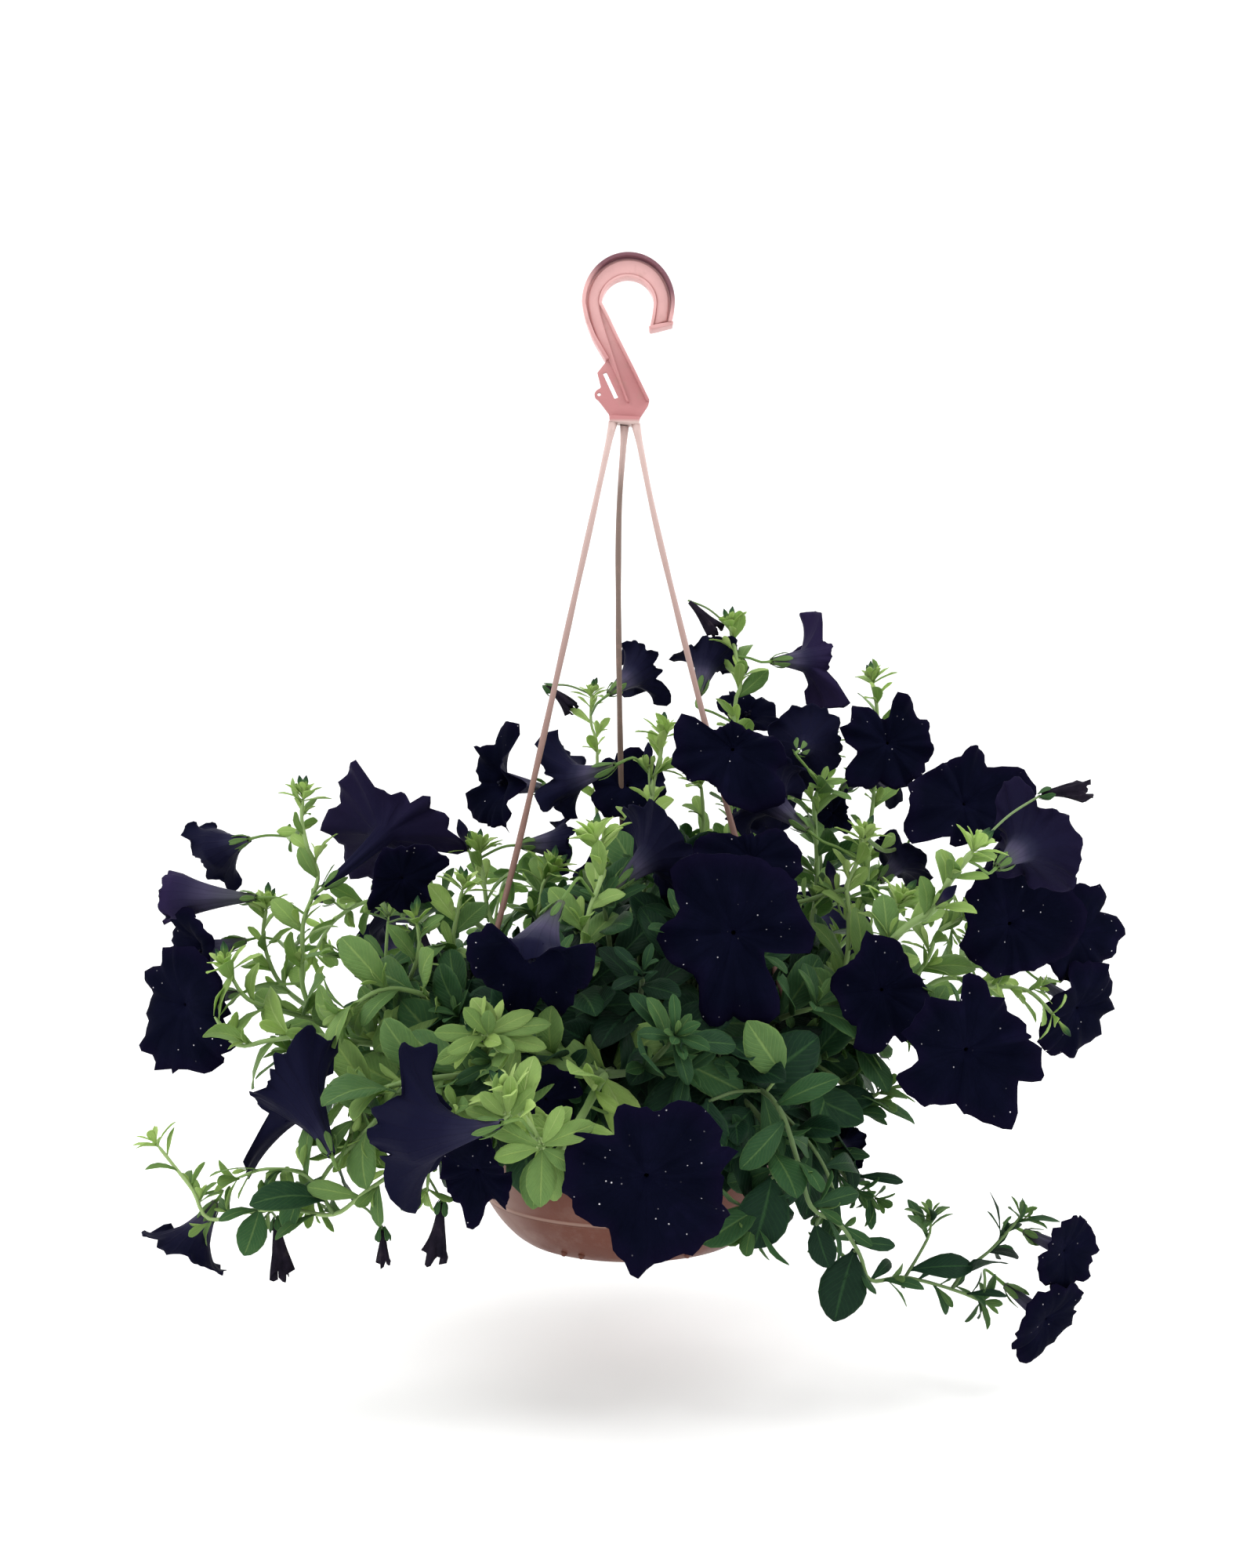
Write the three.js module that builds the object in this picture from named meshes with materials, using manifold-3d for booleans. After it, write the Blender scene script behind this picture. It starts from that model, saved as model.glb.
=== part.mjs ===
// A hanging basket of dark petunias: a plastic bowl filled with potting mix, a moulded
// plastic hanger with three legs, and one spreading plant of leafy shoots, flowers and buds.
// Millimetres, +Z up. The origin is the point inside the hook's crown that bears on whatever
// the basket hangs from; +Y points away from the side on which the two front legs stand.
import * as THREE from "three";
import { mergeVertices } from "three/addons/utils/BufferGeometryUtils.js";
import Module from "manifold-3d";

const wasm = await Module();
wasm.setup();

// ---- driving dimensions ----
const GAP = 0.4; // clearance between neighbouring pieces
const POT_X = 4; // the bowl's axis lies this far to the right of the hook's crown
const POT_BASE_Z = -591;
const POT_RIM_Z = -466;
const POT_RIM_R = 105;
const POT_SIDES = 28;
const NUB_R = 74; // radius of the ring of nubs round the foot
const VENT_D = 3.6; // diameter of the two small holes in the bowl's side
const LUG_R = 109.5; // radius at which the three legs pass through the rim's lugs
const LUG_TOP_Z = -474;
const LUG_T = 4;
const LEG_ANGLES = { left: 210, right: 330, back: 90 }; // degrees, seen from above
const LEG_R = 1.9;
const LEG_PLAY = 1.3; // clearance of a leg in its lug's hole
const KNOB_R = 5.2;
const HOOK_CROWN_R = 16.1; // inside radius of the hook
const HOOK_CENTRE = [2, -16.1]; // x, z
const HOOK_OUTER = [28.9, 31.2]; // half width and half height of the outer arch
const FLANGE_T = 3.2; // thickness of the hook's two flanges
const FLANGE_W = 12.5; // width of the outer flange, front to back
const INNER_FLANGE_W = 9;
const WEB_T = 2.8;
const LEAF_T = 1.1;
const PETAL_T = 1.3;
const PEDICEL_R = 1.15;

// ---- the plant's layout ----
// shoot: name, piece it belongs to, shoot it branches from, radius at root and tip, tip form,
// leaf scale, greenness, points of its centre line
// flower: name, piece it belongs to ("" for a piece of its own), centre of its face, diameter,
// direction that it faces, tube length, flare, point where its stalk leaves the shoot
const SHOOTS = [
  ["L1","shoot_left_tall","",2.2,1.1,"lime",0.95,0.62,[[-38,-6,-478],[-94,-20,-451],[-142,-20,-458],[-176,-15,-461],[-189,-12,-456],[-198,-10,-441],[-199,-8,-414],[-198,-8,-398],[-192,-6,-381],[-190,-5,-369],[-196,-5,-355],[-200,-5,-336],[-199,-5,-322]]],
  ["L4","shoot_left_tall","L1",1.7,1.1,"narrow",1.00,0.50,[[-127,-21,-454],[-138,-30,-449],[-143,-36,-437],[-143,-38,-423],[-142,-38,-403],[-141,-38,-393]]],
  ["L2","shoot_left_low","",2.2,1.1,"leafy",1.15,0.60,[[-54,-34,-478],[-109,-55,-469],[-149,-66,-465],[-180,-68,-460],[-206,-66,-463],[-225,-64,-466],[-239,-62,-450]]],
  ["L3","shoot_left_low","L2",1.6,1.1,"narrow",1.00,0.45,[[-124,-60,-467],[-136,-66,-451],[-146,-66,-434],[-159,-66,-422],[-165,-66,-412]]],
  ["L5","shoot_left_front","",2.2,1.1,"leafy",1.10,0.55,[[-42,-62,-478],[-88,-122,-473],[-116,-134,-474],[-137,-134,-482],[-145,-134,-495],[-148,-134,-509]]],
  ["L6","shoot_trailing_left","",2.2,1.1,"narrow",0.95,0.75,[[-30,-76,-478],[-65,-140,-482],[-104,-152,-507],[-135,-152,-528],[-153,-150,-541],[-176,-148,-539],[-198,-144,-541],[-221,-141,-546],[-230,-140,-531],[-241,-138,-518],[-251,-137,-506]]],
  ["L7","shoot_left_inner","",1.9,1.1,"lime",1.00,0.65,[[-34,20,-478],[-71,8,-443],[-80,8,-408],[-86,10,-394],[-89,10,-372],[-92,10,-356]]],
  ["C1","shoot_back_thin","",1.6,0.8,"lime",0.75,0.80,[[-10,56,-478],[-17,90,-421],[-19,95,-341],[-19,95,-290],[-23,95,-273],[-23,95,-253]]],
  ["C2","shoot_centre","",2.2,1.1,"lime",1.00,0.70,[[2,6,-478],[4,-2,-421],[7,-2,-358],[16,0,-328],[18,0,-313],[22,0,-298],[24,0,-283]]],
  ["C3","shoot_centre_left","",2.2,1.1,"lime",1.10,0.70,[[-16,-30,-478],[-27,-85,-432],[-23,-100,-402],[-19,-104,-384],[-12,-100,-362],[-16,-98,-345]]],
  ["C8","shoot_centre_left","C3",2.2,1.1,"leafy",1.10,0.35,[[-23,-60,-454],[2,-72,-445],[33,-80,-426],[53,-78,-409]]],
  ["C5","shoot_front_drooping","",2.6,1.6,"lime",1.25,0.80,[[-2,-84,-478],[-10,-142,-469],[-23,-176,-486],[-36,-196,-499],[-47,-206,-481],[-56,-208,-467]]],
  ["C4","shoot_front_drooping","C5",2.2,1.1,"lime",1.10,0.75,[[-10,-142,-469],[-31,-140,-461],[-56,-150,-453],[-75,-163,-445]]],
  ["C6","shoot_front_drooping","C5",2.2,1.1,"rosette",1.35,0.25,[[-10,-142,-469],[10,-146,-465],[25,-160,-448]]],
  ["C7","shoot_top","",2.0,1.1,"lime",1.00,0.60,[[16,36,-478],[69,62,-418],[70,66,-340],[73,66,-265],[77,66,-246],[70,68,-210]]],
  ["R2","shoot_right_mid","",2.2,1.1,"lime",1.00,0.70,[[44,-18,-478],[116,-22,-453],[134,-24,-424],[136,-24,-390],[135,-24,-376],[142,-24,-360],[145,-24,-346]]],
  ["R1","shoot_right_mid","R2",2.2,1.1,"leafy",1.00,0.50,[[116,-22,-453],[116,16,-428],[124,36,-380],[123,36,-341],[122,34,-325],[125,28,-316]]],
  ["R3","shoot_right_front","",2.6,1.7,"lime",1.10,0.65,[[52,-44,-478],[120,-74,-450],[152,-94,-401],[172,-104,-384],[179,-112,-368],[192,-116,-350]]],
  ["R4","shoot_right_outer","",2.2,1.1,"lime",1.00,0.60,[[66,-2,-478],[160,12,-462],[200,16,-438],[230,8,-441],[251,0,-443],[266,-8,-458]]],
  ["R5","shoot_right_back","",1.8,1.1,"lime",1.00,0.60,[[42,48,-478],[148,74,-419],[166,84,-341],[170,86,-293],[171,86,-265],[167,86,-244]]],
  ["R6","shoot_trailing_right","",2.2,1.1,"narrow",1.00,0.35,[[48,-72,-478],[79,-134,-483],[92,-146,-514],[99,-146,-538],[115,-142,-549],[126,-136,-566],[133,-130,-582],[153,-122,-583],[180,-114,-592],[199,-108,-601]]],
  ["R6b","shoot_trailing_right","R6",1.3,0.9,"narrow",1.00,0.35,[[180,-114,-592],[189,-110,-582],[202,-106,-574],[218,-102,-559],[222,-100,-555]]],
  ["R6c","shoot_trailing_right","R6",1.2,0.9,"narrow",1.00,0.35,[[153,-122,-583],[161,-120,-571],[167,-120,-559],[167,-120,-550]]],
  ["R7","shoot_right_low","",2.2,1.1,"narrow",1.00,0.25,[[66,-46,-478],[95,-88,-488],[113,-82,-520],[126,-78,-539],[135,-75,-549]]],
  ["R8","shoot_right_low","R7",1.5,1.1,"leafy",1.00,0.25,[[105,-88,-504],[121,-84,-503],[134,-78,-501]]],
  ["R9","shoot_right_flowers","",2.2,1.1,"leafy",1.00,0.35,[[70,-26,-478],[121,-60,-468],[146,-72,-450],[173,-84,-449],[192,-92,-447]]],
  ["B1","shoot_back_left","",2.2,1.1,"lime",1.00,0.55,[[-41,26,-478],[-80,45,-420],[-125,62,-392],[-168,76,-392],[-196,88,-406],[-214,98,-432]]],
  ["B1b","shoot_back_left","B1",1.6,1.1,"lime",1.00,0.55,[[-115,58,-395],[-133,92,-402],[-153,132,-425],[-168,160,-462]]],
  ["B2","shoot_back_mid_left","",2.2,1.1,"narrow",1.00,0.55,[[-18,47,-478],[-35,83,-420],[-60,125,-390],[-83,163,-380],[-96,205,-405],[-102,227,-455],[-101,236,-520]]],
  ["B2b","shoot_back_mid_left","B2",1.6,1.1,"lime",1.00,0.55,[[-60,125,-390],[-58,150,-388],[-58,172,-396],[-62,188,-416],[-68,196,-438]]],
  ["B3","shoot_back_mid_right","",2.2,1.1,"lime",1.00,0.55,[[20,49,-478],[32,87,-425],[52,132,-392],[71,167,-372],[87,187,-330],[90,194,-290]]],
  ["B3b","shoot_back_mid_right","B3",1.6,1.1,"narrow",1.00,0.55,[[49,125,-397],[37,172,-405],[19,214,-440],[12,236,-490],[8,240,-548]]],
  ["B4","shoot_back_right","",2.2,1.1,"narrow",1.00,0.55,[[48,28,-478],[85,50,-425],[134,75,-398],[181,94,-385],[218,104,-405],[243,107,-450],[254,101,-510]]],
  ["B4b","shoot_back_right","B4",1.6,1.1,"lime",1.00,0.55,[[134,75,-398],[134,102,-360],[136,119,-320],[139,122,-285]]],
  ["TF01","shoot_left_tall","L1",1.4,1.1,"none",0.75,0.62,[[-200,-5,-339],[-209,13,-349],[-217,31,-348]]],
  ["TF03a","shoot_left_tall","L1",1.4,1.1,"none",0.75,0.62,[[-199,-8,-410],[-212,14,-418],[-224,36,-415]]],
  ["TF04c","shoot_left_tall","L4",1.4,1.1,"none",0.75,0.50,[[-141,-38,-393],[-146,-31,-385],[-147,-23,-372]]],
  ["TF12","shoot_top","C7",1.4,1.1,"none",0.75,0.60,[[72,66,-299],[72,105,-311],[73,144,-306]]],
  ["TF17","shoot_right_mid","R2",1.4,1.1,"none",0.75,0.70,[[145,-24,-346],[163,1,-356],[181,25,-352]]],
  ["TF19","shoot_right_outer","R4",1.4,1.1,"none",0.75,0.60,[[216,13,-438],[220,20,-424],[223,27,-399]]],
  ["TF19b","shoot_right_outer","R4",1.4,1.1,"none",0.75,0.60,[[234,7,-441],[237,30,-436],[240,53,-417]]],
  ["TF20","shoot_right_outer","R4",1.4,1.1,"none",0.75,0.60,[[238,5,-441],[245,31,-441],[251,57,-428]]],
  ["TF25c","shoot_right_mid","R2",1.4,1.1,"none",0.75,0.70,[[135,-24,-378],[98,-11,-388],[62,3,-381]]],
  ["TF29","shoot_left_front","L5",1.4,1.1,"none",0.75,0.55,[[-108,-133,-473],[-87,-124,-490],[-66,-115,-496]]],
  ["TG05","shoot_back_mid_right","B3b",1.4,1.1,"none",0.75,0.55,[[31,187,-414],[17,163,-414],[3,139,-401]]],
  ["TG07","shoot_back_mid_right","B3",1.4,1.1,"none",0.75,0.55,[[65,157,-380],[86,148,-407],[106,139,-420]]],
];
const FLOWERS = [
  ["F01","",[-271,40,-361],54,[-0.93,0.15,-0.33],33,0.80,[-217,31,-348]],
  ["F02","",[-282,8,-386],48,[-0.99,-0.12,0.02],46,0.45,[-197,-8,-395]],
  ["F03a","shoot_left_tall",[-273,-2,-422],64,[-0.78,-0.59,-0.22],40,1.00,[-224,36,-415]],
  ["F03b","",[-266,-50,-446],82,[-0.55,-0.83,-0.05],51,1.00,[-199,-10,-437]],
  ["F04a","",[-144,10,-334],88,[0.55,0.50,0.67],60,1.00,[-192,-6,-381]],
  ["F04c","shoot_left_tall",[-131,-52,-373],52,[0.10,-0.82,-0.56],32,1.00,[-147,-23,-372]],
  ["F05","",[-83,55,-310],80,[-0.93,-0.36,0.05],50,1.00,[-19,95,-311]],
  ["F06","",[-39,-8,-308],60,[-0.97,0.25,0.05],37,1.00,[18,0,-311]],
  ["F07","",[-38,26,-354],52,[0.92,0.37,0.11],32,0.90,[-91,10,-361]],
  ["F08a","shoot_back_thin",[2,60,-314],50,[0.05,-0.95,0.32],31,1.00,[-19,95,-330]],
  ["F09","",[21,90,-235],64,[0.80,0.21,0.56],40,1.00,[-23,95,-267]],
  ["F10","",[52,84,-225],60,[-0.36,0.31,0.88],37,1.00,[73,66,-274]],
  ["F11","",[133,92,-230],68,[0.98,0.21,0.00],42,1.00,[74,67,-229]],
  ["F12","shoot_top",[87,112,-261],46,[0.27,-0.61,0.75],29,1.00,[73,144,-306]],
  ["F13a","",[62,-62,-293],70,[-0.22,-0.96,0.16],47,1.00,[72,66,-299]],
  ["F13b","shoot_right_mid",[85,-4,-320],64,[-0.63,0.51,0.59],40,1.00,[142,-24,-360]],
  ["F14","shoot_right_mid",[118,50,-288],56,[0.16,0.98,0.10],35,1.00,[125,28,-316]],
  ["F15","",[172,38,-287],66,[0.15,-0.98,0.12],41,1.00,[170,86,-293]],
  ["F16","shoot_back_right",[140,66,-335],42,[0.21,-0.93,-0.31],26,1.00,[136,117,-326]],
  ["F17","",[207,-40,-324],80,[0.35,-0.89,0.30],50,1.00,[181,25,-352]],
  ["F18","",[249,-66,-359],72,[0.89,0.46,0.00],45,1.00,[188,-115,-356]],
  ["F19","",[233,-40,-399],72,[0.15,-0.98,-0.10],45,1.00,[223,27,-399]],
  ["F19b","shoot_right_outer",[296,20,-411],66,[0.86,-0.51,0.00],41,1.00,[240,53,-417]],
  ["F20","",[290,12,-459],74,[0.57,-0.64,-0.52],46,1.00,[251,57,-428]],
  ["F21","shoot_right_mid",[178,16,-360],46,[0.67,0.50,0.55],29,1.00,[135,-24,-384]],
  ["F22","",[145,-104,-429],68,[0.10,-0.99,0.08],42,1.00,[142,-70,-452]],
  ["F23","",[183,-150,-457],84,[0.12,-0.98,-0.18],52,1.00,[177,-86,-449]],
  ["F24","",[-49,-176,-411],72,[-0.33,-0.53,-0.78],49,1.00,[-17,-103,-377]],
  ["F25a","shoot_centre_left",[22,-70,-351],66,[0.73,0.46,0.51],41,1.00,[-17,-103,-377]],
  ["F25c","shoot_right_mid",[76,-62,-357],72,[0.20,-0.95,0.25],45,1.00,[62,3,-381]],
  ["F25b","",[59,-132,-395],88,[-0.04,-1.00,0.00],55,1.00,[53,-78,-409]],
  ["F26","",[-186,-122,-484],90,[-0.92,-0.20,0.34],56,1.00,[-147,-134,-502]],
  ["F28","",[-114,-202,-483],84,[-0.94,0.26,0.02],52,1.00,[-44,-204,-488]],
  ["F29","shoot_left_front",[-75,-166,-520],58,[-0.15,-0.85,-0.50],36,1.00,[-66,-115,-496]],
  ["F30","",[11,-215,-508],84,[0.00,-0.98,-0.22],52,1.00,[-19,-167,-480]],
  ["F31a","",[251,-96,-578],50,[0.95,-0.26,-0.15],31,1.00,[211,-104,-566]],
  ["F31b","",[241,-96,-618],58,[0.79,-0.42,-0.44],36,1.00,[199,-108,-601]],
  ["F32","",[-238,-132,-568],52,[-0.51,-0.26,-0.82],32,1.00,[-228,-140,-534]],
  ["F36","shoot_front_drooping",[-40,-156,-480],40,[0.31,-0.94,-0.10],25,1.00,[-39,-142,-459]],
  ["F38","shoot_right_low",[132,-64,-525],34,[0.70,0.70,-0.12],21,0.80,[111,-83,-515]],
  ["G02","",[-178,188,-448],76,[-0.62,0.74,-0.26],47,1.00,[-156,137,-430]],
  ["G04","",[-50,240,-470],66,[-0.10,0.95,-0.30],41,1.00,[-58,176,-400]],
  ["G05","",[-3,212,-395],80,[-0.09,1.00,0.00],50,1.00,[3,139,-401]],
  ["G06","shoot_back_mid_right",[105,227,-322],70,[0.45,0.85,0.26],43,1.00,[86,185,-337]],
  ["G07","",[153,191,-420],74,[0.67,0.74,-0.09],46,1.00,[106,139,-420]],
  ["G08","shoot_back_right",[184,130,-300],64,[0.85,0.31,0.42],40,1.00,[136,117,-326]],
  ["G09","",[268,107,-400],72,[0.96,0.26,0.09],45,1.00,[212,103,-400]],
  ["G10","shoot_back_mid_left",[-105,269,-500],64,[-0.28,0.77,-0.57],40,1.00,[-102,229,-465]],
  ["G11","shoot_back_left",[-172,123,-400],60,[-0.94,0.08,0.34],37,1.00,[-143,112,-412]],
];

// ---- small tools ----
const V = (x, y, z) => new THREE.Vector3(x, y, z);
const rad = (deg) => (deg * Math.PI) / 180;

// a geometry with its shared vertices merged, which is done before it is turned or moved
function weld(geometry) {
  geometry.deleteAttribute("normal");
  geometry.deleteAttribute("uv");
  const g = mergeVertices(geometry, 1e-3);
  g.userData.welded = true;
  return g;
}

// a closed geometry as a solid for joining and cutting
function solid(geometry) {
  const g = geometry.userData.welded ? geometry : weld(geometry);
  const a = g.index.array;
  const keep = [];
  for (let i = 0; i < a.length; i += 3)
    if (a[i] !== a[i + 1] && a[i + 1] !== a[i + 2] && a[i] !== a[i + 2])
      keep.push(a[i], a[i + 1], a[i + 2]);
  const make = (tri) =>
    new wasm.Manifold(
      new wasm.Mesh({
        numProp: 3,
        vertProperties: new Float32Array(g.attributes.position.array),
        triVerts: new Uint32Array(tri),
      }),
    );
  const s = make(keep);
  if (s.volume() >= 0) return s;
  for (let i = 0; i < keep.length; i += 3)
    [keep[i + 1], keep[i + 2]] = [keep[i + 2], keep[i + 1]];
  return make(keep);
}

function largest(s) {
  const parts = s.decompose();
  let best = parts[0];
  for (const p of parts) if (p.volume() > best.volume()) best = p;
  return best;
}

// joins the ends of edges too short to see, which cuts leave behind
const SHORT = 0.06;
function tidy(s) {
  for (const short of [SHORT, SHORT / 4]) {
    const m = s.getMesh(),
      n = m.numProp,
      p = m.vertProperties;
    const to = Array.from({ length: m.numVert }, (_, i) => i);
    const find = (i) => {
      while (to[i] !== i) i = to[i];
      return i;
    };
    for (let i = 0; i < m.triVerts.length; i++) {
      const a = m.triVerts[i],
        b = m.triVerts[i % 3 === 2 ? i - 2 : i + 1];
      const d = Math.hypot(
        p[a * n] - p[b * n],
        p[a * n + 1] - p[b * n + 1],
        p[a * n + 2] - p[b * n + 2],
      );
      if (d < short && find(a) !== find(b)) to[find(b)] = find(a);
    }
    const v = new Float32Array(m.numVert * 3);
    for (let i = 0; i < m.numVert; i++) v.set(p.subarray(i * n, i * n + 3), i * 3);
    const tri = [];
    for (let i = 0; i < m.triVerts.length; i += 3) {
      const t = [0, 1, 2].map((k) => find(m.triVerts[i + k]));
      if (t[0] !== t[1] && t[1] !== t[2] && t[0] !== t[2]) tri.push(...t);
    }
    try {
      const made = largest(
        new wasm.Manifold(
          new wasm.Mesh({
            numProp: 3,
            vertProperties: v,
            triVerts: new Uint32Array(tri),
          }),
        ),
      );
      if (Math.abs(made.volume() - s.volume()) < 0.002 * s.volume()) return made;
    } catch (e) {
      continue;
    }
  }
  return s;
}

function boxesMeet(a, b) {
  const p = a.boundingBox(),
    q = b.boundingBox();
  for (let i = 0; i < 3; i++)
    if (p.min[i] > q.max[i] || q.min[i] > p.max[i]) return false;
  return true;
}

function cutBy(s, others) {
  for (const o of others) if (boxesMeet(s, o)) s = s.subtract(o);
  return s;
}

function join(list) {
  let s = list[0];
  for (let i = 1; i < list.length; i++) s = s.add(list[i]);
  return s;
}

// polygon of n sides, as the section of a tube
function ngon(r, n) {
  const shape = new THREE.Shape();
  for (let i = 0; i < n; i++) {
    const a = (i / n) * 2 * Math.PI + 0.3;
    if (i) shape.lineTo(r * Math.cos(a), r * Math.sin(a));
    else shape.moveTo(r * Math.cos(a), r * Math.sin(a));
  }
  shape.closePath();
  return shape;
}

function tube(points, r, sides, steps) {
  const path = new THREE.CatmullRomCurve3(points, false, "centripetal");
  return solid(
    new THREE.ExtrudeGeometry(ngon(r, sides), {
      steps,
      extrudePath: path,
      bevelEnabled: false,
    }),
  );
}

// a shape in the x-z plane, given thickness along y and centred on y = 0
function plate(points, thickness, holes = []) {
  const shape = new THREE.Shape(points.map((p) => new THREE.Vector2(p[0], p[1])));
  for (const h of holes)
    shape.holes.push(new THREE.Path(h.map((p) => new THREE.Vector2(p[0], p[1]))));
  const g = weld(
    new THREE.ExtrudeGeometry(shape, {
      depth: thickness,
      steps: 1,
      bevelEnabled: false,
    }),
  );
  g.rotateX(Math.PI / 2); // (x, y, depth) becomes (x, -depth, y)
  g.translate(0, thickness / 2, 0);
  return solid(g);
}

function lathe(profile, sides, x = 0) {
  const g = weld(
    new THREE.LatheGeometry(
      profile.map((p) => new THREE.Vector2(p[0], p[1])),
      sides,
    ),
  );
  g.rotateX(Math.PI / 2);
  g.translate(x, 0, 0);
  return solid(g);
}

function seeded(seed) {
  let a = seed >>> 0;
  return () => {
    a = (a + 0x6d2b79f5) >>> 0;
    let t = a;
    t = Math.imul(t ^ (t >>> 15), t | 1);
    t ^= t + Math.imul(t ^ (t >>> 7), t | 61);
    return ((t ^ (t >>> 14)) >>> 0) / 4294967296;
  };
}

// ---- bowl ----
const OUTER = [
  [0, POT_BASE_Z],
  [69, POT_BASE_Z],
  [74.5, -587],
  [87.5, -571],
  [96.5, -553],
  [101, -535],
  [101.3, -482],
  [POT_RIM_R - 1, -479],
  [POT_RIM_R, -474],
  [POT_RIM_R - 1.5, POT_RIM_Z],
  [100, POT_RIM_Z],
  [98.8, -482],
  [98.5, -534],
  [94.3, -551.5],
  [85.6, -569],
  [73, -584.5],
  [67.5, -588.4],
  [0, -588.4],
];
const legPoint = (name, r = LUG_R) =>
  V(
    POT_X + r * Math.cos(rad(LEG_ANGLES[name])),
    r * Math.sin(rad(LEG_ANGLES[name])),
    0,
  );
let bowl = lathe(OUTER, POT_SIDES, POT_X);
for (const name of Object.keys(LEG_ANGLES)) {
  const g = weld(new THREE.BoxGeometry(15, 17, LUG_T));
  g.rotateZ(rad(LEG_ANGLES[name]));
  const c = legPoint(name, LUG_R - 1.2);
  g.translate(c.x, c.y, LUG_TOP_Z - LUG_T / 2);
  bowl = bowl.add(solid(g));
}
for (const name of Object.keys(LEG_ANGLES)) {
  const g = weld(new THREE.CylinderGeometry(LEG_R + LEG_PLAY, LEG_R + LEG_PLAY, 20, 12));
  g.rotateX(Math.PI / 2);
  const c = legPoint(name);
  g.translate(c.x, c.y, LUG_TOP_Z - LUG_T / 2);
  bowl = bowl.subtract(solid(g));
}
// the inside of the bowl stays free of the lugs' inner ends
bowl = bowl.subtract(
  lathe(
    [
      [0, -560],
      [90, -551.5],
      [98.5, -534],
      [98.8, -482],
      [100, -440],
      [0, -440],
    ],
    POT_SIDES,
    POT_X,
  ),
);
for (const a of [238, 247, 286, 296, 90]) {
  const g = weld(new THREE.SphereGeometry(2.1, 6, 4));
  g.translate(
    POT_X + NUB_R * Math.cos(rad(a)),
    NUB_R * Math.sin(rad(a)),
    -587.4,
  );
  bowl = bowl.add(solid(g));
}
for (const z of [-528.5, -541]) {
  const g = weld(new THREE.CylinderGeometry(VENT_D / 2, VENT_D / 2, 30, 10));
  g.rotateZ(Math.PI / 2);
  g.translate(98, 0, z);
  const m = new THREE.Matrix4().makeRotationZ(rad(-18));
  g.applyMatrix4(m);
  g.translate(POT_X, 0, 0);
  bowl = bowl.subtract(solid(g));
}

// ---- potting mix ----
const mix = lathe(
  [
    [0, -587.8],
    [66.8, -587.8],
    [72.4, -583.9],
    [84.8, -568.8],
    [93.4, -551.3],
    [97.7, -534],
    [98.1, -482.5],
    [88, -479],
    [45, -476.5],
    [0, -475],
  ],
  POT_SIDES,
  POT_X,
);

// ---- hanger: hook ----
const arc = (cx, cz, a, b, from, to, n) =>
  Array.from({ length: n + 1 }, (_, i) => {
    const t = rad(from + ((to - from) * i) / n);
    return [cx + a * Math.cos(t), cz + b * Math.sin(t)];
  });
const HOOK_BACK = [
  [29.3, -28.3],
  [30.8, -21],
  ...arc(HOOK_CENTRE[0] + 0.4, HOOK_CENTRE[1], HOOK_OUTER[0], HOOK_OUTER[1], 0, 180, 14),
  [-25.8, -20],
  [-24.2, -27],
  [-20, -37.6],
  [-11.7, -51.8],
];
const GUSSET = [
  [-17, -58.6],
  [-14.6, -67.9],
  [-17.6, -69.4],
  [-19, -71.8],
  [-18.2, -74.4],
  [-16.4, -75.6],
  [-9.6, -84.5],
  [-9.4, -89.6],
  [-4.4, -90.2],
  [3.5, -91.2],
  [9, -91.4],
  [9.4, -87],
  [14.7, -79],
  [15.4, -76],
];
const HOOK_FRONT = [
  [6.3, -57],
  [-3.4, -37.6],
  [-10.2, -23],
  ...arc(HOOK_CENTRE[0], HOOK_CENTRE[1], HOOK_CROWN_R, HOOK_CROWN_R, 178, 0, 10),
  [17.2, -24],
  [15.7, -30.8],
];
const TIP = [[18.1, -32.2]];
// a band along a line of points, on the side that lies to its left
function band(line, width) {
  const inner = line.map((p, i) => {
    const a = line[Math.max(0, i - 1)],
      b = line[Math.min(line.length - 1, i + 1)];
    const dx = b[0] - a[0],
      dz = b[1] - a[1],
      l = Math.hypot(dx, dz);
    return [p[0] - (dz / l) * width, p[1] + (dx / l) * width];
  });
  return [...line, ...inner.reverse()];
}
let hook = plate(
  [...HOOK_BACK, ...GUSSET, ...HOOK_FRONT, ...TIP],
  WEB_T,
  [
    [
      [-13.2, -59.3],
      [-11.4, -58.6],
      [-4.3, -74],
      [-6.2, -74.6],
    ],
    arc(-15.9, -72, 1.1, 1.1, 0, 288, 4),
  ],
);
hook = hook.add(plate(band(HOOK_BACK, FLANGE_T), FLANGE_W));
hook = hook.add(plate(band([[15.4, -76], ...HOOK_FRONT], FLANGE_T), INNER_FLANGE_W));
// the foot that the three legs leave from
hook = hook.add(
  plate(
    [
      [-9.4, -89.6],
      [-4.4, -90.2],
      [3.5, -91.2],
      [9, -91.4],
      [9.4, -86.5],
      [-9.2, -85.5],
    ],
    9.5,
  ),
);
hook = largest(hook);

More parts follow.
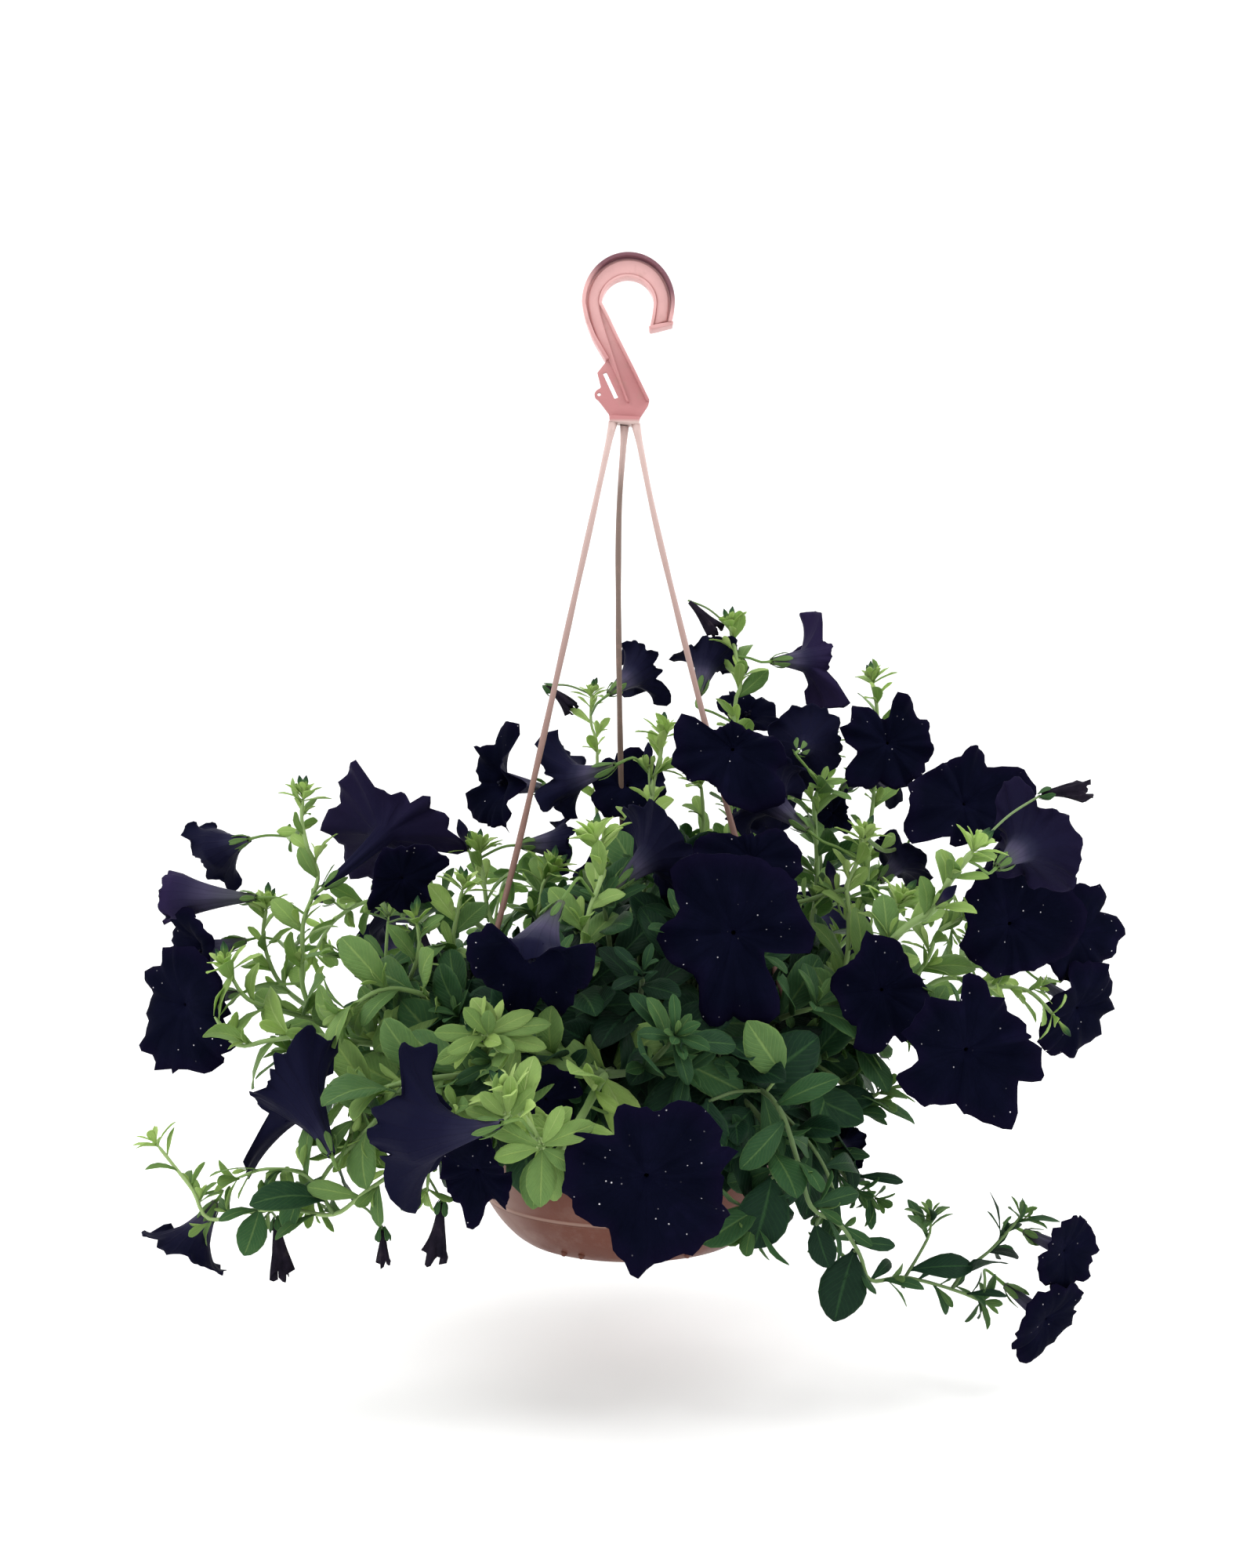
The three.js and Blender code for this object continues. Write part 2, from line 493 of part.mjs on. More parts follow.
// ---- hanger: legs ----
const LEG_TOPS = {
  left: V(-7.2, -1.6, -90.6),
  right: V(7, -1.6, -92.2),
  back: V(0, 2.4, -91.7),
};
const LEG_MIDDLES = {
  left: [V(-24, -15, -170), V(-62, -39, -345)],
  right: [V(23, -12, -170), V(62, -36, -330)],
  back: [V(-4, 24, -165), V(-2, 68, -330)],
};
function leg(name, top, middle, grow = 0) {
  const p = legPoint(name);
  const low = LUG_TOP_Z - LUG_T - GAP;
  const s = tube(
    [top, ...middle, V(p.x, p.y, LUG_TOP_Z + 14), V(p.x, p.y, low - 1.5)],
    LEG_R + grow,
    6,
    9,
  );
  const knob = weld(
    new THREE.CylinderGeometry(KNOB_R + grow, KNOB_R - 1 + grow, 3.2 + 2 * grow, 8),
  );
  knob.rotateX(Math.PI / 2);
  knob.translate(p.x, p.y, low - 1.6);
  return s.add(solid(knob));
}
const legs = {};
for (const name of Object.keys(LEG_TOPS))
  legs[name] = leg(name, LEG_TOPS[name], LEG_MIDDLES[name]);

// ---- leaves ----
// a thin pointed blade, thickest along its midrib, whose tip curls down
function blade(base, along, up, length, width, curl, grow = 0) {
  const g = weld(new THREE.OctahedronGeometry(1, 0));
  const q = g.attributes.position;
  const dir = along.clone().normalize();
  const side = new THREE.Vector3().crossVectors(dir, up).normalize();
  const top = new THREE.Vector3().crossVectors(side, dir).normalize();
  for (let i = 0; i < q.count; i++) {
    const s = (q.getZ(i) + 1) / 2;
    const l = s * length + 2.5 * grow * q.getZ(i);
    const x = q.getX(i) * (width / 2 + 1.5 * grow);
    const y =
      q.getY(i) * (LEAF_T + 1.6 * grow) - curl * length * s * s + 0.12 * length * s;
    const p = base
      .clone()
      .addScaledVector(dir, l)
      .addScaledVector(side, x)
      .addScaledVector(top, y);
    q.setXYZ(i, p.x, p.y, p.z);
  }
  return solid(g);
}

// ---- flowers ----
const LIMB_SIDES = 10;
function trumpet(face, dir, dia, length, flare, roll, grow = 0) {
  const R = dia / 2,
    g = grow,
    lift = 0.1 * R * flare;
  const wall = PETAL_T + g;
  const throat = 0.84 * length;
  const profile = [
    [0, -3 - g],
    [2.9 + g, -2.4 - g],
    [0.33 * R + g, throat - g],
    [R + g, length - lift - g],
    [R + g, length - lift + wall],
    [0.3 * R, throat + wall + 0.8],
    [0, throat - 1.5],
  ];
  const n = profile.length;
  const raw = new THREE.LatheGeometry(
    profile.map((p) => new THREE.Vector2(p[0], p[1])),
    LIMB_SIDES,
  );
  // the rim goes in and out between five lobes and the clefts between them
  const q = raw.attributes.position;
  const index = [];
  for (let i = 0; i <= LIMB_SIDES; i++)
    for (const j of [3, 4]) {
      const tip = i % 2 === 0;
      const v = i * n + j;
      q.setX(v, q.getX(v) * (tip ? 1 : 0.86));
      q.setZ(v, q.getZ(v) * (tip ? 1 : 0.86));
      q.setY(v, q.getY(v) + (tip ? -0.03 : 0.03) * R);
    }
  for (let i = 0; i < LIMB_SIDES; i++)
    for (let j = 0; j < n - 1; j++) {
      const a = j + i * n,
        b = a + n,
        c = b + 1,
        d = a + 1;
      // both sides of the limb fold along the same lines, out from the throat to each lobe's tip
      const fold = (j === 2 && i % 2 === 1) || (j === 4 && i % 2 === 0);
      index.push(...(fold ? [a, b, c, a, c, d] : [a, b, d, c, d, b]));
    }
  raw.setIndex(index);
  const lg = weld(raw);
  const base = face.clone().addScaledVector(dir, -length);
  const turn = new THREE.Quaternion().setFromUnitVectors(V(0, 1, 0), dir);
  const m = new THREE.Matrix4().compose(base, turn, V(1, 1, 1));
  lg.rotateY(roll);
  lg.applyMatrix4(m);
  return { s: solid(lg), base };
}
function flower(f, grow = 0) {
  const [name, , face, dia, facing, length, flare, from] = f;
  const dir = V(...facing).normalize();
  const roll = seeded(name.charCodeAt(1) * 131 + name.charCodeAt(2))() * 6.28;
  const { s, base } = trumpet(V(...face), dir, dia, length, flare, roll, grow);
  const start = V(...from);
  const end = base.clone().addScaledVector(dir, -1.2);
  const mid = start
    .clone()
    .lerp(end, 0.55)
    .addScaledVector(dir, -0.18 * start.distanceTo(end));
  return s.add(tube([start, mid, end], PEDICEL_R + grow, 4, 2));
}

// ---- shoots ----
const lines = {};
for (const [name, , parent, r0, r1, , , , pts] of SHOOTS) {
  const p = pts.map((q) => V(...q));
  lines[name] = { points: p, r: 0.5 * (r0 + r1), parent };
}
const stemSteps = (l) => Math.max(3, Math.min(9, l.points.length));
const stem = (name, grow = 0) => {
  const l = lines[name];
  const s = tube(l.points, l.r + grow, 4, stemSteps(l));
  if (!grow) return s;
  const g = weld(new THREE.SphereGeometry(1.5 * (l.r + grow), 8, 6));
  const e = l.points[l.points.length - 1];
  g.translate(e.x, e.y, e.z);
  return s.add(solid(g));
};
function leavesOf(row, index) {
  const [name, , parent, , r1, tip, scale] = row;
  const l = lines[name];
  const curve = new THREE.CatmullRomCurve3(l.points, false, "centripetal");
  const total = curve.getLength();
  const rnd = seeded(977 + index * 7919);
  const out = [];
  const n = Math.max(1, Math.min(4, Math.round(total / 46)));
  for (let i = 0; i < n; i++) {
    const u = 0.18 + (0.76 * (i + 0.5)) / n + 0.03 * (rnd() - 0.5);
    const at = curve.getPointAt(u),
      t = curve.getTangentAt(u);
    const a = 2.4 * i + rnd() * 0.8 + index;
    const ref = Math.abs(t.z) > 0.8 ? V(1, 0, 0) : V(0, 0, 1);
    const e1 = new THREE.Vector3().crossVectors(t, ref).normalize();
    const e2 = new THREE.Vector3().crossVectors(t, e1).normalize();
    const out1 = e1.multiplyScalar(Math.cos(a)).addScaledVector(e2, Math.sin(a));
    const dir = out1.clone().addScaledVector(t, 0.7).add(V(0, 0, 0.1)).normalize();
    const size = scale * (42 - 14 * u + 6 * rnd());
    if (at.z + dir.z * size < -572 && name[0] !== "R") continue;
    out.push([at, dir, t.clone().addScaledVector(out1, -0.6), size, size * (0.5 - 0.12 * u), 0.25 + 0.2 * rnd()]);
  }
  if (tip !== "none") {
    const at = l.points[l.points.length - 1].clone(),
      t = curve.getTangentAt(1);
    const ref = Math.abs(t.z) > 0.8 ? V(1, 0, 0) : V(0, 0, 1);
    const e1 = new THREE.Vector3().crossVectors(t, ref).normalize();
    const e2 = new THREE.Vector3().crossVectors(t, e1).normalize();
    for (let k = 0; k < 3; k++) {
      const a = (k * 2 * Math.PI) / 3 + index;
      const o = e1.clone().multiplyScalar(Math.cos(a)).addScaledVector(e2, Math.sin(a));
      const dir = o.clone().multiplyScalar(tip === "rosette" ? 1.2 : 0.6).add(t).normalize();
      const size = scale * (tip === "narrow" ? 24 : 27);
      out.push([at.clone().addScaledVector(t, -r1), dir, t.clone().addScaledVector(o, -0.5), size, size * (tip === "narrow" ? 0.28 : 0.42), 0.15]);
    }
  }
  return out;
}

// ---- clearances: slightly larger copies of the made pieces ----
const around = [
  lathe(
    [
      [0, POT_BASE_Z - GAP],
      [69.3, POT_BASE_Z - GAP],
      [75, -587.2],
      [88, -571],
      [97, -553],
      [101.4, -535],
      [101.7, -482.4],
      [POT_RIM_R - 0.6, -479.5],
      [POT_RIM_R + GAP, -474],
      [POT_RIM_R - 1.2, POT_RIM_Z + GAP],
      [99.6, POT_RIM_Z + GAP],
      [98.4, -479],
      [88, -478.6],
      [45, -476.1],
      [0, -474.6],
    ],
    POT_SIDES,
    POT_X,
  ),
];
for (const name of Object.keys(LEG_ANGLES)) {
  const g = weld(new THREE.BoxGeometry(15 + 2 * GAP, 17 + 2 * GAP, LUG_T + 2 * GAP));
  g.rotateZ(rad(LEG_ANGLES[name]));
  const c = legPoint(name, LUG_R - 1.2);
  g.translate(c.x, c.y, LUG_TOP_Z - LUG_T / 2);
  around.push(solid(g));
  around.push(leg(name, LEG_TOPS[name], LEG_MIDDLES[name], GAP));
}

// ---- stems ----
const groups = [...new Set(SHOOTS.map((s) => s[1]))];
const stems = {},
  stemsAround = {};
for (const node of groups) {
  const names = SHOOTS.filter((s) => s[1] === node).map((s) => s[0]);
  let s = cutBy(join(names.map((n) => stem(n))), around);
  s = cutBy(
    s,
    groups.filter((g) => stemsAround[g]).map((g) => stemsAround[g]),
  );
  stems[node] = largest(s);
  stemsAround[node] = join(names.map((n) => stem(n, GAP)));
}

// ---- flowers, cut clear of the stems that they cross and of each other ----
const blooms = {},
  bloomsAround = [];
const onShoot = Object.fromEntries(groups.map((g) => [g, []]));
for (const f of FLOWERS) {
  const [name, node] = f;
  let s = cutBy(flower(f), around);
  s = cutBy(
    s,
    groups.filter((g) => g !== node).map((g) => stemsAround[g]),
  );
  s = cutBy(
    s,
    bloomsAround.filter((b) => b.node !== node || !node).map((b) => b.s),
  );
  s = largest(s);
  if (node) onShoot[node].push(s);
  else blooms[name] = s;
  bloomsAround.push({ node, name, s: flower(f, GAP) });
}

// ---- leaves, joined to their stems wherever they have room ----
const plants = {},
  leavesAround = {};
for (const node of groups) {
  const pieces = [stems[node], ...onShoot[node]];
  const swollen = [];
  const obstacles = [
    ...around,
    ...groups.filter((g) => g !== node).map((g) => stemsAround[g]),
    ...bloomsAround.filter((b) => b.node !== node).map((b) => b.s),
    ...groups.filter((g) => leavesAround[g]).flatMap((g) => leavesAround[g]),
  ];
  SHOOTS.forEach((row, i) => {
    if (row[1] !== node) return;
    for (const leaf of leavesOf(row, i)) {
      const room = blade(...leaf, GAP);
      if (obstacles.some((o) => boxesMeet(room, o) && !room.intersect(o).isEmpty()))
        continue;
      pieces.push(blade(...leaf));
      swollen.push(room);
    }
  });
  plants[node] = largest(join(pieces));
  leavesAround[node] = swollen;
}

// a leaf tip that still reaches into a bloom takes a little off its petal
for (const name of Object.keys(blooms))
  for (const node of groups)
    if (
      boxesMeet(blooms[name], plants[node]) &&
      !blooms[name].intersect(plants[node]).isEmpty()
    )
      blooms[name] = largest(cutBy(blooms[name], leavesAround[node]));

// ---- the scene graph ----
function material(color, roughness) {
  return new THREE.MeshStandardMaterial({ color, roughness, metalness: 0 });
}
function mesh(name, whole, mat) {
  const m = tidy(whole).getMesh(),
    n = m.numProp;
  const v = new Float32Array(m.numVert * 3);
  for (let i = 0; i < m.numVert; i++)
    v.set(m.vertProperties.subarray(i * n, i * n + 3), i * 3);
  const g = new THREE.BufferGeometry();
  g.setAttribute("position", new THREE.BufferAttribute(v, 3));
  g.setIndex(new THREE.BufferAttribute(new Uint32Array(m.triVerts), 1));
  g.computeVertexNormals();
  const o = new THREE.Mesh(g, mat);
  o.name = name;
  return o;
}
const basket = new THREE.Group();
const holder = new THREE.Group();
const plant = new THREE.Group();
basket.add(holder, plant);
holder.add(mesh("pot", bowl, material(0x8d5a4c, 0.5)));
holder.add(mesh("hanger_hook", hook, material(0xb98577, 0.45)));
for (const name of Object.keys(legs))
  holder.add(mesh("hanger_strand_" + name, legs[name], material(0xb0887c, 0.45)));
plant.add(mesh("soil", mix, material(0x2c2018, 0.95)));
for (const node of groups)
  plant.add(mesh(node, plants[node], material(0x5f8a45, 0.6)));
for (const [name] of FLOWERS)
  if (blooms[name])
    plant.add(
      mesh("flower_" + name.slice(1).toLowerCase() + (name[0] === "G" ? "_back" : ""), blooms[name], material(0x17142c, 0.7)),
    );

export default basket;
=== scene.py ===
"""A hanging basket of near-black petunias: finish, foliage and blooms around the fixed frame.

Everything is built in metres in the frame's own coordinates: +Z up, -Y towards the viewer,
the origin at the point inside the hook's crown that the basket hangs by.
"""
import math

import bmesh
import bpy
import numpy as np
from mathutils import Matrix, Vector


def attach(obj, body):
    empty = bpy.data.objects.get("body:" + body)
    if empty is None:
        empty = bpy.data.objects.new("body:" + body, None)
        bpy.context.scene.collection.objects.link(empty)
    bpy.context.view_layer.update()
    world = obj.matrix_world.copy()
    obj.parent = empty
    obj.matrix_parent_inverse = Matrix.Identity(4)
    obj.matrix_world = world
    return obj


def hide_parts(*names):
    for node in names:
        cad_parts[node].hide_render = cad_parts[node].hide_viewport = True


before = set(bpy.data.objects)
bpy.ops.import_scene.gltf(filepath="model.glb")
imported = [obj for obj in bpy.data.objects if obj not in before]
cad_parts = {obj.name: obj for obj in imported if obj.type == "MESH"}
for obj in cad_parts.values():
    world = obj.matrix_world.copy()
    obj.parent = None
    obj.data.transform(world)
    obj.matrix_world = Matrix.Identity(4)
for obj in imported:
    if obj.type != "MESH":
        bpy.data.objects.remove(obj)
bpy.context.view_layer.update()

# ------------------------------------------------------------------ layout (mm)
# shoot: name, piece, shoot it branches from, radius at root and tip, tip form, leaf scale,
#        greenness (0 deep and darkened by painted shade, 1 fresh lime), points of its centre line
# flower: name, piece that carries it ("" for a piece of its own), centre of its face,
#        diameter, direction that it faces, tube length, flare, start of its stalk
SHOOTS = [
    ["L1","shoot_left_tall","",2.2,1.1,"lime",0.95,0.62,[[-38,-6,-478],[-94,-20,-451],[-142,-20,-458],[-176,-15,-461],[-189,-12,-456],[-198,-10,-441],[-199,-8,-414],[-198,-8,-398],[-192,-6,-381],[-190,-5,-369],[-196,-5,-355],[-200,-5,-336],[-199,-5,-322]]],
    ["L4","shoot_left_tall","L1",1.7,1.1,"narrow",1.00,0.50,[[-127,-21,-454],[-138,-30,-449],[-143,-36,-437],[-143,-38,-423],[-142,-38,-403],[-141,-38,-393]]],
    ["L2","shoot_left_low","",2.2,1.1,"leafy",1.15,0.60,[[-54,-34,-478],[-109,-55,-469],[-149,-66,-465],[-180,-68,-460],[-206,-66,-463],[-225,-64,-466],[-239,-62,-450]]],
    ["L3","shoot_left_low","L2",1.6,1.1,"narrow",1.00,0.45,[[-124,-60,-467],[-136,-66,-451],[-146,-66,-434],[-159,-66,-422],[-165,-66,-412]]],
    ["L5","shoot_left_front","",2.2,1.1,"leafy",1.10,0.55,[[-42,-62,-478],[-88,-122,-473],[-116,-134,-474],[-137,-134,-482],[-145,-134,-495],[-148,-134,-509]]],
    ["L6","shoot_trailing_left","",2.2,1.1,"narrow",0.95,0.75,[[-30,-76,-478],[-65,-140,-482],[-104,-152,-507],[-135,-152,-528],[-153,-150,-541],[-176,-148,-539],[-198,-144,-541],[-221,-141,-546],[-230,-140,-531],[-241,-138,-518],[-251,-137,-506]]],
    ["L7","shoot_left_inner","",1.9,1.1,"lime",1.00,0.65,[[-34,20,-478],[-71,8,-443],[-80,8,-408],[-86,10,-394],[-89,10,-372],[-92,10,-356]]],
    ["C1","shoot_back_thin","",1.6,0.8,"lime",0.75,0.80,[[-10,56,-478],[-17,90,-421],[-19,95,-341],[-19,95,-290],[-23,95,-273],[-23,95,-253]]],
    ["C2","shoot_centre","",2.2,1.1,"lime",1.00,0.70,[[2,6,-478],[4,-2,-421],[7,-2,-358],[16,0,-328],[18,0,-313],[22,0,-298],[24,0,-283]]],
    ["C3","shoot_centre_left","",2.2,1.1,"lime",1.10,0.70,[[-16,-30,-478],[-27,-85,-432],[-23,-100,-402],[-19,-104,-384],[-12,-100,-362],[-16,-98,-345]]],
    ["C8","shoot_centre_left","C3",2.2,1.1,"leafy",1.10,0.35,[[-23,-60,-454],[2,-72,-445],[33,-80,-426],[53,-78,-409]]],
    ["C5","shoot_front_drooping","",2.6,1.6,"lime",1.25,0.700,[[-2,-84,-478],[-10,-142,-469],[-23,-176,-486],[-36,-196,-499],[-47,-206,-481],[-56,-208,-467]]],
    ["C4","shoot_front_drooping","C5",2.2,1.1,"lime",1.10,0.64,[[-10,-142,-469],[-31,-140,-461],[-56,-150,-453],[-75,-163,-445]]],
    ["C6","shoot_front_drooping","C5",2.2,1.1,"rosette",1.35,0.25,[[-10,-142,-469],[10,-146,-465],[25,-160,-448]]],
    ["C7","shoot_top","",2.0,1.1,"lime",1.00,0.60,[[16,36,-478],[69,62,-418],[70,66,-340],[73,66,-265],[77,66,-246],[70,68,-210]]],
    ["R2","shoot_right_mid","",2.2,1.1,"lime",1.00,0.70,[[44,-18,-478],[116,-22,-453],[134,-24,-424],[136,-24,-390],[135,-24,-376],[142,-24,-360],[145,-24,-346]]],
    ["R1","shoot_right_mid","R2",2.2,1.1,"leafy",1.00,0.50,[[116,-22,-453],[116,16,-428],[124,36,-380],[123,36,-341],[122,34,-325],[125,28,-316]]],
    ["R3","shoot_right_front","",2.6,1.7,"lime",1.10,0.65,[[52,-44,-478],[120,-74,-450],[152,-94,-401],[172,-104,-384],[179,-112,-368],[192,-116,-350]]],
    ["R4","shoot_right_outer","",2.2,1.1,"lime",1.00,0.60,[[66,-2,-478],[160,12,-462],[200,16,-438],[230,8,-441],[251,0,-443],[266,-8,-458]]],
    ["R5","shoot_right_back","",1.8,1.1,"lime",1.00,0.60,[[42,48,-478],[148,74,-419],[166,84,-341],[170,86,-293],[171,86,-265],[167,86,-244]]],
    ["R6","shoot_trailing_right","",2.2,1.1,"narrow",1.00,0.35,[[48,-72,-478],[79,-134,-483],[92,-146,-514],[99,-146,-538],[115,-142,-549],[126,-136,-566],[133,-130,-582],[153,-122,-583],[180,-114,-592],[199,-108,-601]]],
    ["R6b","shoot_trailing_right","R6",1.3,0.9,"narrow",1.00,0.35,[[180,-114,-592],[189,-110,-582],[202,-106,-574],[218,-102,-559],[222,-100,-555]]],
    ["R6c","shoot_trailing_right","R6",1.2,0.9,"narrow",1.00,0.35,[[153,-122,-583],[161,-120,-571],[167,-120,-559],[167,-120,-550]]],
    ["R7","shoot_right_low","",2.2,1.1,"narrow",1.00,0.25,[[66,-46,-478],[95,-88,-488],[113,-82,-520],[126,-78,-539],[135,-75,-549]]],
    ["R8","shoot_right_low","R7",1.5,1.1,"leafy",1.00,0.25,[[105,-88,-504],[121,-84,-503],[134,-78,-501]]],
    ["R9","shoot_right_flowers","",2.2,1.1,"leafy",1.00,0.35,[[70,-26,-478],[121,-60,-468],[146,-72,-450],[173,-84,-449],[192,-92,-447]]],
    ["B1","shoot_back_left","",2.2,1.1,"lime",1.00,0.55,[[-41,26,-478],[-80,45,-420],[-125,62,-392],[-168,76,-392],[-196,88,-406],[-214,98,-432]]],
    ["B1b","shoot_back_left","B1",1.6,1.1,"lime",1.00,0.55,[[-115,58,-395],[-133,92,-402],[-153,132,-425],[-168,160,-462]]],
    ["B2","shoot_back_mid_left","",2.2,1.1,"narrow",1.00,0.55,[[-18,47,-478],[-35,83,-420],[-60,125,-390],[-83,163,-380],[-96,205,-405],[-102,227,-455],[-101,236,-520]]],
    ["B2b","shoot_back_mid_left","B2",1.6,1.1,"lime",1.00,0.55,[[-60,125,-390],[-58,150,-388],[-58,172,-396],[-62,188,-416],[-68,196,-438]]],
    ["B3","shoot_back_mid_right","",2.2,1.1,"lime",1.00,0.55,[[20,49,-478],[32,87,-425],[52,132,-392],[71,167,-372],[87,187,-330],[90,194,-290]]],
    ["B3b","shoot_back_mid_right","B3",1.6,1.1,"narrow",1.00,0.55,[[49,125,-397],[37,172,-405],[19,214,-440],[12,236,-490],[8,240,-548]]],
    ["B4","shoot_back_right","",2.2,1.1,"narrow",1.00,0.55,[[48,28,-478],[85,50,-425],[134,75,-398],[181,94,-385],[218,104,-405],[243,107,-450],[254,101,-510]]],
    ["B4b","shoot_back_right","B4",1.6,1.1,"lime",1.00,0.55,[[134,75,-398],[134,102,-360],[136,119,-320],[139,122,-285]]],
    ["TF01","shoot_left_tall","L1",1.4,1.1,"none",0.75,0.62,[[-200,-5,-339],[-209,13,-349],[-217,31,-348]]],
    ["TF03a","shoot_left_tall","L1",1.4,1.1,"none",0.75,0.62,[[-199,-8,-410],[-212,14,-418],[-224,36,-415]]],
    ["TF04c","shoot_left_tall","L4",1.4,1.1,"none",0.75,0.50,[[-141,-38,-393],[-146,-31,-385],[-147,-23,-372]]],
    ["TF12","shoot_top","C7",1.4,1.1,"none",0.75,0.60,[[72,66,-299],[72,105,-311],[73,144,-306]]],
    ["TF17","shoot_right_mid","R2",1.4,1.1,"none",0.75,0.70,[[145,-24,-346],[163,1,-356],[181,25,-352]]],
    ["TF19","shoot_right_outer","R4",1.4,1.1,"none",0.75,0.60,[[216,13,-438],[220,20,-424],[223,27,-399]]],
    ["TF19b","shoot_right_outer","R4",1.4,1.1,"none",0.75,0.60,[[234,7,-441],[237,30,-436],[240,53,-417]]],
    ["TF20","shoot_right_outer","R4",1.4,1.1,"none",0.75,0.60,[[238,5,-441],[245,31,-441],[251,57,-428]]],
    ["TF25c","shoot_right_mid","R2",1.4,1.1,"none",0.75,0.70,[[135,-24,-378],[98,-11,-388],[62,3,-381]]],
    ["TF29","shoot_left_front","L5",1.4,1.1,"none",0.75,0.55,[[-108,-133,-473],[-87,-124,-490],[-66,-115,-496]]],
    ["TG05","shoot_back_mid_right","B3b",1.4,1.1,"none",0.75,0.55,[[31,187,-414],[17,163,-414],[3,139,-401]]],
    ["TG07","shoot_back_mid_right","B3",1.4,1.1,"none",0.75,0.55,[[65,157,-380],[86,148,-407],[106,139,-420]]],
]
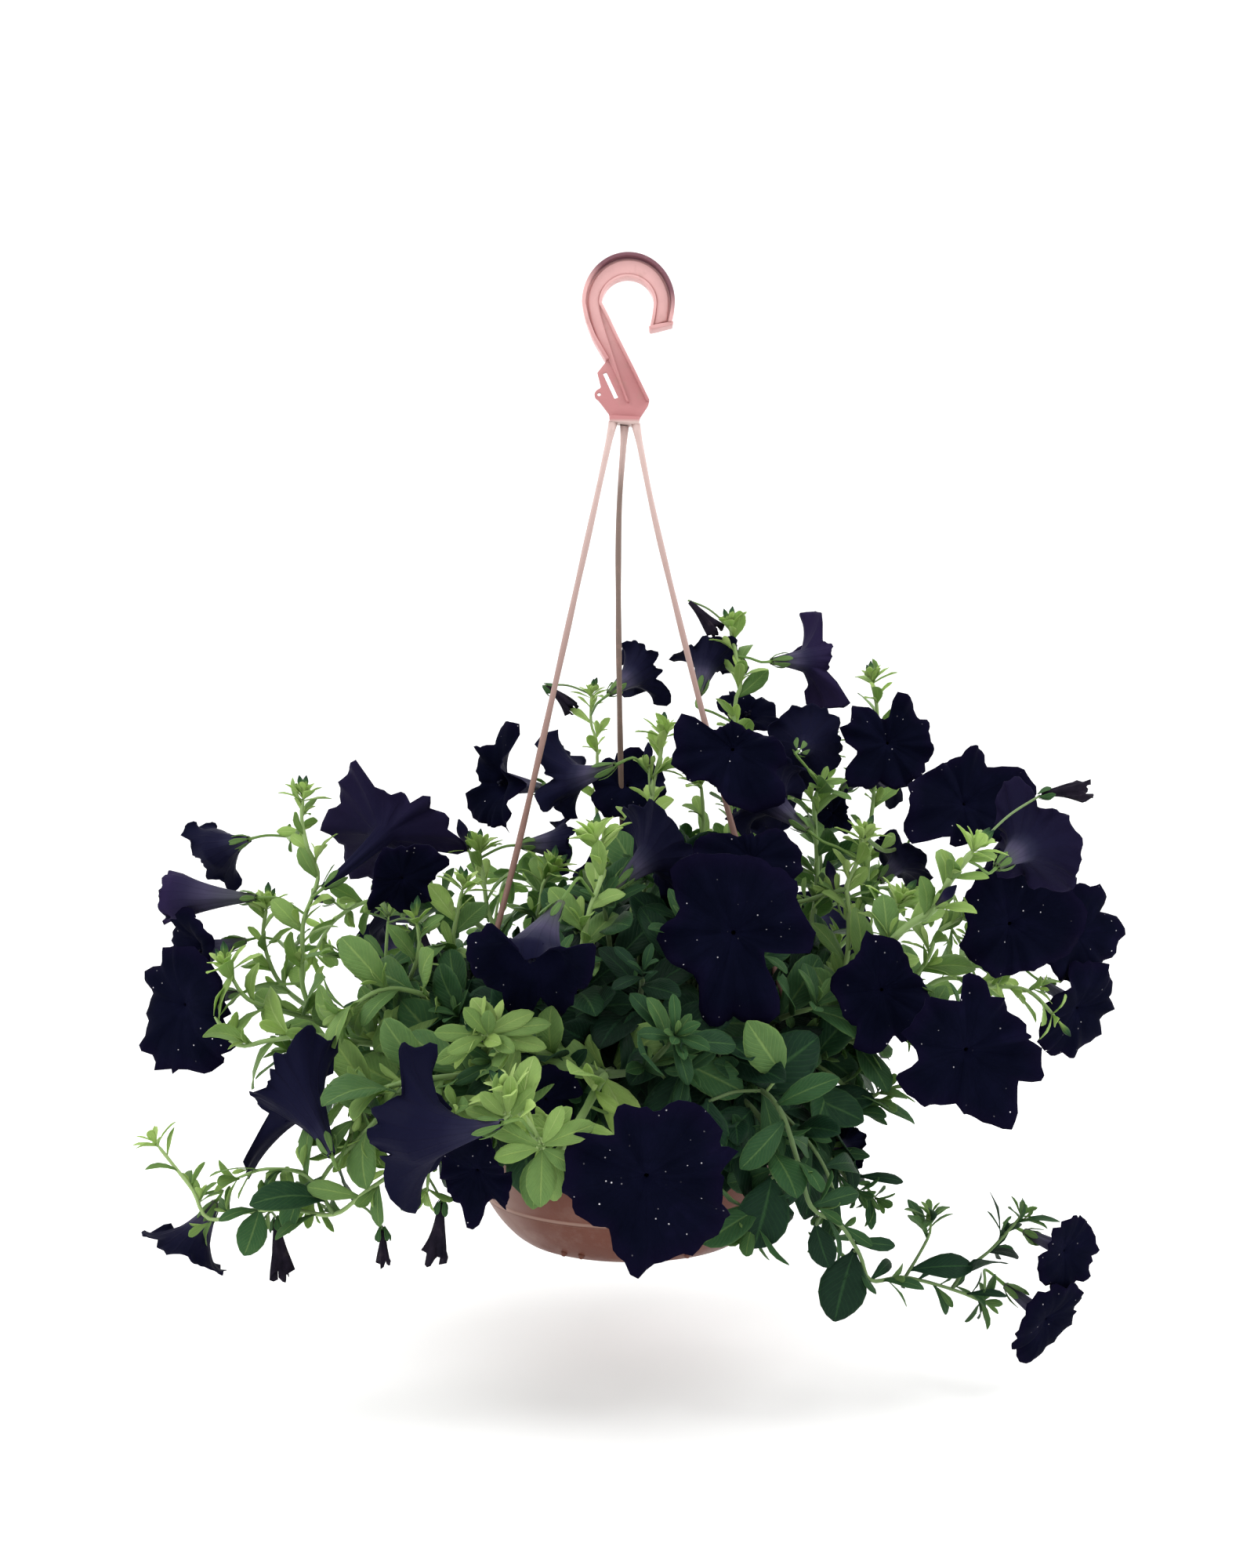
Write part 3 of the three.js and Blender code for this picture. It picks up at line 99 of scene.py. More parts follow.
FLOWERS = [
    ["F01","",[-271,40,-361],54,[-0.93,0.15,-0.33],33,0.80,[-217,31,-348]],
    ["F02","",[-282,8,-386],48,[-0.99,-0.12,0.02],46,0.45,[-197,-8,-395]],
    ["F03a","shoot_left_tall",[-273,-2,-422],64,[-0.78,-0.59,-0.22],40,1.00,[-224,36,-415]],
    ["F03b","",[-266,-50,-446],82,[-0.55,-0.83,-0.05],51,1.00,[-199,-10,-437]],
    ["F04a","",[-144,10,-334],88,[0.55,0.50,0.67],60,1.00,[-192,-6,-381]],
    ["F04c","shoot_left_tall",[-131,-52,-373],52,[0.10,-0.82,-0.56],32,1.00,[-147,-23,-372]],
    ["F05","",[-83,55,-310],80,[-0.93,-0.36,0.05],50,1.00,[-19,95,-311]],
    ["F06","",[-39,-8,-308],60,[-0.97,0.25,0.05],37,1.00,[18,0,-311]],
    ["F07","",[-38,26,-354],52,[0.92,0.37,0.11],32,0.90,[-91,10,-361]],
    ["F08a","shoot_back_thin",[2,60,-314],50,[0.05,-0.95,0.32],31,1.00,[-19,95,-330]],
    ["F09","",[21,90,-235],64,[0.80,0.21,0.56],40,1.00,[-23,95,-267]],
    ["F10","",[52,84,-225],60,[-0.36,0.31,0.88],37,1.00,[73,66,-274]],
    ["F11","",[133,92,-230],68,[0.98,0.21,0.00],42,1.00,[74,67,-229]],
    ["F12","shoot_top",[87,112,-261],46,[0.27,-0.61,0.75],29,1.00,[73,144,-306]],
    ["F13a","",[62,-62,-293],70,[-0.22,-0.96,0.16],47,1.00,[72,66,-299]],
    ["F13b","shoot_right_mid",[85,-4,-320],64,[-0.63,0.51,0.59],40,1.00,[142,-24,-360]],
    ["F14","shoot_right_mid",[118,50,-288],56,[0.16,0.98,0.10],35,1.00,[125,28,-316]],
    ["F15","",[172,38,-287],66,[0.15,-0.98,0.12],41,1.00,[170,86,-293]],
    ["F16","shoot_back_right",[140,66,-335],42,[0.21,-0.93,-0.31],26,1.00,[136,117,-326]],
    ["F17","",[207,-40,-324],80,[0.35,-0.89,0.30],50,1.00,[181,25,-352]],
    ["F18","",[249,-66,-359],72,[0.89,0.46,0.00],45,1.00,[188,-115,-356]],
    ["F19","",[233,-40,-399],72,[0.15,-0.98,-0.10],45,1.00,[223,27,-399]],
    ["F19b","shoot_right_outer",[296,20,-411],66,[0.86,-0.51,0.00],41,1.00,[240,53,-417]],
    ["F20","",[290,12,-459],74,[0.57,-0.64,-0.52],46,1.00,[251,57,-428]],
    ["F21","shoot_right_mid",[178,16,-360],46,[0.67,0.50,0.55],29,1.00,[135,-24,-384]],
    ["F22","",[145,-104,-429],68,[0.10,-0.99,0.08],42,1.00,[142,-70,-452]],
    ["F23","",[183,-150,-457],84,[0.12,-0.98,-0.18],52,1.00,[177,-86,-449]],
    ["F24","",[-49,-176,-411],72,[-0.33,-0.53,-0.78],49,1.00,[-17,-103,-377]],
    ["F25a","shoot_centre_left",[22,-70,-351],66,[0.73,0.46,0.51],41,1.00,[-17,-103,-377]],
    ["F25c","shoot_right_mid",[76,-62,-357],72,[0.20,-0.95,0.25],45,1.00,[62,3,-381]],
    ["F25b","",[59,-132,-395],88,[-0.04,-1.00,0.00],55,1.00,[53,-78,-409]],
    ["F26","",[-186,-122,-484],90,[-0.92,-0.20,0.34],56,1.00,[-147,-134,-502]],
    ["F28","",[-114,-202,-483],84,[-0.94,0.26,0.02],52,1.00,[-44,-204,-488]],
    ["F29","shoot_left_front",[-75,-166,-520],58,[-0.15,-0.85,-0.50],36,1.00,[-66,-115,-496]],
    ["F30","",[11,-215,-508],84,[0.00,-0.98,-0.22],52,1.00,[-19,-167,-480]],
    ["F31a","",[251,-96,-578],50,[0.95,-0.26,-0.15],31,1.00,[211,-104,-566]],
    ["F31b","",[241,-96,-618],58,[0.79,-0.42,-0.44],36,1.00,[199,-108,-601]],
    ["F32","",[-238,-132,-568],52,[-0.51,-0.26,-0.82],32,1.00,[-228,-140,-534]],
    ["F36","shoot_front_drooping",[-40,-156,-480],40,[0.31,-0.94,-0.10],25,1.00,[-39,-142,-459]],
    ["F38","shoot_right_low",[132,-64,-525],34,[0.70,0.70,-0.12],21,0.80,[111,-83,-515]],
    ["G02","",[-178,188,-448],76,[-0.62,0.74,-0.26],47,1.00,[-156,137,-430]],
    ["G04","",[-50,240,-470],66,[-0.10,0.95,-0.30],41,1.00,[-58,176,-400]],
    ["G05","",[-3,212,-395],80,[-0.09,1.00,0.00],50,1.00,[3,139,-401]],
    ["G06","shoot_back_mid_right",[105,227,-322],70,[0.45,0.85,0.26],43,1.00,[86,185,-337]],
    ["G07","",[153,191,-420],74,[0.67,0.74,-0.09],46,1.00,[106,139,-420]],
    ["G08","shoot_back_right",[184,130,-300],64,[0.85,0.31,0.42],40,1.00,[136,117,-326]],
    ["G09","",[268,107,-400],72,[0.96,0.26,0.09],45,1.00,[212,103,-400]],
    ["G10","shoot_back_mid_left",[-105,269,-500],64,[-0.28,0.77,-0.57],40,1.00,[-102,229,-465]],
    ["G11","shoot_back_left",[-172,123,-400],60,[-0.94,0.08,0.34],37,1.00,[-143,112,-412]],
]

# outlines of the blooms that face forward: reach from the centre, as a ratio of the radius, every 7.5 degrees
OUTLINE = {
    "F24": [0.91, 0.98, 1.04, 1.13, 1.27, 1.32, 1.03, 0.93, 0.5, 0.43, 0.42, 0.42, 0.42, 0.52, 1.12, 1.11, 1.03, 1.12, 1.05, 1, 0.93, 0.88, 0.84, 0.83, 0.82, 0.83, 0.84, 0.88, 0.93, 0.99, 0.75, 0.89, 1.07, 1.19, 1.18, 0.88, 0.66, 1.18, 1.08, 0.98, 0.92, 0.83, 0.78, 0.75, 0.73, 0.82, 0.83, 0.86],
    "F25b": [1.01, 0.95, 0.91, 0.87, 0.9, 1.01, 1, 1, 0.97, 0.97, 0.97, 0.97, 0.97, 0.99, 1.02, 1.06, 1.12, 1.12, 1.1, 0.93, 0.82, 0.73, 0.77, 0.88, 0.96, 0.95, 0.93, 0.88, 0.81, 0.75, 0.71, 0.73, 0.85, 1.08, 1.17, 1.14, 1.03, 1.1, 1.16, 1.18, 1.14, 0.91, 0.57, 0.46, 0.46, 0.6, 0.99, 1.02],
    "F25c": [0.83, 0.84, 0.79, 0.77, 0.75, 0.74, 0.68, 0.64, 0.57, 0.46, 0.42, 0.42, 0.42, 0.42, 0.42, 0.42, 0.45, 0.54, 0.61, 0.7, 0.83, 0.93, 1.03, 1.05, 1.08, 1.12, 1.13, 1.13, 1.15, 1.13, 1.13, 1.13, 1.08, 1.04, 1.03, 0.99, 0.96, 0.94, 0.93, 0.9, 0.88, 0.83, 0.78, 0.74, 0.73, 0.77, 0.82, 0.82],
    "F17": [1.14, 1.22, 1.18, 1.08, 0.97, 0.84, 0.74, 0.73, 0.85, 0.87, 0.86, 0.82, 0.75, 0.69, 0.68, 0.67, 0.68, 0.7, 0.72, 0.77, 0.83, 0.91, 1.03, 1.07, 1.11, 1.13, 1.17, 1.22, 1.28, 0.99, 0.88, 0.82, 0.77, 0.73, 0.71, 0.69, 0.65, 0.63, 0.62, 0.67, 0.75, 0.9, 0.99, 0.99, 1.02, 1.03, 1.05, 1.08],
    "F19": [1.11, 1.16, 1.12, 1.06, 1.03, 1.03, 1.04, 1.04, 1.04, 1.04, 1.03, 1.03, 1.04, 1.12, 1.22, 1.12, 1, 0.94, 0.9, 0.88, 0.86, 0.85, 0.82, 0.77, 0.75, 0.78, 0.84, 0.88, 0.84, 0.82, 0.81, 0.8, 0.8, 0.82, 0.82, 0.78, 0.74, 0.73, 0.73, 0.74, 0.77, 0.8, 0.86, 0.95, 1.03, 1.09, 1.08, 1.08],
    "F04a": [1.07, 1.07, 1.01, 0.84, 0.88, 0.94, 0.97, 0.99, 1.01, 1.07, 1.12, 0.73, 0.64, 0.59, 0.58, 0.58, 0.58, 0.59, 0.59, 0.99, 0.9, 0.73, 0.9, 0.99, 0.91, 1.1, 1.14, 1.16, 0.75, 0.71, 0.79, 0.88, 0.91, 0.95, 0.94, 0.94, 0.94, 0.93, 0.93, 0.94, 0.96, 1.01, 1.11, 1.12, 1.05, 0.94, 0.91, 0.92],
    "F29": [0.56, 0.56, 0.57, 0.59, 0.62, 0.64, 0.67, 0.71, 0.77, 0.84, 0.93, 1.06, 1.02, 0.98, 0.95, 0.87, 0.81, 0.74, 0.69, 0.64, 0.62, 0.58, 0.57, 0.56, 0.56, 0.57, 0.59, 0.59, 0.6, 0.62, 0.66, 0.69, 0.7, 0.78, 1.2, 1.25, 0.9, 0.67, 0.65, 0.85, 0.86, 0.77, 0.71, 0.68, 0.66, 0.62, 0.59, 0.57],
    "F04c": [0.68, 0.73, 0.8, 0.9, 1.23, 1.3, 1.25, 1.23, 1.2, 1.14, 1.09, 1.08, 1.03, 1.01, 1, 1, 0.93, 0.87, 0.85, 0.77, 0.72, 0.69, 0.67, 0.65, 0.67, 0.68, 0.71, 0.79, 0.92, 0.98, 1.01, 0.63, 0.65, 0.7, 0.73, 0.76, 0.8, 0.82, 0.83, 0.83, 0.8, 0.79, 0.79, 0.8, 0.78, 0.64, 0.6, 0.63],
    "F05": [0.67, 0.66, 0.66, 0.65, 0.65, 0.66, 0.72, 1.14, 1.14, 1.08, 1.04, 0.96, 0.8, 0.65, 0.64, 0.66, 0.7, 0.76, 0.78, 0.8, 0.81, 0.59, 0.55, 0.54, 0.54, 0.63, 0.71, 0.81, 0.86, 0.86, 0.84, 0.82, 0.78, 0.73, 0.72, 0.72, 0.75, 0.75, 0.76, 0.78, 0.94, 0.9, 0.81, 0.75, 0.71, 0.69, 0.67, 0.67],
    "F06": [0.42, 0.42, 0.42, 0.5, 0.7, 0.78, 0.84, 0.93, 0.98, 1.02, 1.02, 0.98, 0.82, 0.73, 0.69, 0.67, 0.65, 0.65, 0.68, 0.77, 0.91, 0.91, 0.83, 0.74, 0.67, 0.65, 0.65, 0.65, 0.67, 0.7, 0.75, 1.04, 0.97, 0.93, 0.74, 0.63, 0.56, 0.51, 0.54, 0.6, 0.73, 0.89, 0.87, 0.85, 0.7, 0.58, 0.42, 0.42],
    "F11": [0.68, 0.83, 0.75, 0.67, 0.61, 0.59, 0.6, 0.63, 1.12, 1.1, 1.06, 1.01, 0.99, 0.94, 0.42, 0.42, 0.42, 0.42, 0.42, 0.42, 0.42, 0.42, 0.42, 0.42, 0.42, 0.42, 0.42, 0.42, 0.42, 0.42, 1.24, 1.19, 1.11, 1.04, 1, 0.97, 0.97, 0.92, 0.89, 0.54, 0.49, 0.45, 0.43, 0.42, 0.42, 0.43, 0.48, 0.56],
    "F10": [0.9, 0.81, 0.71, 0.63, 0.58, 0.54, 0.52, 0.49, 0.48, 0.47, 0.47, 0.48, 0.5, 0.53, 0.57, 0.6, 0.65, 0.73, 0.85, 0.95, 0.91, 0.8, 0.72, 0.66, 0.69, 0.77, 0.85, 0.89, 0.95, 0.95, 0.93, 0.65, 0.61, 0.59, 0.57, 0.57, 0.55, 0.53, 0.53, 0.53, 0.53, 0.53, 0.54, 0.54, 0.55, 0.57, 0.68, 1.03],
    "F09": [0.55, 0.54, 0.48, 0.44, 0.44, 0.51, 0.6, 0.67, 0.73, 0.72, 0.72, 0.69, 0.68, 0.67, 0.67, 0.67, 0.68, 0.67, 0.66, 0.67, 0.62, 0.58, 0.43, 0.42, 0.42, 0.42, 0.42, 0.42, 0.42, 0.42, 0.51, 0.7, 0.83, 0.98, 0.9, 0.81, 0.73, 0.67, 0.65, 0.64, 0.65, 0.7, 0.84, 0.98, 0.92, 0.64, 0.58, 0.56],
    "F18": [0.58, 0.54, 0.52, 0.54, 0.58, 0.63, 0.7, 0.83, 0.88, 0.93, 0.96, 0.96, 0.88, 0.74, 0.71, 0.68, 0.68, 0.68, 0.7, 0.73, 0.67, 0.63, 0.64, 0.69, 0.77, 0.78, 0.78, 0.81, 0.83, 0.83, 0.85, 0.88, 0.93, 0.98, 0.93, 0.83, 0.77, 0.75, 0.73, 0.74, 0.76, 0.8, 0.87, 0.96, 0.99, 0.89, 0.74, 0.65],
    "F01": [0.43, 0.44, 0.51, 0.64, 0.74, 0.83, 0.89, 0.92, 0.94, 0.88, 0.79, 0.76, 0.78, 0.82, 0.84, 0.77, 0.73, 0.74, 0.77, 0.83, 0.89, 0.91, 0.89, 0.79, 0.73, 0.68, 0.66, 0.66, 0.71, 0.76, 1.02, 1.11, 1.08, 0.94, 0.84, 0.76, 0.69, 0.65, 0.62, 0.58, 0.53, 0.48, 0.46, 0.44, 0.44, 0.43, 0.42, 0.42],
    "F26": [0.55, 0.55, 0.42, 0.42, 0.42, 0.42, 0.42, 0.47, 0.5, 0.52, 0.54, 0.86, 0.88, 0.84, 0.74, 0.72, 0.75, 0.8, 0.78, 0.71, 0.64, 0.57, 0.42, 0.42, 0.42, 0.42, 0.42, 0.44, 0.53, 0.6, 0.7, 0.58, 0.46, 0.44, 0.44, 0.44, 0.54, 1.34, 1.24, 1.1, 1.01, 0.42, 0.42, 0.42, 0.42, 0.42, 0.46, 0.5],
    "F28": [0.54, 0.54, 0.55, 0.51, 0.49, 0.46, 0.44, 0.45, 0.47, 0.5, 1.01, 1.04, 0.99, 0.94, 1.02, 1.02, 0.64, 0.56, 0.55, 0.56, 0.57, 0.59, 0.61, 0.64, 0.68, 0.68, 0.66, 0.66, 0.68, 0.71, 0.76, 0.77, 0.84, 1.02, 1.16, 1.09, 0.98, 0.9, 0.74, 0.52, 0.47, 0.44, 0.42, 0.42, 0.43, 0.45, 0.49, 0.54],
    "F13a": [0.88, 0.84, 0.72, 0.61, 0.54, 0.49, 0.46, 0.42, 0.42, 0.42, 0.42, 0.42, 0.42, 0.42, 0.42, 0.42, 0.42, 0.42, 0.42, 1.05, 1.06, 1.03, 1.02, 0.97, 0.94, 1.05, 1.06, 0.96, 0.91, 0.93, 0.77, 0.71, 0.68, 0.71, 0.76, 0.85, 0.98, 1.03, 1.09, 1.16, 1.19, 1.24, 1.32, 1.22, 0.9, 0.83, 0.96, 0.95],
    "F15": [0.83, 0.83, 0.83, 0.93, 0.95, 0.81, 0.85, 0.95, 0.97, 0.99, 1, 1, 0.49, 0.5, 0.59, 0.66, 0.81, 0.9, 1.02, 1.02, 0.9, 0.9, 1.06, 0.9, 0.88, 0.77, 0.72, 0.74, 1.04, 1.19, 1.25, 1.13, 1.08, 0.99, 0.79, 0.86, 0.93, 0.94, 0.9, 0.9, 0.86, 0.9, 0.9, 0.88, 0.83, 0.89, 0.9, 0.85],
    "F16": [0.42, 0.42, 0.42, 0.42, 0.52, 0.49, 0.51, 0.58, 0.9, 0.9, 0.78, 0.74, 0.74, 0.68, 0.68, 0.62, 0.61, 0.59, 0.66, 0.79, 0.81, 0.78, 0.68, 0.62, 0.61, 0.59, 0.58, 0.55, 0.76, 0.85, 0.88, 0.88, 0.54, 0.46, 0.45, 0.44, 0.44, 0.46, 0.51, 0.56, 0.69, 0.79, 0.74, 0.76, 0.79, 0.66, 0.52, 0.42],
    "F22": [0.78, 0.74, 0.68, 0.63, 0.57, 0.59, 0.63, 0.72, 0.72, 0.8, 0.84, 0.88, 0.89, 0.89, 1, 0.93, 0.74, 0.75, 0.75, 0.74, 0.81, 0.86, 0.85, 0.87, 0.87, 0.83, 0.81, 0.81, 0.81, 0.79, 0.78, 0.74, 1.07, 1.06, 1.04, 1.03, 0.87, 0.77, 0.77, 0.97, 0.9, 0.9, 0.9, 0.9, 0.9, 0.9, 0.8, 0.8],
    "F23": [0.98, 0.84, 0.79, 0.76, 0.78, 0.76, 0.71, 0.77, 0.82, 0.86, 0.8, 1.01, 1.01, 0.93, 0.74, 0.78, 0.84, 0.9, 0.9, 0.9, 0.9, 0.9, 0.9, 0.73, 0.69, 0.71, 0.96, 0.99, 0.96, 0.93, 0.89, 0.86, 0.79, 0.76, 0.65, 0.74, 0.81, 0.86, 0.99, 1.04, 1.11, 1.05, 0.94, 0.86, 0.77, 0.96, 0.94, 0.94],
    "F30": [0.91, 0.88, 1.12, 0.99, 0.98, 1.12, 1.12, 1.12, 1.12, 1.09, 1, 0.85, 0.91, 0.93, 0.97, 0.97, 0.74, 0.81, 0.89, 0.97, 1.01, 1.01, 0.96, 0.93, 0.98, 0.94, 0.9, 0.91, 0.85, 0.81, 0.77, 0.74, 0.83, 0.95, 1, 1.12, 1.09, 1.05, 1.02, 1.03, 1.09, 1.09, 1.12, 1.11, 1.1, 1.08, 0.91, 0.91],
}


POT_X = 4.0
SOIL_Z = -476.0


def unit(v):
    v = np.asarray(v, float)
    n = np.linalg.norm(v)
    return v / n if n > 1e-12 else np.array([0.0, 0.0, 1.0])


def rng_of(*key):
    seed = 17
    for k in key:
        for ch in str(k):
            seed = (seed * 131 + ord(ch)) % 2147483647
    return np.random.default_rng(seed)


def catmull(points, step=5.0):
    """A smooth line through the points, with a point about every step mm."""
    pts = np.asarray(points, float)
    q = np.vstack([2 * pts[0] - pts[1], pts, 2 * pts[-1] - pts[-2]])
    out = []
    for i in range(1, len(q) - 2):
        p0, p1, p2, p3 = q[i - 1 : i + 3]
        n = max(2, int(np.linalg.norm(p2 - p1) / step))
        t = np.arange(n)[:, None] / n
        out.append(
            0.5
            * (
                2 * p1
                + (p2 - p0) * t
                + (2 * p0 - 5 * p1 + 4 * p2 - p3) * t**2
                + (3 * p1 - p0 - 3 * p2 + p3) * t**3
            )
        )
    out.append(pts[-1:])
    return np.vstack(out)


def frames_along(line):
    """Tangents and two normals along a line, turning as little as they can."""
    t = np.gradient(line, axis=0)
    t /= np.linalg.norm(t, axis=1)[:, None] + 1e-12
    a = np.cross(t[0], [0.0, 0.0, 1.0])
    if np.linalg.norm(a) < 0.2:
        a = np.cross(t[0], [1.0, 0.0, 0.0])
    n1 = np.zeros_like(line)
    n1[0] = unit(a)
    for i in range(1, len(line)):
        v = n1[i - 1] - t[i] * np.dot(n1[i - 1], t[i])
        n1[i] = unit(v)
    return t, n1, np.cross(t, n1)


# ------------------------------------------------------------------ mesh building
class Build:
    """Gathers faces with their map coordinates, greenness and material, then makes one mesh."""

    def __init__(self):
        self.v, self.q, self.uv, self.tone, self.mat = [], [], [], [], []
        self.n = 0

    def add(self, verts, quads, uvs, tone, mat=0):
        """verts (n,3) in mm, quads (k,4) with -1 last for a triangle, uvs (k,4,2)."""
        verts = np.asarray(verts, float).reshape(-1, 3)
        quads = np.asarray(quads)
        self.v.append(verts)
        self.q.append(np.where(quads >= 0, quads + self.n, -1))
        self.uv.append(np.asarray(uvs, float))
        self.tone.append(
            np.full(len(verts), tone, float) if np.isscalar(tone) else np.asarray(tone, float)
        )
        self.mat.append(np.full(len(quads), mat) if np.isscalar(mat) else np.asarray(mat))
        self.n += len(verts)

    def make(self, name, materials, slot, nodes=(), smooth=True):
        v = np.vstack(self.v) * 0.001
        q = np.vstack(self.q)
        uv = np.vstack(self.uv)
        mat = np.concatenate(self.mat)
        tri = q[:, 3] < 0
        size = np.where(tri, 3, 4)
        start = np.concatenate([[0], np.cumsum(size)[:-1]])
        keep = np.ones((len(q), 4), bool)
        keep[tri, 3] = False
        loops = q[keep]
        me = bpy.data.meshes.new(name)
        me.vertices.add(len(v))
        me.vertices.foreach_set("co", v.astype(np.float32).ravel())
        me.loops.add(len(loops))
        me.loops.foreach_set("vertex_index", loops.astype(np.int32))
        me.polygons.add(len(q))
        me.polygons.foreach_set("loop_start", start.astype(np.int32))
        me.polygons.foreach_set("loop_total", size.astype(np.int32))
        me.polygons.foreach_set("material_index", mat.astype(np.int32))
        me.update(calc_edges=True)
        layer = me.uv_layers.new(name="UVMap")
        layer.uv.foreach_set("vector", uv[keep].astype(np.float32).ravel())
        att = me.attributes.new("tone", "FLOAT", "POINT")
        att.data.foreach_set("value", np.concatenate(self.tone).astype(np.float32))
        if smooth:
            me.polygons.foreach_set("use_smooth", np.ones(len(q), bool))
        me.validate(clean_customdata=False)
        for m in materials:
            me.materials.append(m)
        ob = bpy.data.objects.new(name, me)
        bpy.context.scene.collection.objects.link(ob)
        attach(ob, "root")
        if nodes:
            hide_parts(*nodes)
        return ob


def grid(nu, nv, wrap):
    """Quads and map coordinates of a grid of nu points across and nv along."""
    i = np.arange(nu if wrap else nu - 1)
    j = np.arange(nv - 1)
    I, J = np.meshgrid(i, j)
    I, J = I.ravel(), J.ravel()
    I2 = (I + 1) % nu
    quads = np.stack([J * nu + I, J * nu + I2, (J + 1) * nu + I2, (J + 1) * nu + I], 1)
    du = nu if wrap else nu - 1
    u0, u1, v0, v1 = I / du, (I + 1) / du, J / (nv - 1), (J + 1) / (nv - 1)
    uvs = np.stack(
        [np.stack([u0, v0], 1), np.stack([u1, v0], 1), np.stack([u1, v1], 1), np.stack([u0, v1], 1)],
        1,
    )
    return quads, uvs


_GRIDS = {}


def sheet_solid(b, P, thick, wrap, tone, mats=(0, 0), vmap=None):
    """A thin solid from a grid of points P (nv, nu, 3): its top face looks along the
    cross of the across and along directions."""
    nv, nu, _ = P.shape
    if wrap:
        du = np.roll(P, -1, 1) - np.roll(P, 1, 1)
    else:
        du = np.gradient(P, axis=1)
    dv = np.gradient(P, axis=0)
    n = np.cross(du, dv)
    ln = np.linalg.norm(n, axis=2)[..., None]
    n = n / np.maximum(ln, 1e-9)
    t = np.asarray(thick)
    if t.ndim:
        t = t.reshape(nv, -1, 1)
    top = (P + n * t * 0.5).reshape(-1, 3)
    bot = (P - n * t * 0.5).reshape(-1, 3)
    key = (nu, nv, wrap)
    if key not in _GRIDS:
        q, uv = grid(nu, nv, wrap)
        m = nu * nv
        faces = [q, (q + m)[:, ::-1]]
        maps = [uv, uv[:, ::-1]]
        side = [np.zeros(len(q), int), np.ones(len(q), int)]
        last = (nv - 1) * nu
        i = np.arange(nu if wrap else nu - 1)
        i2 = (i + 1) % nu
        du_ = nu if wrap else nu - 1
        a = np.stack([i2, i, i + m, i2 + m], 1)
        c = np.stack([last + i, last + i2, last + i2 + m, last + i + m], 1)
        u0, u1 = i / du_, (i + 1) / du_
        z, o = np.zeros(len(i)), np.ones(len(i))
        faces += [a, c]
        maps += [
            np.stack([np.stack([u1, z], 1), np.stack([u0, z], 1), np.stack([u0, z], 1), np.stack([u1, z], 1)], 1),
            np.stack([np.stack([u0, o], 1), np.stack([u1, o], 1), np.stack([u1, o], 1), np.stack([u0, o], 1)], 1),
        ]
        side += [np.zeros(len(a), int), np.zeros(len(c), int)]
        if not wrap:
            j = np.arange(nv - 1)
            l0, l1 = j * nu, (j + 1) * nu
            r0, r1 = l0 + nu - 1, l1 + nu - 1
            v0, v1 = j / (nv - 1), (j + 1) / (nv - 1)
            z, o = np.zeros(len(j)), np.ones(len(j))
            faces += [np.stack([l0, l1, l1 + m, l0 + m], 1), np.stack([r1, r0, r0 + m, r1 + m], 1)]
            maps += [
                np.stack([np.stack([z, v0], 1), np.stack([z, v1], 1), np.stack([z, v1], 1), np.stack([z, v0], 1)], 1),
                np.stack([np.stack([o, v1], 1), np.stack([o, v0], 1), np.stack([o, v0], 1), np.stack([o, v1], 1)], 1),
            ]
            side += [np.zeros(len(j), int), np.zeros(len(j), int)]
        _GRIDS[key] = (np.vstack(faces), np.vstack(maps), np.concatenate(side))
    faces, maps, side = _GRIDS[key]
    if vmap is not None:
        maps = maps.copy()
        maps[..., 1] = np.interp(maps[..., 1], np.linspace(0, 1, nv), vmap)
    b.add(np.vstack([top, bot]), faces, maps, tone, np.where(side == 1, mats[1], mats[0]))


def tube(b, line, radius, tone, mat=0, sides=8, cap=True, squash=None):
    """A closed tube along a line of points; radius may be one number or one for each point."""
    line = np.asarray(line, float)
    n = len(line)
    r = np.full(n, radius, float) if np.isscalar(radius) else np.asarray(radius, float)
    _, n1, n2 = frames_along(line)
    a = np.arange(sides) / sides * 2 * math.pi
    ca, sa = np.cos(a), np.sin(a)
    P = (
        line[:, None, :]
        + n1[:, None, :] * (ca[None, :, None] * r[:, None, None])
        + n2[:, None, :] * (sa[None, :, None] * r[:, None, None])
    )
    q, uv = grid(sides, n, True)
    verts = P.reshape(-1, 3)
    m = len(verts)
    verts = np.vstack([verts, line[:1], line[-1:]])
    i = np.arange(sides)
    i2 = (i + 1) % sides
    c0 = np.stack([i2, i, np.full(sides, m), np.full(sides, -1)], 1)
    l = (n - 1) * sides
    c1 = np.stack([l + i, l + i2, np.full(sides, m + 1), np.full(sides, -1)], 1)
    z = np.zeros((sides, 4, 2))
    o = np.zeros((sides, 4, 2))
    o[..., 1] = 1
    if not np.isscalar(tone):
        tone = np.concatenate([np.repeat(tone, sides), [tone[0], tone[-1]]])
    b.add(verts, np.vstack([q, c0, c1]), np.vstack([uv, z, o]), tone, mat)


# ------------------------------------------------------------------ leaves
LEAF_S = np.array([0, 0.07, 0.18, 0.33, 0.5, 0.66, 0.81, 0.93, 1.0])
OVATE = np.array([0.11, 0.17, 0.52, 0.88, 1.0, 0.92, 0.68, 0.36, 0.05])
SPATULATE = np.array([0.16, 0.2, 0.36, 0.62, 0.86, 1.0, 0.88, 0.55, 0.07])
SMALL_S = np.array([0, 0.16, 0.4, 0.62, 0.82, 0.95, 1.0])


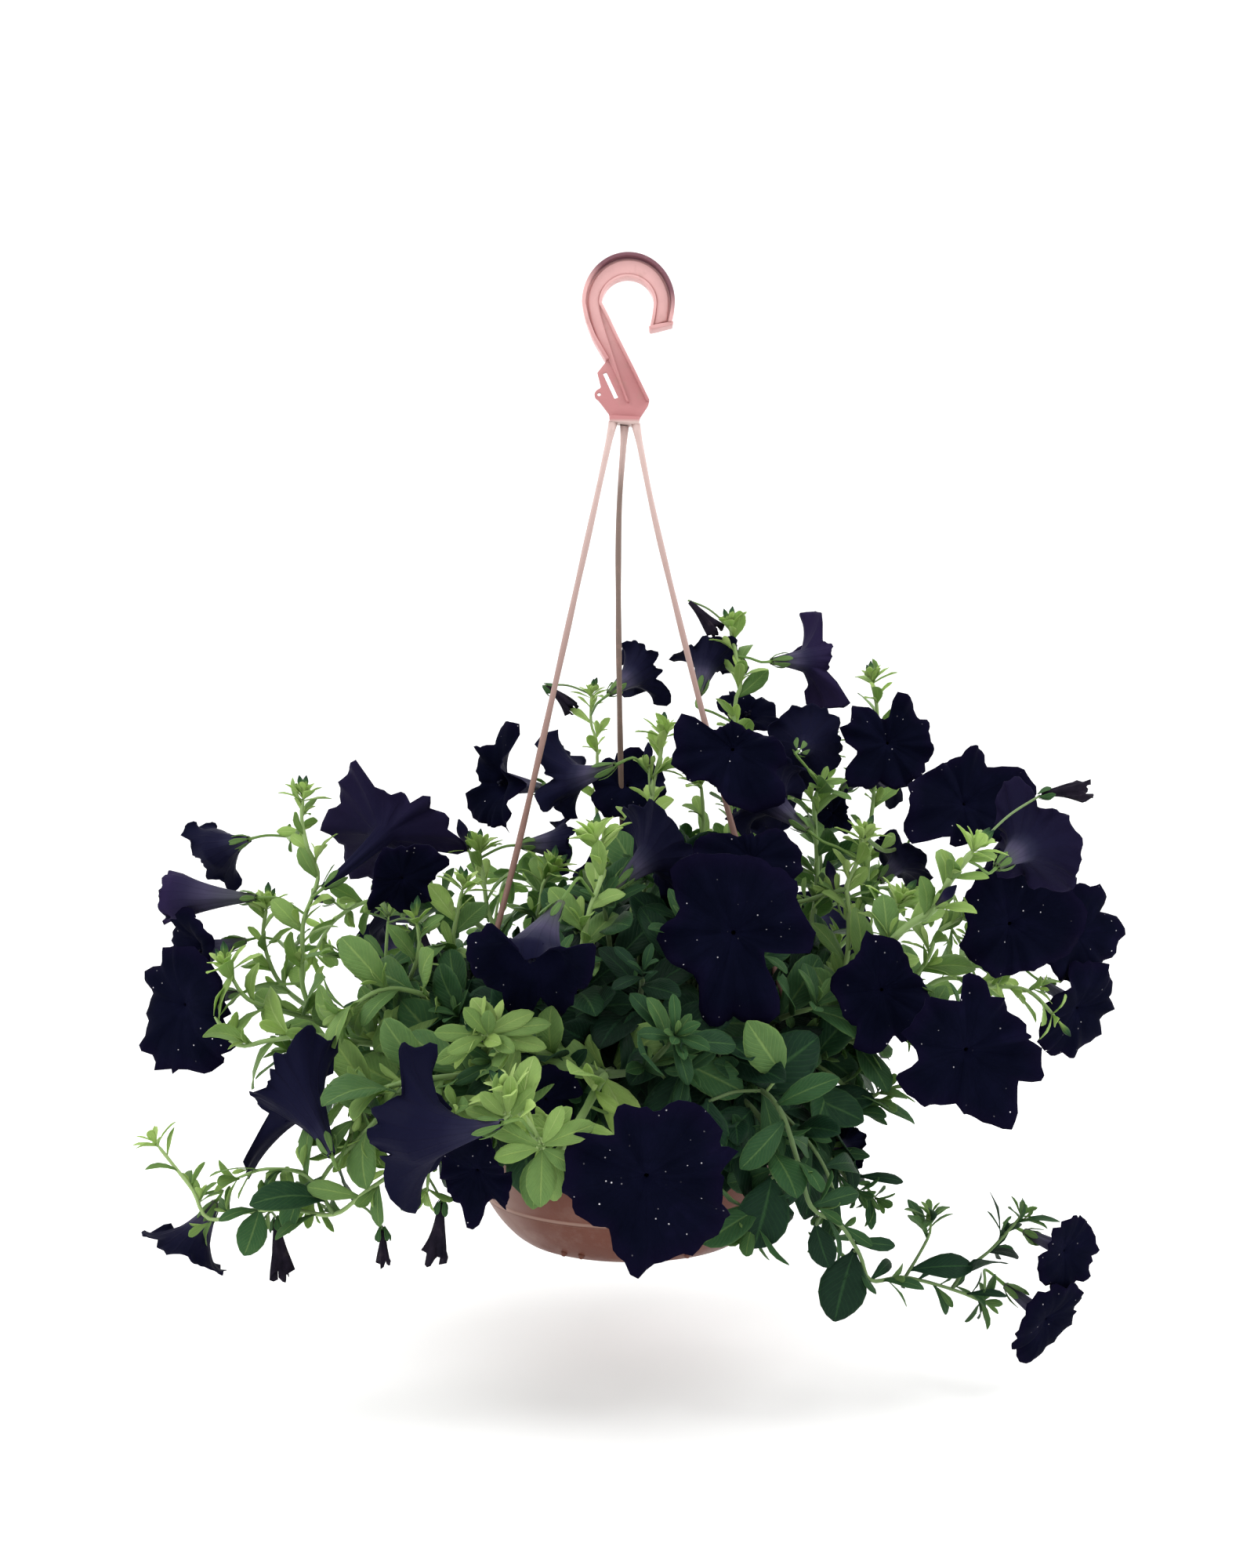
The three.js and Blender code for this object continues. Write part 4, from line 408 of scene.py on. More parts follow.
def leaf(b, base, along, up, length, width, bend, fold, tone, r, form=0.5, twist=0.0, small=False, thick=0.55, mat=0):
    """One blade: a curved, folded, slightly wavy sheet with thickness.
    bend is the whole turn from base to tip in radians, away from up."""
    S = SMALL_S if small else LEAF_S
    shape = (1 - form) * np.interp(S, LEAF_S, SPATULATE) + form * np.interp(S, LEAF_S, OVATE)
    nu = 5 if small else 7
    x = np.linspace(-1, 1, nu)
    d, upv = unit(along), np.asarray(up, float)
    side = unit(np.cross(d, upv))
    top = np.cross(side, d)
    # centre line: turns from d towards -top
    fine = np.linspace(0, 1, 25)
    ang = bend * fine**1.15 - 0.18 * bend
    wob = r.uniform(-0.25, 0.25) * fine
    dirs = (
        d[None] * np.cos(ang)[:, None]
        - top[None] * np.sin(ang)[:, None]
        + side[None] * wob[:, None]
    )
    dirs /= np.linalg.norm(dirs, axis=1)[:, None]
    pos = np.vstack([[0, 0, 0], np.cumsum((dirs[1:] + dirs[:-1]) * 0.5 * length / 24, 0)])
    C = np.stack([np.interp(S, fine, pos[:, k]) for k in range(3)], 1) + np.asarray(base, float)
    T = np.stack([np.interp(S, fine, dirs[:, k]) for k in range(3)], 1)
    T /= np.linalg.norm(T, axis=1)[:, None]
    A = np.cross(T, np.cross(side, T))
    A /= np.linalg.norm(A, axis=1)[:, None]
    N = np.cross(A, T)
    tw = twist * S
    A2 = A * np.cos(tw)[:, None] + N * np.sin(tw)[:, None]
    N2 = -A * np.sin(tw)[:, None] + N * np.cos(tw)[:, None]
    w = shape * width * 0.5
    ph = r.uniform(0, 6.28, 2)
    wave = (
        0.05 * width * np.sin(S * 9 + ph[0])[:, None] * (x[None] > 0)
        + 0.05 * width * np.sin(S * 8 + ph[1])[:, None] * (x[None] < 0)
    ) * np.abs(x[None]) ** 2
    cf = np.cos(fold) * (1 - 0.12 * np.abs(x)[None] * fold)
    lift = np.abs(x)[None] * np.sin(fold) * (1 - 0.35 * np.abs(x)[None])
    P = (
        C[:, None]
        + A2[:, None] * (x[None] * w[:, None] * cf)[..., None]
        + N2[:, None] * (w[:, None] * lift + wave * shape[:, None])[..., None]
    )
    t = thick * (1 - 0.55 * np.abs(x)[None] ** 2) * (0.55 + 0.45 * shape[:, None])
    sheet_solid(b, P, t, False, tone, (mat, mat))


# ------------------------------------------------------------------ flowers
def smooth(a, b, x):
    t = np.clip((np.asarray(x, float) - a) / (b - a), 0, 1)
    return t * t * (3 - 2 * t)


def bloom_basis(facing, roll):
    d = unit(facing)
    ref = np.array([0, 0, 1.0]) if abs(d[2]) < 0.9 else np.array([1.0, 0, 0])
    e1 = unit(np.cross(ref, d))
    e2 = np.cross(d, e1)
    c, s = math.cos(roll), math.sin(roll)
    return e1 * c + e2 * s, -e1 * s + e2 * c, d


def noise_ring(theta, r, low, high, fall=1.0):
    """A sum of waves round a circle, seeded."""
    out = np.zeros_like(theta)
    for k in range(low, high + 1):
        out += np.cos(k * theta + r.uniform(0, 6.283)) * r.normal() / (k / low) ** fall
    return out / math.sqrt(high - low + 1)


def ring_table(values, theta):
    """Values given at equal steps round a circle, blended smoothly between them."""
    v = np.asarray(values, float)
    n = len(v)
    x = theta / (2 * math.pi) * n
    i = np.floor(x).astype(int)
    f = x - i
    p0, p1, p2, p3 = v[(i - 1) % n], v[i % n], v[(i + 1) % n], v[(i + 2) % n]
    cub = 0.5 * (2 * p1 + (p2 - p0) * f + (2 * p0 - 5 * p1 + 4 * p2 - p3) * f**2 + (3 * p1 - p0 - 3 * p2 + p3) * f**3)
    return 0.5 * cub + 0.5 * (p1 * (1 - f) + p2 * f)


def corolla(b, name, face, dia, facing, length, flare, opts):
    """The joined petals: a tube that opens into five ruffled lobes. Returns the tube's base."""
    r = rng_of("bloom", name)
    outlined = name in OUTLINE
    roll = opts.get("roll", r.uniform(0, 6.283))
    if outlined or "bumps" in opts:
        roll = 0.0
    e1, e2, d = bloom_basis(facing, roll)
    R = dia * 0.5
    nu = 72 if outlined else 54
    th = np.arange(nu) / nu * 2 * math.pi
    lobe = th * 5 / (2 * math.pi)
    u = lobe - np.floor(lobe)
    k = np.floor(lobe).astype(int) % 5
    # lobe outline: round shoulders, a cleft between lobes, a small point in the middle
    lobe_r = 1 + r.uniform(-0.10, 0.07, 5)
    if "lobes" in opts:
        lobe_r = np.asarray(opts["lobes"], float)
    cleft = opts.get("cleft", 1.0) * r.uniform(0.06, 0.24, 5)
    # neighbouring lobes share the cleft between them
    fr = np.where(u < 0.5, cleft[k], cleft[(k + 1) % 5])
    w = np.abs(u - 0.5) * 2
    blend = smooth(0.62, 1.0, w)
    nb = np.where(u < 0.5, lobe_r[(k - 1) % 5], lobe_r[(k + 1) % 5])
    rad = lobe_r[k] * (1 - 0.5 * blend) + nb * 0.5 * blend
    edge = rad * (1 - fr * w**7) * (1 - 0.03 * np.cos(2 * math.pi * (u - 0.5)) ** 2)
    edge += 0.040 * np.exp(-(((u - 0.5) / 0.05) ** 2)) * r.choice([1, 1, -0.8], 5)[k]
    edge += 0.045 * noise_ring(th, r, 3, 9, 0.2) + 0.036 * noise_ring(th, r, 10, 25, 0.2)
    for at, wide, amount in opts.get("bumps", ()):
        gap = (np.degrees(th) - at + 180) % 360 - 180
        edge += amount * np.exp(-((gap / wide) ** 2))
    if outlined:
        edge = ring_table(OUTLINE[name], th) * 1.01 + 0.016 * noise_ring(th, r, 14, 32, 0.1)
    # along: tube, throat, limb
    s = np.concatenate(
        [
            np.linspace(0, 1, 6)[:-1] * 0.40,
            0.40 + np.linspace(0, 1, 4)[:-1] * 0.14,
            0.54 + np.linspace(0, 1, 10) ** 0.92 * 0.46,
        ]
    )
    nv = len(s)
    # a bloom seen from its side shows the wide funnel that its tube opens into
    sideways = abs(float(d[1])) < 0.72 or float(d[1]) > 0
    mouth = opts.get("mouth", 0.27 if sideways else 0.0)
    rt = max(0.12 * R + 1.8, mouth * R)
    tube_t = np.clip(s / 0.54, 0, 1)
    limb_t = np.clip((s - 0.54) / 0.46, 0, 1)
    flow = 2.0 if mouth > 0 else 3.2
    r_tube = 2.1 + (rt - 2.1) * (0.30 * tube_t + 0.70 * tube_t**flow)
    if mouth == 0.0:
        # the folds of the throat nearly close it where it meets the limb
        r_tube = r_tube * (1 - 0.80 * smooth(0.70, 1.0, tube_t))
    S, T = np.meshgrid(s, th, indexing="ij")
    L = limb_t[:, None] * np.ones_like(T)
    opening = opts.get("open", flare)
    reach = edge[None] * R * (0.40 + 0.60 * min(opening, 1.0)) if opening < 1 else edge[None] * R
    rho = r_tube[:, None] + (reach - r_tube[-1]) * (L**0.9)
    depth = 0.20 * R + (1 - min(opening, 1.0)) * 0.9 * R
    if sideways:
        depth = max(depth, 0.34 * R)
    depth = opts.get("deep", depth / R) * R
    throat_z = -depth
    z_tube = -length + (length + throat_z) * np.clip(s / 0.54, 0, 1)
    z = z_tube[:, None] + (0 - throat_z) * (1 - (1 - L) ** 2.1)
    # backwards roll, lobe by lobe
    roll_back = r.uniform(-0.06, 0.30, 5) + opts.get("back", 0.0)
    if outlined:
        roll_back = r.uniform(-0.05, 0.10, 5)
    if "tilt" in opts:
        roll_back = np.asarray(opts["tilt"], float)
    rb_n = np.where(u < 0.5, roll_back[(k - 1) % 5], roll_back[(k + 1) % 5])
    rb = roll_back[k] * (1 - 0.5 * blend) + rb_n * 0.5 * blend
    z = z - R * rb[None] * L**2.2
    rho = rho * (1 - 0.28 * np.abs(rb[None]) * L**2.4)
    # ruffles that grow to the edge, a groove down the middle of each lobe, a pleat at each cleft
    ruff = noise_ring(th, r, 4, 9, 0.2) * 0.115 + noise_ring(th, r, 10, 22, 0.2) * 0.050
    z += R * opts.get("ruffle", 1.0) * ruff[None] * L**1.7
    z -= 0.025 * R * np.exp(-(((u - 0.5) / 0.07) ** 2))[None] * np.sin(math.pi * np.clip(L, 0, 1) ** 0.7)
    z -= 0.055 * R * (w**6)[None] * np.sin(math.pi * 0.5 * L) * np.clip(L * 3, 0, 1)
    # veins' faint ribs over the limb
    z += 0.003 * R * np.cos(25 * th)[None] * np.sin(math.pi * L)
    rho += 0.5 * (np.cos(5 * th) + 0.4)[None] * np.sin(math.pi * np.clip(S / 0.54, 0, 1)) * (S < 0.54)
    sway = r.uniform(-0.08, 0.08, 2) * length
    if "base" in opts:
        off = np.asarray(opts["base"], float) - (np.asarray(face, float) - d * length)
        sway = np.array([np.dot(off, e1), np.dot(off, e2)])
    bend = (np.clip(-z_tube[:, None], 0, None) / length) ** 2
    P = (
        np.asarray(face, float)
        + e1 * (rho * np.cos(T) + sway[0] * bend)[..., None]
        + e2 * (rho * np.sin(T) + sway[1] * bend)[..., None]
        + d * z[..., None]
    )
    # soft petals hang a little
    if not outlined:
        P[..., 2] -= R * 0.05 * L**2
    # the tint carried in tone sets how much painted backlight purple the back of a bloom gets
    tone = np.tile(0.35 * S.ravel() + 0.65 * opts.get("tint", 0.0), 2)
    # closed thin solid: the inside is the face of the flower
    # painted shade: a bloom's shade value moves its petal colours towards their dark end
    shade = opts.get("shade", 0.0)
    sheet_solid(b, P, 0.5 - 0.15 * limb_t, True, tone, (1, 0), vmap=shade + (1 - shade) * s)
    base = np.asarray(face, float) - d * length + e1 * sway[0] + e2 * sway[1]
    axis = unit(d * length - (e1 * sway[0] + e2 * sway[1]) * 2)
    return base, axis, e1, e2, d, rt, throat_z


def calyx(b, base, axis, r, size, tone, mat):
    """Five narrow sepals round the tube's base."""
    e1, e2, _ = bloom_basis(axis, r.uniform(0, 6.28))
    for i in range(5):
        a = i * 2 * math.pi / 5 + r.uniform(-0.15, 0.15)
        o = e1 * math.cos(a) + e2 * math.sin(a)
        al = unit(axis * 0.92 + o * 0.42)
        up = unit(axis * 0.42 - o)
        leaf(
            b, base + o * 1.3 - axis * 1.0, al, -up, size * r.uniform(0.85, 1.1), 4.2, r.uniform(0.2, 0.8),
            0.25, tone, r, form=0.15, small=True, thick=0.5, mat=mat,
        )


def stalk(b, start, end, axis, tone, mat, radius=0.85):
    start, end = np.asarray(start, float), np.asarray(end, float)
    dist = np.linalg.norm(end - start)
    back = end - axis * min(0.35 * dist, 16)
    mid = start * 0.42 + back * 0.58 + np.array([0, 0, 0.03 * dist])
    line = catmull([start, mid, back, end], 3.0)
    n = len(line)
    rr = radius * (1 + 0.35 * smooth(0.82, 1.0, np.linspace(0, 1, n)))
    tube(b, line, rr, tone, mat, 8)
    return line


def pistil(b, face, d, throat_z, R, r, mat):
    """Five dark anthers below the folds of the throat."""
    face = np.asarray(face, float)
    e1, e2, _ = bloom_basis(d, r.uniform(0, 6.28))
    # a wide funnel is bent further down, so there they stand nearer its mouth
    low, high = (-4.0, 1.0) if abs(float(d[1])) < 0.72 or float(d[1]) > 0 else (-18.0, -8.0)
    for i in range(5):
        a = i * 2 * math.pi / 5
        o = e1 * math.cos(a) + e2 * math.sin(a)
        p0 = face + d * (throat_z + low) + o * 0.5
        p1 = face + d * (throat_z + high + 1.2 * (i % 3)) + o * 1.5
        line = catmull([p0, (p0 + p1) / 2, p1 - d * 0.8, p1 + d * 0.9], 2.0)
        rr = np.full(len(line), 0.35)
        rr[-3:] = [1.0, 1.15, 0.7]
        tube(b, line, rr, 1.0, mat, 6)


# another place or direction for a bloom's soft petals, the form of its lobes, and its painted shade and backlight
# purple tint
FLOWER_OPTS = {
    "F01": {"face": (-269.8, 40, -360), "facing": (-0.75, 0.55, -0.37), "dia": 60, "base": (-231, 20, -345), "mouth": 0.44, "deep": 0.40, "shade": 0.30},
    "F02": {"face": (-287.8, 8, -384.7), "facing": (-0.97, 0.15, 0.02), "dia": 44, "length": 58, "tint": 1.0, "mouth": 0.66, "deep": 0.42, "bumps": [(90, 26, 0.26), (262, 22, 0.16)]},
    "F04a": {"face": (-146.4, 10, -341.4), "facing": (0.30, 0.86, 0.42), "base": (-182, -34, -378), "mouth": 0.15, "deep": 0.24, "shade": 0.52, "tint": 0.42},
    "F05": {"face": (-89.2, 55, -313.3), "facing": (-0.80, -0.59, 0.05), "mouth": 0.20, "deep": 0.26},
    "F06": {"face": (-41.1, -8, -311.9), "facing": (-0.80, 0.58, 0.0), "base": (-9, -20, -303), "mouth": 0.30, "deep": 0.42},
    "F07": {"face": (-37.6, 26, -353), "facing": (0.90, 0.40, -0.05), "dia": 36, "mouth": 0.52, "deep": 0.45, "bumps": [(85, 24, 0.22), (270, 26, 0.15)]},
    "F09": {"face": (12.2, 90, -235.4), "facing": (0.60, 0.62, 0.50), "mouth": 0.26, "deep": 0.38},
    "F10": {"face": (57.2, 84, -226.3), "facing": (0.25, 0.58, 0.78), "mouth": 0.26, "deep": 0.38},
    "F11": {"face": (132.9, 92, -230.5), "facing": (0.80, 0.58, 0.0), "mouth": 0.24, "deep": 0.38, "tint": 0.75},
    "F14": {"shade": 0.5},
    "F18": {"dia": 78, "face": (237.2, -66, -346.2), "facing": (0.62, 0.70, 0.35), "mouth": 0.24, "deep": 0.34, "tint": 0.32},
    "F19": {"dia": 80},
    "F19b": {"face": (290, 14, -409), "facing": (0.45, -0.88, 0.10)},
    "F20": {"facing": (0.45, -0.80, -0.40)},
    "F24": {"face": (-49, -176, -411.5), "facing": (-0.15, -0.60, -0.78), "dia": 72, "length": 44, "base": (-32.5, -150, -373), "ruffle": 0.5, "mouth": 0.46, "deep": 0.30},
    "F26": {"face": (-181.3, -122, -478.7), "facing": (-0.60, 0.66, 0.45), "mouth": 0.26, "deep": 0.36, "shade": 0.40},
    "F28": {"face": (-110, -202, -484.6), "facing": (-0.78, 0.62, 0.08), "base": (-64, -218, -477), "mouth": 0.36, "deep": 0.42, "shade": 0.34},
    "F29": {"dia": 62, "face": (-77.1, -166, -518)},
    "F31a": {"facing": (0.60, -0.78, -0.15)},
    "F31b": {"facing": (0.55, -0.75, -0.38)},
    "F32": {"mouth": 0.36, "deep": 0.45},
    "F38": {"open": 0.75},
}


def flower(row, mats):
    name, node, face, dia, facing, length, flare, start = row
    r = rng_of("bloom-extra", name)
    b = Build()
    opts = dict(FLOWER_OPTS.get(name, {}))
    face, facing = opts.get("face", face), opts.get("facing", facing)
    dia, length = opts.get("dia", dia), opts.get("length", length)
    base, axis, e1, e2, d, rt, tz = corolla(b, name, face, dia, facing, length, flare, opts)
    calyx(b, base, axis, r, 15 if dia > 50 else 12, 0.55, 2)
    pistil(b, face, d, tz, dia / 2, r, 3)
    stalk(b, start, base, axis, 0.62, 2)
    label = "bloom_" + name[1:].lower() + ("_back" if name[0] == "G" else "")
    nodes = []
    if not node:
        nodes = ["flower_" + name[1:].lower() + ("_back" if name[0] == "G" else "")]
    return b.make(label, mats, "petals", nodes)


def bud(b, at, axis, size, tone, r, mats):
    """A closed bud: a dark furled spindle in a green calyx."""
    axis = unit(axis)
    n = 9
    s = np.linspace(0, 1, n)
    line = np.asarray(at, float) + axis[None] * (s * size)[:, None]
    rr = size * (0.06 + 0.13 * np.sin(math.pi * np.clip(s, 0, 1) ** 1.5) ** 1.2) * (1 - 0.55 * s**6)
    tube(b, line, rr, 1 - s * 0.9, mats[1], 10)
    calyx(b, np.asarray(at, float), axis, r, size * 0.62, tone, mats[0])


def withered(b, at, axis, size, r, mat):
    """A spent corolla, shrunk to a crumpled dark rag."""
    nu, nv = 22, 9
    e1, e2, d = bloom_basis(axis, r.uniform(0, 6.28))
    th = np.arange(nu) / nu * 2 * math.pi
    s = np.linspace(0, 1, nv)
    T, S = np.meshgrid(th, s)
    rad = size * (0.05 + 0.10 * S**0.8 + 0.05 * S**3)
    rad = rad * (1 + 0.42 * np.sin(5 * T + 3 * S + r.uniform(0, 6)) * S + 0.2 * np.sin(9 * T + r.uniform(0, 6)) * S)
    z = size * (S + 0.12 * np.sin(3 * T + r.uniform(0, 6)) * S**2)
    P = (
        np.asarray(at, float)
        + e1 * (rad * np.cos(T))[..., None]
        + e2 * (rad * np.sin(T))[..., None]
        + d * z[..., None]
    )
    P[..., 2] -= size * 0.15 * S**2
    sheet_solid(b, P, 0.45, True, 0.2, (mat, mat))


# ------------------------------------------------------------------ shoots
UPV = np.array([0, 0, 1.0])
STEM_AT = {}


def core_shade(p):
    """0 deep inside the plant, 1 out in the light; it scales the painted shade in leaf colour."""
    q = np.asarray(p, float) - np.array([POT_X, 0, -455.0])
    h = math.hypot(q[0], q[1] * 1.0)
    high = q[2]
    e = smooth(70, 170, math.hypot(h, max(high, 0) * 1.5))
    low = smooth(-110, -20, high)
    return float(e * (0.35 + 0.65 * low))


def rosette(b, at, axis, n, size, tone, r, mat, open_=1.1, form=0.2, young=True):
    e1, e2, d = bloom_basis(axis, r.uniform(0, 6.28))
    for i in range(n):
        a = i * 2.399 + r.uniform(-0.12, 0.12)
        q = i / max(n - 1, 1)
        o = e1 * math.cos(a) + e2 * math.sin(a)
        spread = open_ * (1 - 0.62 * q) + r.uniform(-0.08, 0.08)
        al = unit(o * math.sin(spread) + d * math.cos(spread))
        up = unit(d * math.sin(spread) - o * math.cos(spread))
        ln = size * (1 - 0.5 * q) * r.uniform(0.88, 1.1)
        leaf(
            b, np.asarray(at, float) + d * q * size * 0.18, al, up, ln, ln * r.uniform(0.34, 0.44), r.uniform(0.25, 0.7),
            0.32, min(1, tone + 0.16 * q), r, form=form, small=ln < 30, thick=0.6, mat=mat,
        )


def shoot_leaves(b, line, r, scale, tone, tip, name, mats, start_u=0.1, gap=13.0, axil=1.0, big=41.0):
    """Leaves up a stem: broad and spreading below, narrower and rising above."""
    seg = np.linalg.norm(np.diff(line, axis=0), axis=1)
    cum = np.concatenate([[0], np.cumsum(seg)])
    total = cum[-1]
    t_all, n_all, m_all = frames_along(line)
    pos = start_u * total + r.uniform(0, 5)
    i = 0
    phase = r.uniform(0, 6.28)
    while pos < total - 6:
        u = pos / total
        j = min(int(np.searchsorted(cum, pos)), len(line) - 1)
        at, t = line[j], t_all[j]
        a = phase + i * 2.399 + r.uniform(-0.25, 0.25)
        o = n_all[j] * math.cos(a) + m_all[j] * math.sin(a)
        rise = 0.45 + 0.55 * u
        al = unit(o * 1.0 + t * rise + UPV * 0.22)
        # blades turn their faces up and out of the plant, to the light
        out = unit(np.array([(at[0] - POT_X) * 0.45, at[1] - 40.0, 0.0]))
        up = unit(np.cross(np.cross(al, UPV * 0.75 + t * 0.35 + out * 0.85 + r.normal(0, 0.22, 3)), al))
        narrow = tip == "narrow"
        ln = scale * (big - 17 * u) * r.uniform(0.80, 1.18) * (1.22 if narrow else 1.0)
        wd = ln * (0.60 - 0.14 * u - (0.16 if narrow else 0)) * r.uniform(0.92, 1.08)
        # painted shade: a leaf's green is darkened the deeper it sits in the plant
        cs = core_shade(at + al * ln * 0.6)
        tn = np.clip(tone * (0.30 + 0.75 * cs) + 0.20 * (u - 0.5) + r.normal(0, 0.075), 0.02, 0.98)
        if at[2] + al[2] * ln > -575 or name[0] in "R":
            leaf(
                b, at, al, up, ln, wd, r.uniform(0.35, 1.15), r.uniform(0.12, 0.38), float(tn), r,
                form=0.35 + 0.4 * (1 - u) - (0.25 if narrow else 0), twist=r.uniform(-0.35, 0.35), mat=mats[0],
                small=ln < 33,
            )
            # a little axillary cluster
            if r.random() < axil * (0.18 + 0.45 * u):
                ax = unit(o * 0.6 + t + UPV * 0.2)
                rosette(
                    b, at + ax * 2.5, ax, int(r.integers(3, 5)), scale * r.uniform(17, 25) * (1.1 - 0.3 * u),
                    min(0.98, float(tn) + 0.10), r, mats[0], open_=0.95,
                )
        pos += gap * (1.15 - 0.35 * u) * r.uniform(0.8, 1.2)
        i += 1


def tip_cluster(b, line, r, scale, tone, tip, mats, name):
    t, _, _ = frames_along(line)
    at, d = line[-1], unit(t[-1] + UPV * 0.25)
    if tip == "rosette":
        rosette(b, at, unit(d * 0.5 + np.array([0.1, -0.8, 0.3])), 9, 26 * scale, tone, r, mats[0], open_=1.45, form=0.0)
        rosette(b, at + d * 2, unit(d * 0.5 + np.array([0.1, -0.8, 0.3])), 5, 14 * scale, tone + 0.15, r, mats[0], open_=0.9, form=0.0)
        return
    size = {"lime": 21, "narrow": 18, "leafy": 24, "none": 12}[tip] * scale
    count = {"lime": 11, "narrow": 8, "leafy": 9, "none": 4}[tip]
    tt = min(0.99, tone + {"lime": 0.22, "narrow": 0.10, "leafy": 0.08, "none": 0.0}[tip])
    rosette(b, at - d * 3, d, count, size, tt, r, mats[0], open_=1.25, form=0.15)
    if tip == "lime":
        for i in range(2):
            e1, e2, _ = bloom_basis(d, r.uniform(0, 6.28))
            o = unit(d + e1 * 0.35)
            bud(b, at + o * 3.5, o, r.uniform(8, 12) * scale, tt, r, (mats[0], mats[0]))


def make_stem(b, line, r0, r1, tone, mat, narrow=False):
    n = len(line)
    s = np.linspace(0, 1, n)
    rr = r0 + (r1 - r0) * s**0.8
    rr = rr * (1 + 0.05 * np.sin(np.arange(n) * 1.7)) 
    rr[-1] *= 0.4
    rr = rr * (0.80 if narrow else 1.12)
    tn = np.clip(0.10 + tone * (0.50 + 0.65 * s), 0, 0.95)
    tube(b, line, rr, tn, mat, 8)
# ------------------------------------------------------------------ materials
def new_material(name):
    m = bpy.data.materials.new(name)
    m.use_nodes = True
    nt = m.node_tree
    nt.nodes.clear()
    out = nt.nodes.new("ShaderNodeOutputMaterial")
    bsdf = nt.nodes.new("ShaderNodeBsdfPrincipled")
    nt.links.new(bsdf.outputs[0], out.inputs[0])
    return m, nt, bsdf, out


def node(nt, kind, values=None, **props):
    n = nt.nodes.new(kind)
    for k, v in props.items():
        setattr(n, k, v)
    for k, v in (values or {}).items():
        n.inputs[k].default_value = v
    return n


def ramp(nt, fac, stops, interp="LINEAR"):
    n = nt.nodes.new("ShaderNodeValToRGB")
    n.color_ramp.interpolation = interp
    e = n.color_ramp.elements
    while len(e) < len(stops):
        e.new(0.5)
    for el, (p, c) in zip(e, stops):
        el.position = p
        el.color = (*c, 1.0) if len(c) == 3 else c
    nt.links.new(fac, n.inputs[0])
    return n.outputs[0]


def math_(nt, op, a, b=None, clamp=False):
    n = nt.nodes.new("ShaderNodeMath")
    n.operation = op
    n.use_clamp = clamp
    for i, v in enumerate((a, b)):
        if v is None:
            continue
        if isinstance(v, (int, float)):
            n.inputs[i].default_value = v
        else:
            nt.links.new(v, n.inputs[i])
    return n.outputs[0]


def mix_rgb(nt, fac, a, b, mode="MIX"):
    n = nt.nodes.new("ShaderNodeMix")
    n.data_type = "RGBA"
    n.blend_type = mode
    n.clamp_factor = True
    for sock, v in ((n.inputs[0], fac), (n.inputs[6], a), (n.inputs[7], b)):
        if isinstance(v, (int, float)):
            sock.default_value = v
        elif isinstance(v, tuple):
            sock.default_value = (*v, 1.0)
        else:
            nt.links.new(v, sock)
    return n.outputs[2]


def coords(nt):
    tc = node(nt, "ShaderNodeTexCoord")
    uv = node(nt, "ShaderNodeUVMap")
    uv.uv_map = "UVMap"
    sep = node(nt, "ShaderNodeSeparateXYZ")
    nt.links.new(uv.outputs[0], sep.inputs[0])
    at = node(nt, "ShaderNodeAttribute", attribute_name="tone", attribute_type="GEOMETRY")
    return tc.outputs["Object"], sep.outputs[0], sep.outputs[1], at.outputs["Fac"]


def noise(nt, vec, scale, detail=3.0, rough=0.55, out=0):
    n = node(nt, "ShaderNodeTexNoise", {"Scale": scale, "Detail": detail, "Roughness": rough})
    nt.links.new(vec, n.inputs["Vector"])
    return n.outputs[out]


def bump(nt, height, strength, dist, bsdf, extra=None):
    n = node(nt, "ShaderNodeBump", {"Strength": strength, "Distance": dist})
    nt.links.new(height, n.inputs["Height"])
    nt.links.new(n.outputs[0], bsdf.inputs["Normal"])
    if extra is not None:
        nt.links.new(n.outputs[0], extra.inputs["Normal"])
    return n.outputs[0]


def add_translucent(nt, bsdf, out, colour, factor):
    tr = nt.nodes.new("ShaderNodeBsdfTranslucent")
    mx = nt.nodes.new("ShaderNodeMixShader")
    mx.inputs[0].default_value = factor
    nt.links.new(bsdf.outputs[0], mx.inputs[1])
    nt.links.new(tr.outputs[0], mx.inputs[2])
    nt.links.new(mx.outputs[0], out.inputs[0])
    if isinstance(colour, tuple):
        tr.inputs[0].default_value = (*colour, 1.0)
    else:
        nt.links.new(colour, tr.inputs[0])
    return tr


def band_mask(nt, x, centre, half, soft):
    """1 within half of centre, falling to 0 over soft."""
    d = math_(nt, "ABSOLUTE", math_(nt, "SUBTRACT", x, centre))
    n = nt.nodes.new("ShaderNodeMapRange")
    n.clamp = True
    n.inputs["From Min"].default_value = half
    n.inputs["From Max"].default_value = half + soft
    n.inputs["To Min"].default_value = 1.0
    n.inputs["To Max"].default_value = 0.0
    nt.links.new(d, n.inputs["Value"])
    return n.outputs[0]


def map_range(nt, x, a, b, c, d):
    """x brought from a..b to c..d, held at both ends."""
    n = nt.nodes.new("ShaderNodeMapRange")
    n.clamp = True
    for k, val in (("From Min", a), ("From Max", b), ("To Min", c), ("To Max", d)):
        n.inputs[k].default_value = val
    nt.links.new(x, n.inputs["Value"])
    return n.outputs[0]


